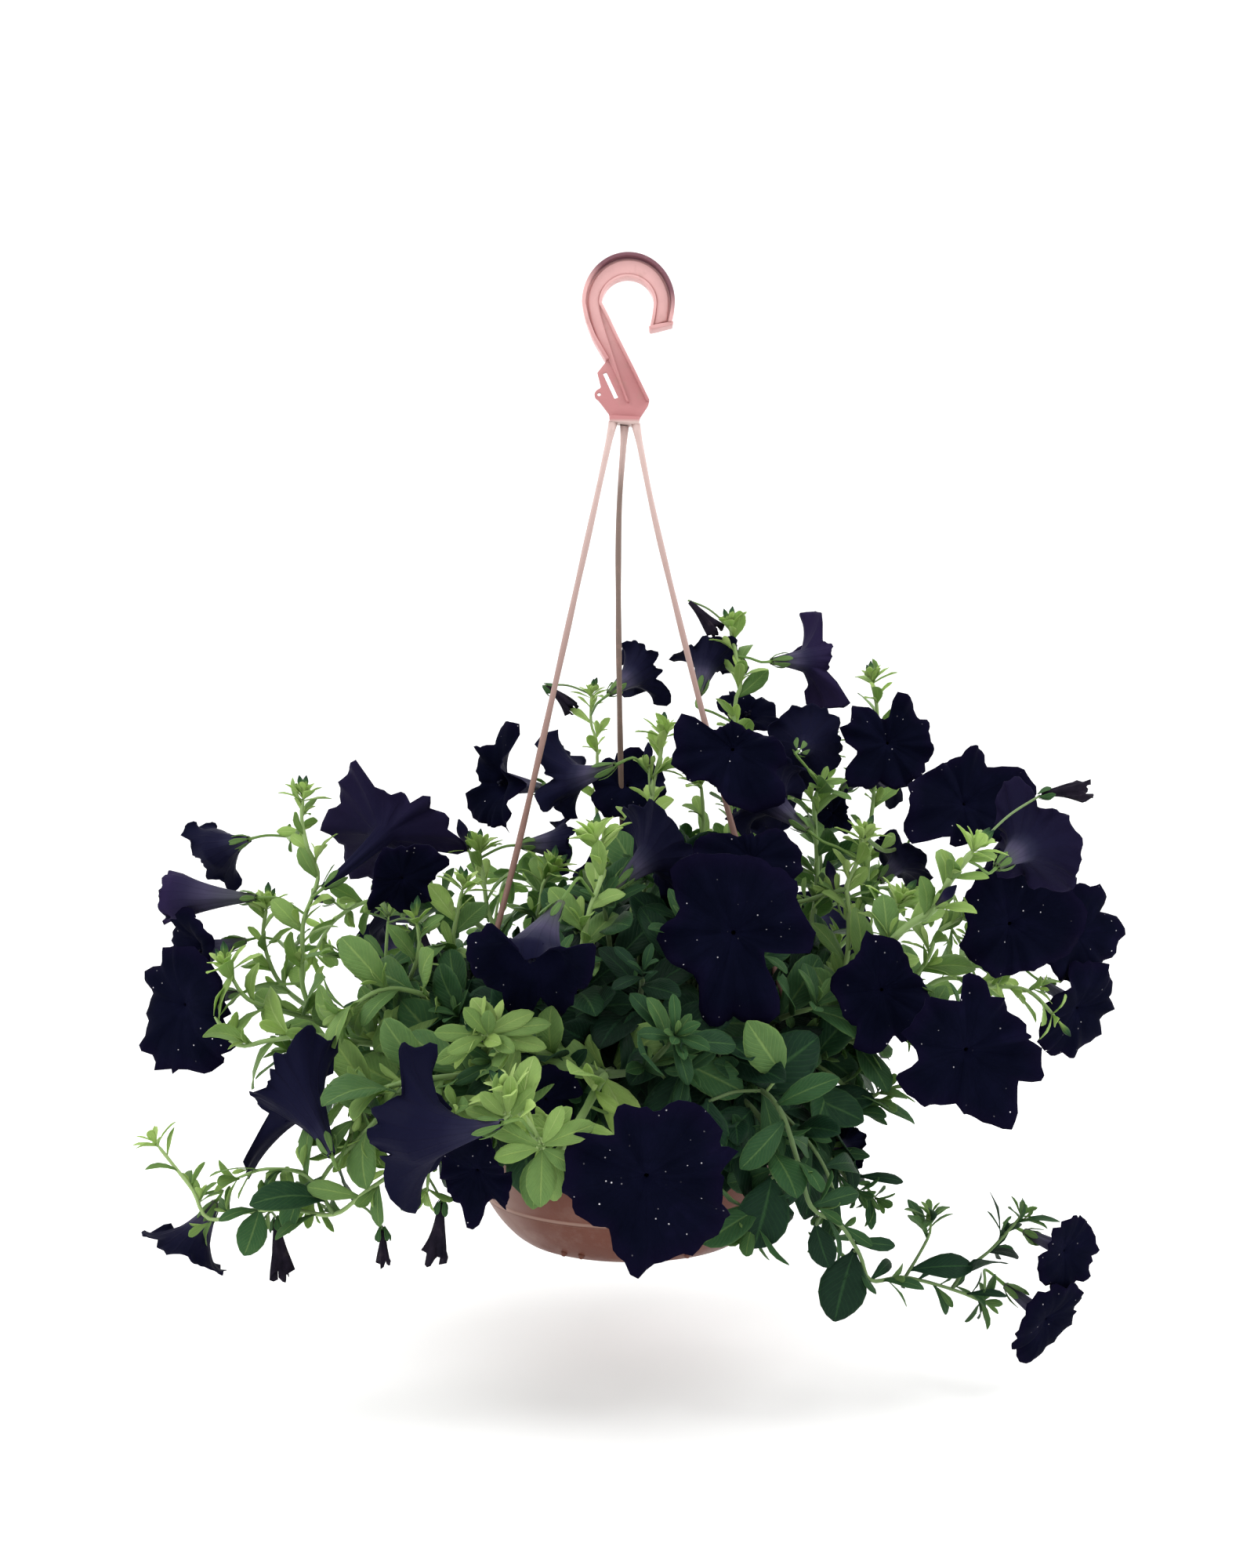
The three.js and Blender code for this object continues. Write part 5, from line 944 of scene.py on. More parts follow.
def petal_face_material():
    m, nt, bsdf, out = new_material("petal_velvet")
    obj, u, v, tone = coords(nt)
    base = ramp(nt, noise(nt, obj, 55, 4), [(0.25, (0.0020, 0.0026, 0.0085)), (0.6, (0.0032, 0.0038, 0.0130)), (0.85, (0.0056, 0.0054, 0.0210))])
    # veins that fan out from the throat
    veins = math_(nt, "ABSOLUTE", math_(nt, "SINE", math_(nt, "ADD", math_(nt, "MULTIPLY", u, 78.54), math_(nt, "MULTIPLY", noise(nt, obj, 90, 2), 1.6))))
    vein = math_(nt, "POWER", math_(nt, "SUBTRACT", 1.0, veins), 5.0, True)
    col = mix_rgb(nt, math_(nt, "MULTIPLY", vein, 0.15), base, (0.0004, 0.0004, 0.0018))
    # painted backlight glow: a breath of purple where the lobe thins to its edge
    col = mix_rgb(nt, ramp(nt, v, [(0.86, (0, 0, 0)), (1.0, (0.45, 0.45, 0.45))]), col, (0.006, 0.0035, 0.018))
    # painted light: the throat is painted a little lighter than the face, against the shade deep in it
    col = mix_rgb(nt, ramp(nt, v, [(0.50, (1, 1, 1)), (0.62, (0, 0, 0))]), col, (0.0050, 0.0056, 0.0200))
    # pollen and dust specks
    vo = node(nt, "ShaderNodeTexVoronoi", {"Scale": 175.0, "Randomness": 1.0}, feature="F1")
    nt.links.new(obj, vo.inputs["Vector"])
    near = nt.nodes.new("ShaderNodeMapRange")
    near.clamp = True
    for k, val in (("From Min", 0.045), ("From Max", 0.088), ("To Min", 1.0), ("To Max", 0.0)):
        near.inputs[k].default_value = val
    nt.links.new(vo.outputs["Distance"], near.inputs["Value"])
    sp = node(nt, "ShaderNodeSeparateColor")
    nt.links.new(vo.outputs["Color"], sp.inputs[0])
    rare = math_(nt, "GREATER_THAN", sp.outputs[0], 0.40)
    speck = math_(nt, "MULTIPLY", math_(nt, "MULTIPLY", near.outputs[0], rare), sp.outputs[1])
    limb = math_(nt, "GREATER_THAN", v, 0.56)
    col = mix_rgb(nt, math_(nt, "MULTIPLY", speck, limb), col, (0.80, 0.78, 0.84))
    nt.links.new(col, bsdf.inputs["Base Color"])
    bsdf.inputs["Roughness"].default_value = 0.78
    bsdf.inputs["Specular IOR Level"].default_value = 0.01
    bsdf.inputs["Sheen Weight"].default_value = 0.003
    bsdf.inputs["Sheen Roughness"].default_value = 0.45
    bsdf.inputs["Sheen Tint"].default_value = (0.45, 0.40, 0.85, 1)
    tr = add_translucent(nt, bsdf, out, (0.016, 0.006, 0.045), 0.07)
    bump(nt, math_(nt, "ADD", math_(nt, "MULTIPLY", vein, -0.15), noise(nt, obj, 420, 3)), 0.25, 0.0005, bsdf, tr)
    return m


def petal_back_material():
    m, nt, bsdf, out = new_material("petal_back")
    obj, u, v, tone = coords(nt)
    n1 = noise(nt, obj, 60, 3)
    along = math_(nt, "ADD", v, math_(nt, "MULTIPLY", math_(nt, "SUBTRACT", n1, 0.5), 0.10))
    # pale greenish tube darkening to navy lobes; the tube's paleness is partly its own colour and partly painted light
    # against the shade on it
    base = ramp(
        nt, along,
        [(0.0, (0.110, 0.135, 0.080)), (0.13, (0.085, 0.090, 0.105)), (0.34, (0.064, 0.058, 0.106)), (0.46, (0.0215, 0.0220, 0.0500)), (0.56, (0.0088, 0.0088, 0.0295)), (0.72, (0.0058, 0.0062, 0.0235)), (1.0, (0.0052, 0.0056, 0.0215))],
    )
    veins = math_(nt, "ABSOLUTE", math_(nt, "SINE", math_(nt, "ADD", math_(nt, "MULTIPLY", u, 47.12), math_(nt, "MULTIPLY", noise(nt, obj, 80, 2), 1.2))))
    vein = math_(nt, "POWER", math_(nt, "SUBTRACT", 1.0, veins), 4.0, True)
    col = mix_rgb(nt, math_(nt, "MULTIPLY", vein, 0.18), base, (0.008, 0.006, 0.018))
    # painted backlight glow: some blooms are painted a clearer purple towards the edge
    purple = math_(nt, "MULTIPLY", map_range(nt, tone, 0.36, 0.88, 0.0, 0.85), map_range(nt, v, 0.34, 0.62, 0.35, 1.0))
    col = mix_rgb(nt, purple, col, (0.0235, 0.0150, 0.0560))
    nt.links.new(col, bsdf.inputs["Base Color"])
    bsdf.inputs["Roughness"].default_value = 0.62
    bsdf.inputs["Specular IOR Level"].default_value = 0.04
    bsdf.inputs["Sheen Weight"].default_value = 0.02
    bsdf.inputs["Sheen Roughness"].default_value = 0.5
    bsdf.inputs["Sheen Tint"].default_value = (0.60, 0.55, 0.85, 1)
    tr = add_translucent(nt, bsdf, out, (0.036, 0.015, 0.090), 0.15)
    bump(nt, math_(nt, "ADD", math_(nt, "MULTIPLY", vein, 1.0), noise(nt, obj, 380, 3)), 0.35, 0.0006, bsdf, tr)
    return m


LEAF_STOPS = [
    (0.00, (0.0036, 0.0150, 0.0085)),
    (0.20, (0.0100, 0.0400, 0.0200)),
    (0.40, (0.0450, 0.1260, 0.0430)),
    (0.58, (0.1480, 0.2650, 0.0820)),
    (0.76, (0.3000, 0.4450, 0.1350)),
    (0.90, (0.4100, 0.5700, 0.1600)),
    (1.00, (0.5600, 0.7000, 0.2800)),
]


def leaf_material():
    m, nt, bsdf, out = new_material("leaf_green")
    obj, u, v, tone = coords(nt)
    n1 = noise(nt, obj, 38, 3)
    n2 = noise(nt, obj, 240, 3)
    t = math_(nt, "ADD", tone, math_(nt, "MULTIPLY", math_(nt, "SUBTRACT", n1, 0.5), 0.16))
    t = math_(nt, "ADD", t, math_(nt, "MULTIPLY", math_(nt, "SUBTRACT", n2, 0.5), 0.07))
    col = ramp(nt, t, LEAF_STOPS)
    x = math_(nt, "ABSOLUTE", math_(nt, "SUBTRACT", u, 0.5))
    # side veins, curving towards the tip
    ph = math_(nt, "MULTIPLY", math_(nt, "SUBTRACT", v, math_(nt, "MULTIPLY", x, 0.55)), 44.0)
    side = math_(nt, "POWER", math_(nt, "ABSOLUTE", math_(nt, "COSINE", ph)), 14.0, True)
    rib = band_mask(nt, u, 0.5, 0.012, 0.035)
    # painted backlight glow: the margins are mixed towards a paler green
    edge = ramp(nt, x, [(0.44, (0, 0, 0)), (0.50, (0.45, 0.45, 0.45))])
    pale = ramp(nt, math_(nt, "ADD", t, 0.20), LEAF_STOPS)
    light = math_(nt, "ADD", math_(nt, "MULTIPLY", rib, 0.75), math_(nt, "MULTIPLY", side, 0.22), True)
    col = mix_rgb(nt, light, col, pale)
    col = mix_rgb(nt, edge, col, pale)
    nt.links.new(col, bsdf.inputs["Base Color"])
    bsdf.inputs["Roughness"].default_value = 0.50
    bsdf.inputs["Specular IOR Level"].default_value = 0.13
    bsdf.inputs["Sheen Weight"].default_value = 0.045
    bsdf.inputs["Sheen Roughness"].default_value = 0.4
    bsdf.inputs["Sheen Tint"].default_value = (0.75, 0.9, 0.65, 1)
    thr = ramp(
        nt, t,
        [(0.0, (0.006, 0.026, 0.006)), (0.4, (0.070, 0.190, 0.030)), (0.75, (0.36, 0.62, 0.10)), (1.0, (0.62, 0.85, 0.26))],
    )
    tr = add_translucent(nt, bsdf, out, thr, 0.34)
    h = math_(nt, "ADD", math_(nt, "MULTIPLY", math_(nt, "ADD", rib, math_(nt, "MULTIPLY", side, 0.5)), -1.0), math_(nt, "MULTIPLY", n2, 0.6))
    bump(nt, h, 0.5, 0.0007, bsdf, tr)
    return m


def stem_material():
    m, nt, bsdf, out = new_material("stem_green")
    obj, u, v, tone = coords(nt)
    n1 = noise(nt, obj, 70, 4)
    t = math_(nt, "ADD", tone, math_(nt, "MULTIPLY", math_(nt, "SUBTRACT", n1, 0.5), 0.25))
    col = ramp(nt, t, [(0.0, (0.022, 0.045, 0.018)), (0.35, (0.085, 0.15, 0.050)), (0.65, (0.21, 0.34, 0.105)), (1.0, (0.38, 0.52, 0.20))])
    streak = node(nt, "ShaderNodeTexNoise", {"Scale": 1.0, "Detail": 2.0})
    mp = node(nt, "ShaderNodeCombineXYZ")
    nt.links.new(math_(nt, "MULTIPLY", u, 22.0), mp.inputs[0])
    nt.links.new(math_(nt, "MULTIPLY", v, 3.0), mp.inputs[1])
    nt.links.new(mp.outputs[0], streak.inputs["Vector"])
    col = mix_rgb(nt, math_(nt, "MULTIPLY", streak.outputs[0], 0.35), col, (0.10, 0.12, 0.05))
    nt.links.new(col, bsdf.inputs["Base Color"])
    bsdf.inputs["Roughness"].default_value = 0.5
    bsdf.inputs["Specular IOR Level"].default_value = 0.25
    bsdf.inputs["Sheen Weight"].default_value = 0.18
    bsdf.inputs["Sheen Tint"].default_value = (0.85, 1.0, 0.75, 1)
    bsdf.inputs["Subsurface Weight"].default_value = 0.0
    bump(nt, noise(nt, obj, 900, 3), 0.5, 0.0004, bsdf)
    return m


def anther_material():
    m, nt, bsdf, out = new_material("anther")
    obj, u, v, tone = coords(nt)
    col = ramp(nt, noise(nt, obj, 300, 3), [(0.3, (0.0030, 0.0034, 0.0110)), (0.7, (0.0060, 0.0064, 0.0180))])
    nt.links.new(col, bsdf.inputs["Base Color"])
    bsdf.inputs["Roughness"].default_value = 0.8
    bsdf.inputs["Specular IOR Level"].default_value = 0.1
    bump(nt, noise(nt, obj, 900, 2), 0.6, 0.0004, bsdf)
    return m


def dried_material():
    m, nt, bsdf, out = new_material("spent_petal")
    obj, u, v, tone = coords(nt)
    col = ramp(nt, noise(nt, obj, 120, 4), [(0.3, (0.0055, 0.0045, 0.0105)), (0.6, (0.015, 0.011, 0.021)), (0.85, (0.060, 0.048, 0.052))])
    nt.links.new(col, bsdf.inputs["Base Color"])
    bsdf.inputs["Roughness"].default_value = 0.8
    bsdf.inputs["Specular IOR Level"].default_value = 0.08
    bump(nt, noise(nt, obj, 260, 4), 0.8, 0.0012, bsdf)
    return m


def pot_material():
    m, nt, bsdf, out = new_material("pot_plastic_moulded")
    tc = node(nt, "ShaderNodeTexCoord")
    obj = tc.outputs["Object"]
    sep = node(nt, "ShaderNodeSeparateXYZ")
    nt.links.new(obj, sep.inputs[0])
    n1 = noise(nt, obj, 16, 4)
    col = ramp(nt, n1, [(0.25, (0.106, 0.031, 0.018)), (0.55, (0.124, 0.038, 0.023)), (0.85, (0.150, 0.050, 0.032))])
    # paler patches, more of them towards the foot of the wall
    low = nt.nodes.new("ShaderNodeMapRange")
    low.clamp = True
    for k, val in (("From Min", -0.595), ("From Max", -0.535), ("To Min", 0.55), ("To Max", 0.08)):
        low.inputs[k].default_value = val
    nt.links.new(sep.outputs[2], low.inputs["Value"])
    pale_low_patches = math_(nt, "MULTIPLY", ramp(nt, noise(nt, obj, 48, 6, 0.7), [(0.48, (0, 0, 0)), (0.72, (1, 1, 1))]), low.outputs[0])
    col = mix_rgb(nt, math_(nt, "MULTIPLY", pale_low_patches, 0.55), col, (0.36, 0.27, 0.23))
    # painted light: the thin upper wall is painted paler on the right, where light falls on it
    up = nt.nodes.new("ShaderNodeMapRange")
    up.clamp = True
    for k, val in (("From Min", -0.556), ("From Max", -0.522), ("To Min", 0.0), ("To Max", 1.0)):
        up.inputs[k].default_value = val
    nt.links.new(sep.outputs[2], up.inputs["Value"])
    right = nt.nodes.new("ShaderNodeMapRange")
    right.clamp = True
    for k, val in (("From Min", 0.066), ("From Max", 0.088), ("To Min", 0.0), ("To Max", 1.0)):
        right.inputs[k].default_value = val
    nt.links.new(sep.outputs[0], right.inputs["Value"])
    col = mix_rgb(nt, math_(nt, "MULTIPLY", math_(nt, "MULTIPLY", up.outputs[0], right.outputs[0]), 0.6), col, (0.42, 0.27, 0.23))
    # painted light: the left side of the wall is painted paler, where it catches the light
    left = nt.nodes.new("ShaderNodeMapRange")
    left.clamp = True
    for k, val in (("From Min", -0.072), ("From Max", -0.048), ("To Min", 0.42), ("To Max", 0.0)):
        left.inputs[k].default_value = val
    nt.links.new(sep.outputs[0], left.inputs["Value"])
    col = mix_rgb(nt, left.outputs[0], col, (0.34, 0.22, 0.185))
    # painted highlight: the moulded line is painted pale along its crest, where it catches the light
    crest = band_mask(nt, sep.outputs[2], -0.5646, 0.0004, 0.0007)
    painted_crest_highlight = math_(nt, "MULTIPLY", crest, math_(nt, "ADD", noise(nt, obj, 26, 2), 0.1), True)
    col = mix_rgb(nt, painted_crest_highlight, col, (0.52, 0.34, 0.28))
    nt.links.new(col, bsdf.inputs["Base Color"])
    rr = ramp(nt, noise(nt, obj, 30, 5, 0.65), [(0.3, (0.36, 0.36, 0.36)), (0.75, (0.58, 0.58, 0.58))])
    nt.links.new(rr, bsdf.inputs["Roughness"])
    bsdf.inputs["Specular IOR Level"].default_value = 0.26
    fine = math_(nt, "ADD", noise(nt, obj, 1400, 2), math_(nt, "MULTIPLY", noise(nt, obj, 60, 3), 0.6))
    bump(nt, fine, 0.18, 0.0004, bsdf)
    return m


def hanger_material():
    m, nt, bsdf, out = new_material("hanger_plastic_moulded")
    tc = node(nt, "ShaderNodeTexCoord")
    obj = tc.outputs["Object"]
    sep = node(nt, "ShaderNodeSeparateXYZ")
    nt.links.new(obj, sep.inputs[0])
    n1 = noise(nt, obj, 45, 4)
    col = ramp(nt, n1, [(0.25, (0.60, 0.335, 0.325)), (0.6, (0.67, 0.385, 0.375)), (0.85, (0.73, 0.44, 0.425))])
    # painted shade: the shank is painted a deeper pink than the lit crook
    col = mix_rgb(nt, map_range(nt, sep.outputs[2], -0.062, -0.020, 0.85, 0.0), col, (0.44, 0.165, 0.170))
    # the thin strands below the shank are paler, and painted brown with shade where they pass into the plant
    col = mix_rgb(nt, map_range(nt, sep.outputs[2], -0.0898, -0.0880, 1.0, 0.0), col, (0.56, 0.41, 0.38))
    low = map_range(nt, sep.outputs[2], -0.320, -0.105, 0.92, 0.0)
    col = mix_rgb(nt, low, col, (0.185, 0.092, 0.070))
    # painted shade: the rear strand is painted greyer than the two in front, for the shade it hangs in
    rear_strand_shade = math_(nt, "MULTIPLY", map_range(nt, sep.outputs[1], 0.002, 0.012, 0.0, 0.8), map_range(nt, sep.outputs[2], -0.130, -0.092, 1.0, 0.0))
    col = mix_rgb(nt, rear_strand_shade, col, (0.135, 0.095, 0.072))
    # the outer lip of the crook lies in its own shade
    ex = math_(nt, "DIVIDE", math_(nt, "SUBTRACT", sep.outputs[0], 0.0024), 0.0289)
    ez = math_(nt, "DIVIDE", math_(nt, "ADD", sep.outputs[2], 0.0161), 0.0312)
    er = math_(nt, "SQRT", math_(nt, "ADD", math_(nt, "MULTIPLY", ex, ex), math_(nt, "MULTIPLY", ez, ez)))
    lip = map_range(nt, er, 0.885, 0.915, 0.0, 1.0)
    over = map_range(nt, math_(nt, "ADD", ez, math_(nt, "MULTIPLY", ex, 0.35)), 0.05, 0.55, 0.0, 0.92)
    col = mix_rgb(nt, math_(nt, "MULTIPLY", lip, over), col, (0.125, 0.040, 0.062))
    dirt = ramp(nt, noise(nt, obj, 130, 5, 0.7), [(0.55, (0, 0, 0)), (0.8, (0.5, 0.5, 0.5))])
    col = mix_rgb(nt, dirt, col, (0.40, 0.24, 0.20))
    nt.links.new(col, bsdf.inputs["Base Color"])
    rr = ramp(nt, noise(nt, obj, 80, 5, 0.65), [(0.3, (0.34, 0.34, 0.34)), (0.75, (0.52, 0.52, 0.52))])
    nt.links.new(rr, bsdf.inputs["Roughness"])
    bsdf.inputs["Specular IOR Level"].default_value = 0.35
    bump(nt, math_(nt, "ADD", noise(nt, obj, 900, 2), math_(nt, "MULTIPLY", noise(nt, obj, 140, 3), 0.7)), 0.10, 0.0004, bsdf)
    return m


def soil_material():
    m, nt, bsdf, out = new_material("potting_mix_damp")
    tc = node(nt, "ShaderNodeTexCoord")
    obj = tc.outputs["Object"]
    n1 = noise(nt, obj, 160, 6, 0.7)
    col = ramp(nt, n1, [(0.3, (0.010, 0.0065, 0.0045)), (0.55, (0.032, 0.020, 0.013)), (0.72, (0.075, 0.048, 0.030))])
    vo = node(nt, "ShaderNodeTexVoronoi", {"Scale": 130.0}, feature="F1")
    nt.links.new(obj, vo.inputs["Vector"])
    sp = node(nt, "ShaderNodeSeparateColor")
    nt.links.new(vo.outputs["Color"], sp.inputs[0])
    grit = math_(nt, "MULTIPLY", math_(nt, "GREATER_THAN", sp.outputs[0], 0.88), math_(nt, "LESS_THAN", vo.outputs["Distance"], 0.28))
    col = mix_rgb(nt, grit, col, (0.55, 0.50, 0.42))
    nt.links.new(col, bsdf.inputs["Base Color"])
    bsdf.inputs["Roughness"].default_value = 0.95
    bsdf.inputs["Specular IOR Level"].default_value = 0.15
    bump(nt, math_(nt, "ADD", noise(nt, obj, 220, 6, 0.7), math_(nt, "MULTIPLY", vo.outputs["Distance"], 0.5)), 1.0, 0.002, bsdf)
    return m


def floor_material():
    m, nt, bsdf, out = new_material("pale_floor")
    tc = node(nt, "ShaderNodeTexCoord")
    col = ramp(nt, noise(nt, tc.outputs["Object"], 3, 3), [(0.3, (0.90, 0.90, 0.90)), (0.7, (0.93, 0.93, 0.93))])
    nt.links.new(col, bsdf.inputs["Base Color"])
    bsdf.inputs["Roughness"].default_value = 0.9
    bsdf.inputs["Specular IOR Level"].default_value = 0.1
    bsdf.inputs["Emission Color"].default_value = (1, 1, 1, 1)
    bsdf.inputs["Emission Strength"].default_value = 0.23
    return m


MAT = {
    "face": petal_face_material(),
    "back": petal_back_material(),
    "leaf": leaf_material(),
    "stem": stem_material(),
    "anther": anther_material(),
    "dried": dried_material(),
    "pot": pot_material(),
    "hanger": hanger_material(),
    "soil": soil_material(),
    "floor": floor_material(),
}
# ------------------------------------------------------------------ bowl
RIM_Z, BASE_Z, RIM_R, LUG_R, LUG_TOP = -466.0, -591.0, 105.0, 109.5, -474.0
LEGS = {"left": 210.0, "right": 330.0, "back": 90.0}


def polar(r, deg, z):
    a = math.radians(deg)
    return np.array([POT_X + r * math.cos(a), r * math.sin(a), z])


def rounded(points, radius, closed=True, steps=4):
    """A polygon's corners turned into short arcs."""
    pts = np.asarray(points, float)
    n = len(pts)
    out = []
    for i in range(n):
        p = pts[i]
        if not closed and i in (0, n - 1):
            out.append(p)
            continue
        a, c = pts[i - 1], pts[(i + 1) % n]
        da, dc = a - p, c - p
        la, lc = np.linalg.norm(da), np.linalg.norm(dc)
        k = min(radius, 0.42 * la, 0.42 * lc)
        p0, p1 = p + da / la * k, p + dc / lc * k
        for j in range(steps + 1):
            t = j / steps
            out.append((1 - t) ** 2 * p0 + 2 * t * (1 - t) * p + t * t * p1)
    return np.array(out)


def lathe_solid(b, profile, sides, tone=0.5, mat=0):
    """A closed profile (r, z), anticlockwise in (r, z), turned round the bowl's axis; points on the axis close it."""
    prof = np.asarray(profile, float)
    n = len(prof)
    a = np.arange(sides) / sides * 2 * math.pi
    P = np.zeros((n, sides, 3))
    P[..., 0] = POT_X + prof[:, 0, None] * np.cos(a)
    P[..., 1] = prof[:, 0, None] * np.sin(a)
    P[..., 2] = prof[:, 1, None]
    quads, uvs = grid(sides, n, True)
    on_axis = prof[:, 0] < 1e-6
    verts = P.reshape(-1, 3)
    faces, maps = [], []
    for q, m in zip(quads, uvs):
        j0, j1 = q[0] // sides, q[2] // sides
        if on_axis[j0] and on_axis[j1]:
            continue
        if on_axis[j0]:
            faces.append([j0 * sides, q[2], q[3], -1])
            maps.append([m[0], m[2], m[3], m[3]])
        elif on_axis[j1]:
            faces.append([q[0], q[1], j1 * sides, -1])
            maps.append([m[0], m[1], m[2], m[2]])
        else:
            faces.append(q)
            maps.append(m)
    faces = np.array(faces)
    used = np.unique(faces[faces >= 0])
    remap = -np.ones(len(verts) + 1, int)
    remap[used] = np.arange(len(used))
    b.add(verts[used], np.where(faces >= 0, remap[faces], -1), np.array(maps), tone, mat)


def box_mesh(centre, size, deg):
    """A small rounded block as a bmesh."""
    bm = bmesh.new()
    bmesh.ops.create_cube(bm, size=1.0)
    for v in bm.verts:
        v.co = Vector((v.co.x * size[0], v.co.y * size[1], v.co.z * size[2]))
    bmesh.ops.bevel(bm, geom=list(bm.edges), offset=0.7, segments=3, affect="EDGES", profile=0.5)
    bm.transform(Matrix.Translation(Vector(centre)) @ Matrix.Rotation(math.radians(deg), 4, "Z"))
    return bm


def object_from_bmesh(bm, name, material, nodes=(), scale=0.001, angle=0.6):
    for v in bm.verts:
        v.co *= scale
    me = bpy.data.meshes.new(name)
    bm.to_mesh(me)
    bm.free()
    me.materials.append(material)
    me.polygons.foreach_set("use_smooth", np.ones(len(me.polygons), bool))
    me.update()
    ob = bpy.data.objects.new(name, me)
    bpy.context.scene.collection.objects.link(ob)
    with bpy.context.temp_override(object=ob, selected_editable_objects=[ob], active_object=ob):
        bpy.ops.object.shade_smooth_by_angle(angle=angle)
    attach(ob, "root")
    if nodes:
        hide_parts(*nodes)
    return ob


def apply_boolean(ob, cutter, operation):
    md = ob.modifiers.new("b", "BOOLEAN")
    md.operation = operation
    md.solver = "EXACT"
    md.object = cutter
    dg = bpy.context.evaluated_depsgraph_get()
    me = bpy.data.meshes.new_from_object(ob.evaluated_get(dg))
    ob.modifiers.clear()
    old = ob.data
    ob.data = me
    bpy.data.meshes.remove(old)
    m2 = cutter.data
    bpy.data.objects.remove(cutter)
    bpy.data.meshes.remove(m2)


def loose(bm, name):
    me = bpy.data.meshes.new(name)
    bm.to_mesh(me)
    bm.free()
    ob = bpy.data.objects.new(name, me)
    bpy.context.scene.collection.objects.link(ob)
    return ob


def make_pot():
    outer = [
        (0, -591), (69, -591), (74.5, -587), (87.5, -571), (89.9, -566.6), (90.9, -566.2), (91.1, -565.0), (90.7, -564.0),
        (96.5, -553), (101, -535), (101.3, -482), (104, -479), (105, -474), (103.5, -466), (100, -466), (98.8, -482),
        (98.5, -534), (94.3, -551.5), (85.6, -569), (73, -584.5), (67.5, -588.4), (0, -588.4),
    ]
    soft = [outer[0], outer[1]]
    # soften the long curve between foot and wall
    curve = catmull([(69, -591, 0), (74.5, -587, 0), (82, -579, 0), (87.5, -571, 0), (89.9, -566.6, 0)], 2.0)[:, :2]
    soft += [tuple(p) for p in curve[1:]]
    soft += [(90.9, -566.2), (91.1, -565.0), (90.7, -564.0)]
    curve = catmull([(90.7, -564, 0), (94.2, -558.5, 0), (96.5, -553, 0), (99.6, -543.5, 0), (101, -535, 0), (101.3, -510, 0), (101.3, -482, 0)], 3.0)[:, :2]
    soft += [tuple(p) for p in curve[1:]]
    soft += [tuple(p) for p in rounded([(101.3, -482), (104, -479), (105, -474), (104.6, -467), (103.2, -466), (100.6, -466), (100, -468), (98.8, -482)], 1.2, False, 3)[1:]]
    curve = catmull([(98.8, -482, 0), (98.5, -534, 0), (94.3, -551.5, 0), (85.6, -569, 0), (73, -584.5, 0), (67.5, -588.4, 0)], 3.0)[:, :2]
    soft += [tuple(p) for p in curve[1:]]
    soft += [(0, -588.4)]
    b = Build()
    lathe_solid(b, soft, 96)
    v, q = np.vstack(b.v), np.vstack(b.q)
    me = bpy.data.meshes.new("bowl")
    me.from_pydata(v.tolist(), [], [[i for i in f if i >= 0] for f in q.tolist()])
    ob = bpy.data.objects.new("bowl", me)
    bpy.context.scene.collection.objects.link(ob)
    for name, deg in LEGS.items():
        c = polar(LUG_R - 1.2, deg, LUG_TOP - 2.0)
        # the lug starts inside the wall's thickness so that the bowl stays clear within
        c = polar(LUG_R + 0.7, deg, LUG_TOP - 2.0)
        apply_boolean(ob, loose(box_mesh(c, (14.6, 17.0, 4.0), deg), "lug"), "UNION")
    for name, deg in LEGS.items():
        bm = bmesh.new()
        bmesh.ops.create_cone(bm, cap_ends=True, segments=32, radius1=3.2, radius2=3.2, depth=20)
        bm.transform(Matrix.Translation(Vector(polar(LUG_R, deg, LUG_TOP - 2.0))))
        apply_boolean(ob, loose(bm, "hole"), "DIFFERENCE")
    for deg in (238, 247, 286, 296, 90):
        bm = bmesh.new()
        bmesh.ops.create_uvsphere(bm, u_segments=14, v_segments=10, radius=2.1)
        bm.transform(Matrix.Translation(Vector(polar(74, deg, -587.4))))
        apply_boolean(ob, loose(bm, "nub"), "UNION")
    for z in (-528.5, -541.0):
        bm = bmesh.new()
        bmesh.ops.create_cone(bm, cap_ends=True, segments=24, radius1=1.8, radius2=1.8, depth=30)
        bm.transform(
            Matrix.Translation(Vector((POT_X, 0, 0))) @ Matrix.Rotation(math.radians(-18), 4, "Z")
            @ Matrix.Translation(Vector((98, 0, z))) @ Matrix.Rotation(math.pi / 2, 4, "Y")
        )
        apply_boolean(ob, loose(bm, "vent"), "DIFFERENCE")
    bm = bmesh.new()
    bm.from_mesh(ob.data)
    old = ob.data
    bpy.data.objects.remove(ob)
    bpy.data.meshes.remove(old)
    return object_from_bmesh(bm, "bowl", MAT["pot"], ["pot"], angle=0.55)


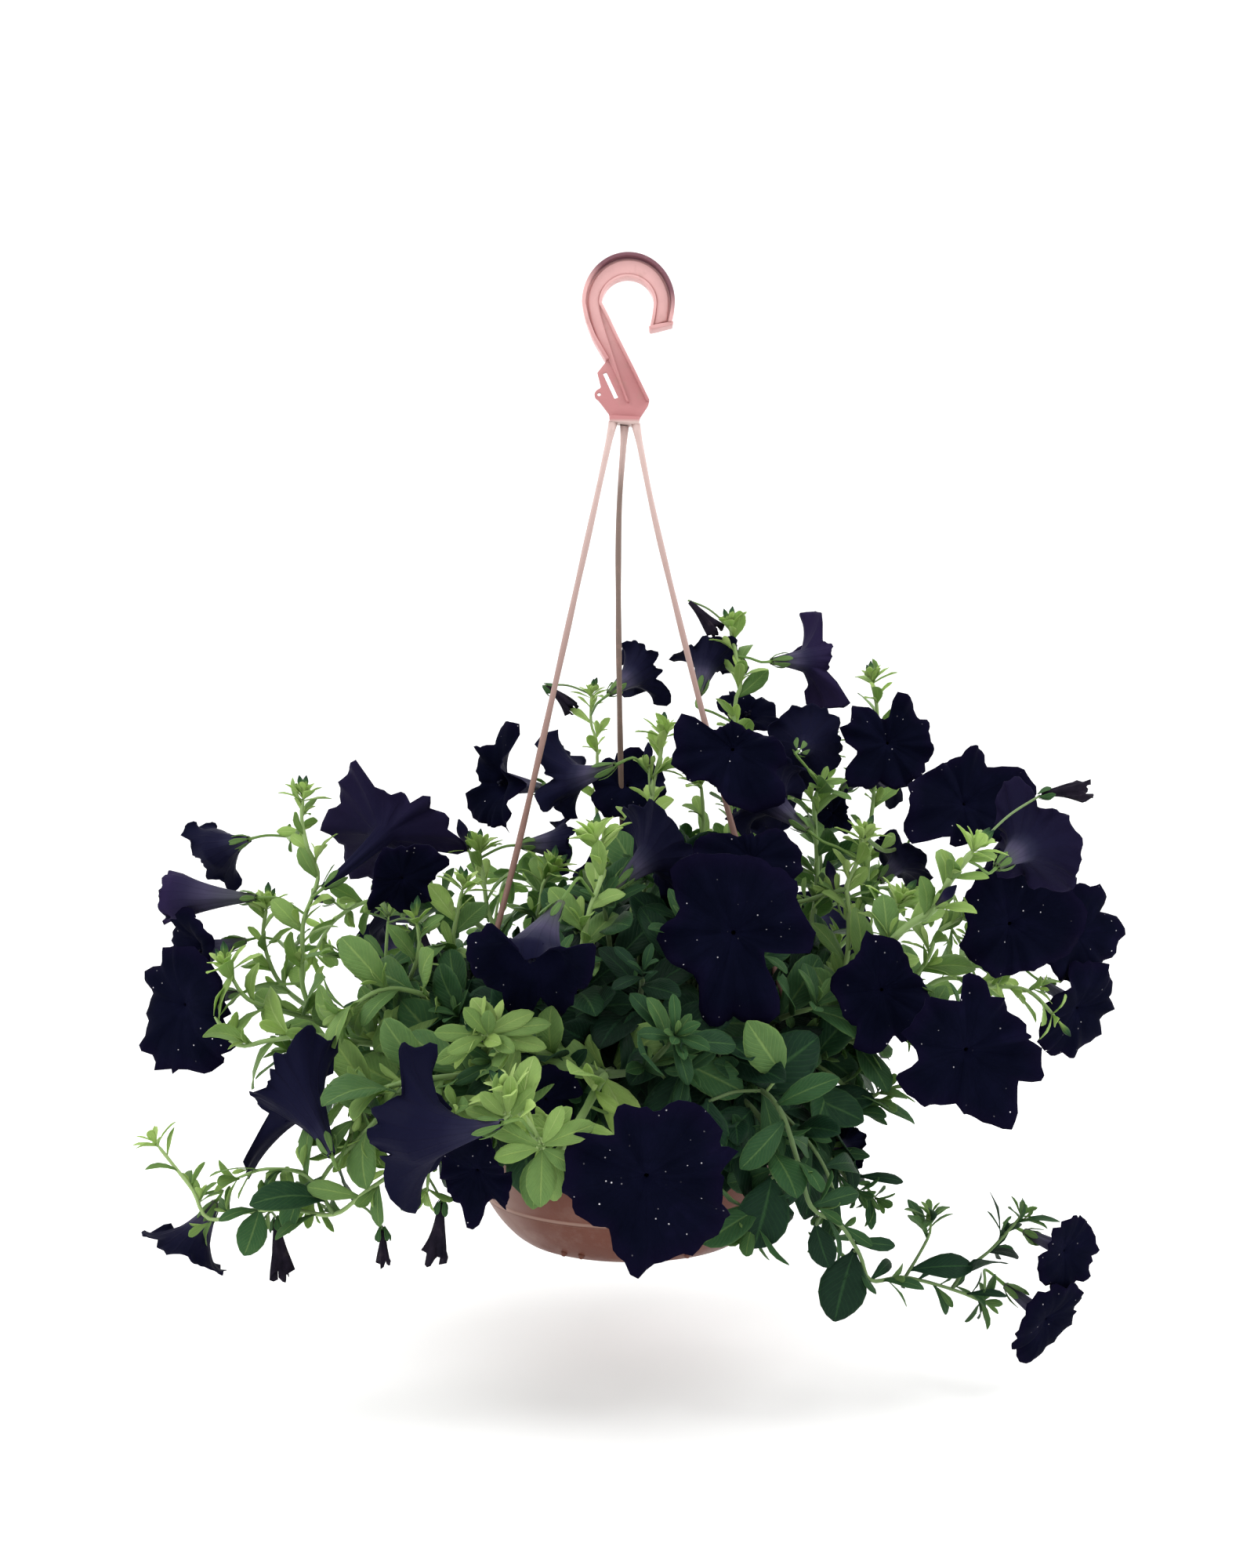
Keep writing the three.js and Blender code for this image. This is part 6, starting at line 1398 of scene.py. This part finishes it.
def make_soil():
    b = Build()
    n, sides = 28, 100
    r = np.linspace(0, 97.6, n)
    a = np.arange(sides) / sides * 2 * math.pi
    rr = rng_of("soil")
    z = -476.2 - 5.6 * (r / 97.6) ** 3
    Z = z[:, None] + np.zeros((n, sides))
    X = POT_X + r[:, None] * np.cos(a)
    Y = r[:, None] * np.sin(a)
    ph = rr.uniform(0, 6.28, (26, 2))
    fr = rr.uniform(0.03, 0.45, (26, 2)) * rr.choice([-1, 1], (26, 2))
    for k in range(26):
        Z += np.sin(X * fr[k, 0] + ph[k, 0]) * np.sin(Y * fr[k, 1] + ph[k, 1]) * 0.42
    lump = rr.normal(0, 0.55, (n, sides))
    Z += lump * np.clip((97.6 - r[:, None]) / 10, 0, 1) * np.clip(r[:, None] / 12, 0, 1)
    Z[0] = Z[0].mean()
    top = np.stack([X, Y, Z], 2)
    # top, wall and underside as one closed profile turned round
    low = [(97.6, -486), (97.7, -534), (93.4, -551.3), (84.8, -568.8), (72.4, -583.9), (66.8, -587.6), (0, -587.6)]
    rows = [top]
    for rad, zz in low:
        rows.append(np.stack([POT_X + rad * np.cos(a), rad * np.sin(a), np.full(sides, zz)], 1)[None])
    P = np.concatenate(rows, 0)
    m = len(P)
    quads, uvs = grid(sides, m, True)
    verts = P.reshape(-1, 3)
    faces, maps = [], []
    for q, mm in zip(quads, uvs):
        j0, j1 = q[0] // sides, q[2] // sides
        if j0 == 0:
            faces.append([0, q[2], q[3], -1])
        elif j1 == m - 1:
            faces.append([q[0], q[1], j1 * sides, -1])
        else:
            faces.append(list(q))
        maps.append(mm)
    faces = np.array(faces)[:, [0, 3, 2, 1]]
    tri = faces[:, 1] < 0
    faces[tri] = faces[tri][:, [0, 2, 3, 1]]
    used = np.unique(faces[faces >= 0])
    remap = -np.ones(len(verts) + 1, int)
    remap[used] = np.arange(len(used))
    b.add(verts[used], np.where(faces >= 0, remap[faces], -1), np.array(maps), 0.5, 0)
    return b.make("potting_mix_surface", [MAT["soil"]], "potting_mix", ["soil"])


# ------------------------------------------------------------------ hanger
def arc(cx, cz, a, c, start, end, n):
    t = np.radians(np.linspace(start, end, n + 1))
    return [(cx + a * math.cos(x), cz + c * math.sin(x)) for x in t]


HOOK_BACK = [(29.3, -28.3), (30.8, -21)] + arc(2.4, -16.1, 28.9, 31.2, 0, 180, 44) + [(-25.8, -20), (-24.2, -27), (-20, -37.6), (-11.7, -51.8)]
GUSSET = [
    (-17, -58.6), (-14.6, -67.9), (-17.6, -69.4), (-19, -71.8), (-18.2, -74.4), (-16.4, -75.6), (-9.6, -84.5),
    (-9.4, -89.6), (-4.4, -90.2), (3.5, -91.2), (9, -91.4), (9.4, -87), (14.7, -79), (15.4, -76),
]
HOOK_FRONT = [(6.3, -57), (-3.4, -37.6), (-10.2, -23)] + arc(2.0, -16.1, 16.1, 16.1, 178, 0, 40) + [(17.2, -24), (15.7, -30.8)]
TIP = [(18.1, -32.2)]


def plate(name, outline, depth, holes=(), bevel=0.5, y=0.0):
    """A flat moulded plate with rounded edges, cut to an outline in the x-z plane."""
    cu = bpy.data.curves.new(name, "CURVE")
    cu.dimensions = "2D"
    cu.fill_mode = "BOTH"
    cu.extrude = depth / 2 - bevel
    cu.bevel_depth = bevel
    cu.bevel_resolution = 2
    cu.offset = -bevel
    for loop in [outline, *holes]:
        sp = cu.splines.new("POLY")
        sp.points.add(len(loop) - 1)
        for p, q in zip(sp.points, loop):
            p.co = (q[0], q[1], 0, 1)
        sp.use_cyclic_u = True
    ob = bpy.data.objects.new(name, cu)
    bpy.context.scene.collection.objects.link(ob)
    dg = bpy.context.evaluated_depsgraph_get()
    me = bpy.data.meshes.new_from_object(ob.evaluated_get(dg))
    bpy.data.objects.remove(ob)
    bpy.data.curves.remove(cu)
    bm = bmesh.new()
    bm.from_mesh(me)
    bpy.data.meshes.remove(me)
    bmesh.ops.remove_doubles(bm, verts=list(bm.verts), dist=0.01)
    bm.transform(Matrix.Translation(Vector((0, y, 0))) @ Matrix.Rotation(math.pi / 2, 4, "X"))
    bmesh.ops.recalc_face_normals(bm, faces=list(bm.faces))
    return bm


def offset_line(line, width):
    p = np.asarray(line, float)
    d = np.zeros_like(p)
    d[1:-1] = p[2:] - p[:-2]
    d[0], d[-1] = p[1] - p[0], p[-1] - p[-2]
    d /= np.linalg.norm(d, axis=1)[:, None]
    return p + np.stack([-d[:, 1], d[:, 0]], 1) * width


def smooth_line(line, corner=3.0):
    return rounded(line, corner, False, 4)


def make_hanger():
    web = [*HOOK_BACK, *rounded(GUSSET, 1.2, False, 3).tolist(), *HOOK_FRONT, *TIP]
    slot = rounded([(-13.6, -59.0), (-11.2, -58.3), (-3.9, -74), (-6.3, -74.8)], 0.6)
    eye = arc(-15.9, -72, 1.1, 1.1, 0, 342, 19)
    ob = loose(plate("web", web, 2.8, [slot.tolist(), eye], 0.45), "hook_plate")
    back = smooth_line(HOOK_BACK)
    front = smooth_line([(15.4, -76), *HOOK_FRONT])
    outer = np.vstack([back, offset_line(back, 2.3)[::-1]])
    inner = np.vstack([front, offset_line(front, 1.9)[::-1]])
    apply_boolean(ob, loose(plate("flange", outer.tolist(), 12.5, bevel=0.75), "fl"), "UNION")
    apply_boolean(ob, loose(plate("flange", inner.tolist(), 9.0, bevel=0.75), "fl"), "UNION")
    foot = rounded([(-9.4, -89.6), (-4.4, -90.2), (3.5, -91.2), (9, -91.4), (9.4, -86.5), (-9.2, -85.5)], 1.2)
    apply_boolean(ob, loose(plate("foot", foot.tolist(), 9.5, bevel=0.7), "fl"), "UNION")
    # a rounded bar stands proud of the web, round the crook and down the shank
    inside = [(2.8, -77.4), (-2.4, -62.6), (-7.4, -46.8), (-12.0, -32.6), (-14.9, -22)] + arc(2.0, -16.1, 17.9, 17.9, 172, 2, 30) + [(19.0, -24), (18.0, -29.6)]
    outside = [(26.4, -27.0), (27.2, -21)] + arc(2.4, -16.1, 25.2, 27.4, 0, 180, 36) + [(-22.2, -20), (-20.8, -27.6), (-17.0, -38.2), (-9.2, -52.6), (-4.2, -63.4), (1.6, -77.6)]
    bar = smooth_line(inside, 3.0).tolist() + smooth_line(outside, 3.0).tolist()
    apply_boolean(ob, loose(plate("bar", bar, 6.4, bevel=1.3), "fl"), "UNION")
    toe = rounded([(14.9, -30.6), (15.9, -33.0), (20.0, -32.2), (30.0, -29.6), (30.3, -27.4), (19.0, -29.4)], 0.8)
    apply_boolean(ob, loose(plate("toe", toe.tolist(), 10.0, bevel=0.7), "fl"), "UNION")
    bm = bmesh.new()
    bm.from_mesh(ob.data)
    old = ob.data
    bpy.data.objects.remove(ob)
    bpy.data.meshes.remove(old)
    object_from_bmesh(bm, "hook", MAT["hanger"], ["hanger_hook"], angle=0.6)
    tops = {"left": (-7.2, -1.6, -89.6), "right": (7, -1.6, -91.0), "back": (0, 2.4, -90.6)}
    mids = {
        "left": [(-24, -15, -170), (-62, -39, -345)],
        "right": [(23, -12, -170), (62, -36, -330)],
        "back": [(-4, 24, -165), (-2, 68, -330)],
    }
    for name in LEGS:
        b = Build()
        p = polar(LUG_R, LEGS[name], 0)
        low = LUG_TOP - 4.0 - 0.4
        line = catmull([tops[name], *mids[name], (p[0], p[1], LUG_TOP + 14), (p[0], p[1], low - 1.5)], 6.0)
        n = len(line)
        s = np.linspace(0, 1, n)
        rr = 1.85 + 0.12 * np.sin(s * 40) * (s < 0.97)
        rr[:3] = [2.9, 2.4, 2.05]
        tube(b, line, rr, 0.5, 0, 14)
        kn = np.array([[p[0], p[1], low - z] for z in (0.0, 0.35, 1.4, 2.6, 3.1, 3.3)])
        tube(b, kn, np.array([4.4, 5.0, 5.2, 4.8, 4.2, 3.4]), 0.5, 0, 24)
        b.make("leg_" + name, [MAT["hanger"]], "hanger_plastic", ["hanger_strand_" + name])
# ------------------------------------------------------------------ the plant
MORE = [
    ["M1", "extra", "x", 2.0, 1.1, "narrow", 1.10, 0.55, [[-47, -90, -483], [-79, -128, -484], [-99, -150, -496], [-103, -158, -527]]],
    ["M2", "extra", "x", 2.0, 1.1, "leafy", 1.25, 0.50, [[-55, -40, -471], [-103, -70, -441], [-135, -82, -431], [-158, -88, -443]]],
    ["M3", "extra", "x", 2.0, 1.1, "leafy", 1.20, 0.55, [[-72, -60, -476], [-126, -100, -486], [-169, -102, -486], [-198, -98, -475]]],
    ["M4", "extra", "x", 1.5, 1.0, "narrow", 1.10, 0.60, [[-153, -150, -541], [-168, -146, -522], [-190, -142, -519], [-208, -140, -525]]],
    ["M5", "extra", "x", 1.5, 1.0, "leafy", 1.10, 0.55, [[-116, -134, -474], [-137, -138, -499], [-158, -136, -520], [-167, -134, -537]]],
    ["M6", "extra", "x", 1.8, 1.0, "lime", 1.10, 0.62, [[-176, -15, -461], [-200, -40, -451], [-222, -52, -441], [-233, -58, -422]]],
    ["M7", "extra", "x", 1.6, 1.0, "lime", 1.00, 0.66, [[-189, -12, -456], [-217, 10, -439], [-228, 14, -413], [-226, 14, -391]]],
    ["M8", "extra", "x", 1.5, 1.0, "lime", 1.00, 0.56, [[-138, -30, -449], [-123, -60, -422], [-119, -66, -405], [-121, -66, -394]]],
    ["M9", "extra", "x", 1.6, 1.0, "lime", 1.00, 0.62, [[-94, -20, -451], [-103, -30, -414], [-100, -34, -390], [-97, -34, -376]]],
    ["M10", "extra", "x", 1.8, 1.1, "lime", 1.10, 0.66, [[116, -22, -453], [142, -52, -421], [153, -60, -399], [160, -62, -383]]],
    ["M11", "extra", "x", 1.8, 1.0, "leafy", 1.10, 0.42, [[93, -60, -468], [119, -80, -481], [134, -84, -494], [147, -84, -489]]],
    ["M12", "extra", "x", 1.8, 1.0, "leafy", 1.20, 0.30, [[58, -108, -481], [77, -132, -500], [79, -138, -524], [69, -138, -549]]],
    ["M13", "extra", "x", 1.7, 1.0, "narrow", 1.10, 0.34, [[80, -108, -488], [105, -118, -516], [116, -112, -543], [113, -108, -566]]],
    ["M14", "extra", "x", 1.8, 1.0, "lime", 1.10, 0.62, [[16, 36, -478], [-48, 10, -423], [-52, 0, -383], [-45, 0, -368]]],
    ["M15", "extra", "x", 1.8, 1.0, "leafy", 1.10, 0.40, [[120, -74, -450], [131, -80, -462], [140, -84, -444], [157, -86, -430]]],
    ["M16", "extra", "x", 1.6, 1.0, "lime", 1.00, 0.62, [[160, 12, -462], [183, -20, -424], [189, -30, -404], [204, -34, -394]]],
    ["M17", "extra", "x", 1.6, 1.0, "lime", 1.00, 0.60, [[16, 36, -478], [41, 20, -404], [49, 10, -344], [48, 6, -314]]],
    ["M18", "extra", "x", 1.4, 0.9, "narrow", 1.00, 0.35, [[95, -88, -488], [119, -70, -514], [136, -66, -542], [147, -64, -556]]],
    ["M19", "extra", "x", 1.8, 1.0, "leafy", 1.10, 0.45, [[-109, -55, -469], [-144, -40, -478], [-178, -30, -485], [-203, -26, -476]]],
]

# single large leaves: base, tip, width, greenness (low values darken them with painted shade)
SINGLE = [
    [[79, -140, -523], [71, -146, -560], 30, 0.16],
    [[86, -128, -472], [66, -150, -443], 24, 0.52],
    [[124, -134, -564], [109, -140, -599], 27, 0.12],
    [[102, -140, -548], [107, -140, -573], 16, 0.14],
    [[-193, -145, -539], [-198, -150, -563], 17, 0.40],
    [[-44, -150, -508], [-49, -158, -535], 18, 0.55],
    [[45, -140, -482], [43, -150, -513], 26, 0.20],
    [[27, -140, -477], [20, -150, -496], 26, 0.26],
    [[-40, -210, -491], [-16, -216, -479], 12, 0.68],
    [[-40, -212, -491], [-72, -205, -481], 12, 0.66],
    [[-40, -210, -490], [-29, -224, -472], 9, 0.74],
    [[-41, -212, -492], [-62, -218, -493], 10, 0.70],
    [[-40, -208, -492], [-41, -212, -520], 16, 0.62],
    [[-40, -210, -492], [-24, -216, -501], 10, 0.60],
    [[-58, -209, -477], [-69, -216, -465], 8, 0.76],
    [[-58, -209, -476], [-63, -215, -456], 8, 0.72],
    [[-57, -210, -476], [-53, -218, -457], 8, 0.78],
    [[-56, -209, -478], [-46, -214, -462], 8, 0.70],
    [[-58, -210, -479], [-77, -212, -474], 8, 0.68],
    [[-72, -168, -444], [-96, -174, -440], 10, 0.62],
    [[-71, -168, -444], [-95, -176, -456], 10, 0.65],
    [[-70, -168, -444], [-80, -178, -429], 9, 0.68],
    [[-72, -168, -444], [-49, -176, -429], 10, 0.71],
    [[-71, -168, -444], [-40, -178, -433], 10, 0.62],
    [[-70, -168, -444], [-56, -184, -447], 9, 0.65],
    [[-72, -168, -444], [-88, -182, -450], 9, 0.68],
    [[-71, -168, -444], [-41, -176, -447], 10, 0.71],
    [[-70, -168, -444], [-68, -180, -431], 9, 0.62],
]

WITHERED = [  # where, hanging direction, length
    ((-190, -120, -551), (0.1, 0, -1), 26),
    ((-129, -140, -551), (0.05, 0, -1), 15),
    ((-96, -150, -534), (-0.15, 0.1, -1), 26),
    ((-122, -40, -398), (0.3, 0, -1), 19),
    ((-55, 95, -247), (0.75, 0, -0.5), 22),
    ((42, 68, -192), (0.6, 0, -0.55), 24),
    ((238, -78, -321), (0.95, 0, 0.25), 26),
    ((131, 200, -402), (0.5, 0.4, -1), 24),
    ((-138, 190, -448), (-0.3, 0.5, -1), 24),
]

BY_NAME = {row[0]: row for row in SHOOTS}
LINES = {row[0]: catmull(row[8], 4.0) for row in SHOOTS}
MORE_LINES = {row[0]: catmull(row[8], 4.0) for row in MORE}
FACES = [(np.array(f[2], float), f[3] / 2.0, unit(f[4]), f[5]) for f in FLOWERS]


def in_flower(p, margin=0.0):
    """Whether a point lies in a bloom or just in front of its face."""
    for c, R, d, L in FACES:
        q = p - c
        z = float(np.dot(q, d))
        rho = float(np.linalg.norm(q - z * d))
        if -4 - margin < z < 24 and rho < R * 0.92:
            return True
        if -0.35 * R < z <= -4 and rho < R * 0.55:
            return True
    return False


def in_bowl(p):
    h = math.hypot(p[0] - POT_X, p[1])
    if p[2] > RIM_Z + 1 or p[2] < BASE_Z - 2:
        return False
    wall = np.interp(p[2], [-591, -571, -553, -535, -466], [70, 88, 97, 101.5, 105.5])
    return h < wall + 1.5


_leaf = leaf


def leaf(b, base, along, up, length, width, bend, fold, tone, r, **kw):
    """A blade, unless it would stand in front of a bloom or inside the bowl."""
    d = unit(along)
    upn = unit(up)
    base = np.asarray(base, float)
    mid = base + d * length * 0.55
    tip = base + d * length * math.cos(bend * 0.5) - upn * length * math.sin(bend * 0.5) * 0.8
    if kw.pop("always", False) is False:
        if in_flower(mid) or in_flower(tip):
            return
        if in_bowl(mid) or in_bowl(tip):
            return
    _leaf(b, base, along, up, length, width, bend, fold, tone, r, **kw)


PLANT_MATS = [MAT["leaf"], MAT["stem"], MAT["back"], MAT["dried"]]
BLOOM_MATS = [MAT["face"], MAT["back"], MAT["leaf"], MAT["anther"], MAT["stem"]]


def side_flower_budding(b, line, r, tone):
    """A small dark bud on its own short stalk."""
    t, n1, n2 = frames_along(line)
    j = int(len(line) * r.uniform(0.72, 0.9))
    a = r.uniform(0, 6.28)
    o = n1[j] * math.cos(a) + n2[j] * math.sin(a)
    end = line[j] + o * 9 + t[j] * 10 + UPV * 8
    tube(b, catmull([line[j], line[j] + o * 5 + t[j] * 4, end], 2.5), 0.75, tone, 1, 7)
    bud(b, end, unit(t[j] + UPV * 0.6 + o * 0.4), r.uniform(14, 20), min(0.9, tone + 0.1), r, (0, 2))


def grow(name_row, b, buds=True):
    name, node, parent, r0, r1, tip, scale, tone, pts = name_row
    r = rng_of("shoot", name)
    line = LINES[name] if name in LINES else MORE_LINES[name]
    make_stem(b, line, r0, r1, tone, 1, tip == "narrow")
    gap = {"lime": 11.5, "leafy": 11.0, "narrow": 12.5, "rosette": 12.0, "none": 15.0}[tip]
    big = {"lime": 38, "leafy": 43, "narrow": 33, "rosette": 40, "none": 24}[tip]
    start = 0.06 if parent else 0.16
    shoot_leaves(b, line, r, scale, tone, tip, name, (0, 1), start_u=start, gap=gap, big=big)
    tip_cluster(b, line, r, scale, tone, tip, (0, 1), name)
    if buds and tip == "lime" and r.random() < 0.5:
        side_flower_budding(b, line, r, tone)




def nearest_stem(p, names):
    best = None
    for n in names:
        line = LINES[n]
        j = int(np.argmin(np.linalg.norm(line - p, axis=1)))
        dd = float(np.linalg.norm(line[j] - p))
        if best is None or dd < best[0]:
            best = (dd, n, j)
    return best


def make_plant():
    groups = []
    for row in SHOOTS:
        if row[1] not in groups:
            groups.append(row[1])
    owner = {}
    builds = {g: Build() for g in groups}
    for row in SHOOTS:
        owner[row[0]] = row[1]
        grow(row, builds[row[1]])
    for i, (p, d, size) in enumerate(WITHERED):
        p = np.array(p, float)
        r = rng_of("spent", i)
        _, n, j = nearest_stem(p, list(LINES))
        b = builds[owner[n]]
        start = LINES[n][j]
        tube(b, catmull([start, (start + p) / 2 + UPV * 3, p], 3.0), 0.7, 0.45, 1, 7)
        calyx(b, p, unit(d), r, 9, 0.4, 0)
        withered(b, p + unit(d) * 1.5, unit(d), size, r, 3)
    for g in groups:
        builds[g].make(g.replace("shoot_", "stems_"), PLANT_MATS, "foliage", [g])


def make_more():
    """Side shoots that fill out the plant between the long stems, and a few broad single leaves."""
    groups = {}
    for i, row in enumerate(MORE):
        b = groups.setdefault(i % 3, Build())
        grow(row, b, buds=False)
    b = groups[0]
    for i, (base, tip, width, tone) in enumerate(SINGLE):
        r = rng_of("single", i)
        base, tip = np.array(base, float), np.array(tip, float)
        d = unit(tip - base)
        ln = float(np.linalg.norm(tip - base)) * 1.04
        up = unit(np.array([0.1 * (-1) ** i, -1.0, 0.35]) - d * np.dot(np.array([0, -1.0, 0.35]), d))
        _leaf(b, base, d, up, ln, width, 0.35, 0.16, tone, r, form=0.8 if width > 15 else 0.25, thick=0.7, mat=0)
        stem = nearest_stem(base, list(LINES))
        line = LINES[stem[1]][stem[2]]
        tube(b, catmull([line, (line + base) / 2 + UPV * 1.5, base + d * 1.5], 3.5), 0.95, tone + 0.15, 1, 6)
    for i, b in groups.items():
        b.make("side_foliage_%d" % (i + 1), PLANT_MATS, "foliage")


def make_core():
    """Short stems crowding the middle of the bowl, with the plant's oldest and largest leaves."""
    k = 0
    parts = 4
    builds = [Build() for _ in range(parts)]
    n = 43
    for i in range(n):
        r = rng_of("core", i)
        a = i * 2.39996 + r.uniform(-0.1, 0.1)
        r0 = 80 * math.sqrt((i + 0.5) / n)
        root = np.array([POT_X + r0 * math.cos(a), r0 * math.sin(a), -479.0])
        o = np.array([math.cos(a), math.sin(a), 0])
        high = 44 + 74 * (1 - (r0 / 80) ** 2) * r.uniform(0.6, 1.0) + r.uniform(0, 12)
        lean = 16 + 0.62 * r0
        # lower towards the two sides, where single stems rise out of it
        tip_x = root[0] + o[0] * lean
        high *= 1 - 0.52 * float(smooth(15, 75, -tip_x)) - 0.45 * float(smooth(85, 125, tip_x))
        pts = [root, root + UPV * high * 0.4 + o * lean * 0.22, root + UPV * high * 0.8 + o * lean * 0.65, root + UPV * high + o * lean]
        line = catmull(pts, 4.0)
        # painted shade: the core's leaves take dark greens, darker still in the front half
        tone = 0.05 + 0.26 * r.random() + (0.18 if root[1] > 20 else 0.0)
        b = builds[i % parts]
        make_stem(b, line, 2.0, 1.2, tone, 1)
        shoot_leaves(b, line, r, 1.12, tone, "leafy", "Core", (0, 1), start_u=0.42, gap=12.5, axil=0.22, big=50)
        rosette(b, line[-1], unit(UPV + o * 0.7), 7, r.uniform(24, 34), min(0.72, tone + 0.07), r, 0, open_=1.2, form=0.35)
    for i, b in enumerate(builds):
        b.make("core_foliage_%d" % (i + 1), PLANT_MATS, "foliage")


def make_skirt():
    """Stems that arch over the rim, with big leaves that hide it all round, dark green deepened with painted shade."""
    builds = [Build() for _ in range(4)]
    n = 34
    for i in range(n):
        r = rng_of("skirt", i)
        deg = 360.0 * i / n + r.uniform(-3, 3)
        o = unit(polar(100, deg, 0) - polar(0, deg, 0))
        out = r.uniform(118, 150)
        front = 195 < deg < 335
        drop = r.uniform(-6, 30) + (r.uniform(6, 34) if front else 0)
        pts = [
            polar(78, deg, -479), polar(92, deg + r.uniform(-4, 4), -458), polar(108, deg + r.uniform(-5, 5), -451),
            polar(out, deg + r.uniform(-8, 8), -455 - drop),
        ]
        line = catmull(pts, 3.5)
        # painted shade: low greens for the leaves under the plant's overhang
        tone = r.uniform(0.05, 0.29)
        b = builds[i % 4]
        make_stem(b, line, 1.9, 1.1, tone + 0.1, 1)
        shoot_leaves(b, line, r, 1.15, tone, "leafy", "Rim", (0, 1), start_u=0.34, gap=11.5, axil=0.15, big=48)
        # two or three broad leaves that hang over the rim
        for q in range(3):
            j = int(len(line) * (0.55 + 0.2 * q))
            j = min(j, len(line) - 1)
            side = unit(np.cross(o, UPV)) * r.uniform(-0.8, 0.8)
            al = unit(o * 0.75 + side - UPV * (r.uniform(0.25, 0.9) + (0.7 if front else 0)))
            ln = r.uniform(40, 56)
            leaf(
                b, line[j], al, unit(o + UPV * 0.9), ln, ln * r.uniform(0.56, 0.66), r.uniform(0.3, 0.9), 0.16,
                float(np.clip(tone + r.normal(0, 0.05), 0.02, 0.6)), r, form=0.7, mat=0,
            )
        rosette(b, line[-1], unit(o * 0.8 + UPV * 0.15), 6, r.uniform(20, 30), tone + 0.08, r, 0, open_=1.15, form=0.3)
    for i, b in enumerate(builds):
        b.make("rim_foliage_%d" % (i + 1), PLANT_MATS, "foliage")


def make_apron():
    """Old broad leaves on long petioles that droop over the front of the rim."""
    b = Build()
    for i in range(64):
        r = rng_of("apron", i)
        deg = 197 + 140 * (i + 0.5) / 64 + r.uniform(-3, 3)
        o = unit(polar(100, deg, 0) - polar(0, deg, 0))
        side = unit(np.cross(o, UPV))
        base = polar(r.uniform(109, 124), deg, r.uniform(-506, -466))
        start = polar(88, deg + r.uniform(-4, 4), -470)
        over = polar(104, deg + r.uniform(-3, 3), -457)
        tube(b, catmull([start, over, (over + base) / 2 + o * 6, base], 4.0), 0.9, r.uniform(0.15, 0.4), 1, 6)
        al = unit(o * r.uniform(0.15, 0.6) - UPV + side * r.uniform(-0.75, 0.75))
        ln = r.uniform(32, 48)
        # painted shade: these leaves take the darkest greens, for the shade under the plant
        leaf(
            b, base, al, unit(o + UPV * 0.35 + side * r.uniform(-0.3, 0.3)), ln, ln * r.uniform(0.56, 0.68), r.uniform(0.1, 0.7),
            0.18, float(r.uniform(0.03, 0.28)), r, form=0.7, mat=0,
        )
    b.make("drooping_leaves", PLANT_MATS, "foliage")


for row in FLOWERS:
    flower(row, BLOOM_MATS)
make_plant()
make_more()
make_core()
make_skirt()
make_apron()
make_pot()
make_soil()
make_hanger()


# ------------------------------------------------------------------ stage, light and camera
def make_stage():
    """A floor that sweeps up into a pale backdrop."""
    prof = [(-3.2, 0.0), (1.6, 0.0)]
    for i in range(1, 25):
        t = i / 24 * math.pi / 2
        prof.append((1.6 + 1.2 * math.sin(t), 1.2 - 1.2 * math.cos(t)))
    prof.append((2.8, 3.2))
    z0 = -0.662
    verts, faces = [], []
    for y, z in prof:
        verts += [(-4.0, y, z0 + z), (4.0, y, z0 + z)]
    for i in range(len(prof) - 1):
        faces.append((2 * i, 2 * i + 1, 2 * i + 3, 2 * i + 2))
    me = bpy.data.meshes.new("floor")
    me.from_pydata(verts, [], faces)
    me.polygons.foreach_set("use_smooth", np.ones(len(faces), bool))
    me.materials.append(MAT["floor"])
    ob = bpy.data.objects.new("floor", me)
    bpy.context.scene.collection.objects.link(ob)


make_stage()
scene = bpy.context.scene
world = bpy.data.worlds.new("studio")
world.use_nodes = True
world.node_tree.nodes["Background"].inputs[0].default_value = (1, 1, 1, 1)
world.node_tree.nodes["Background"].inputs[1].default_value = 1.0
scene.world = world


def area(name, loc, aim, size, power, colour=(1, 1, 1)):
    la = bpy.data.lights.new(name, "AREA")
    la.shape = "RECTANGLE"
    la.size, la.size_y = size
    la.energy = power
    la.color = colour
    ob = bpy.data.objects.new(name, la)
    ob.location = loc
    ob.rotation_euler = (Vector(aim) - Vector(loc)).to_track_quat("-Z", "Y").to_euler()
    scene.collection.objects.link(ob)


area("back_window", (0.15, 1.1, 0.65), (0, 0, -0.42), (2.2, 1.6), 11.0)
area("left_soft", (-1.15, -0.45, 0.70), (0, 0.05, -0.42), (0.7, 0.7), 9.0)
area("right_soft", (1.15, -0.45, 0.70), (0, 0.05, -0.42), (0.7, 0.7), 9.0)

cam = bpy.data.cameras.new("photo_view")
cam.sensor_width = 36.0
cam.sensor_fit = "AUTO"
cam.lens = 36.0
cam.clip_start, cam.clip_end = 0.01, 50.0
co = bpy.data.objects.new("photo_view", cam)
co.location = (0.0015, -0.976, -0.3143)
co.rotation_euler = (math.pi / 2, 0, 0)
scene.collection.objects.link(co)
scene.camera = co
scene.view_settings.view_transform = "Standard"
scene.view_settings.look = "None"
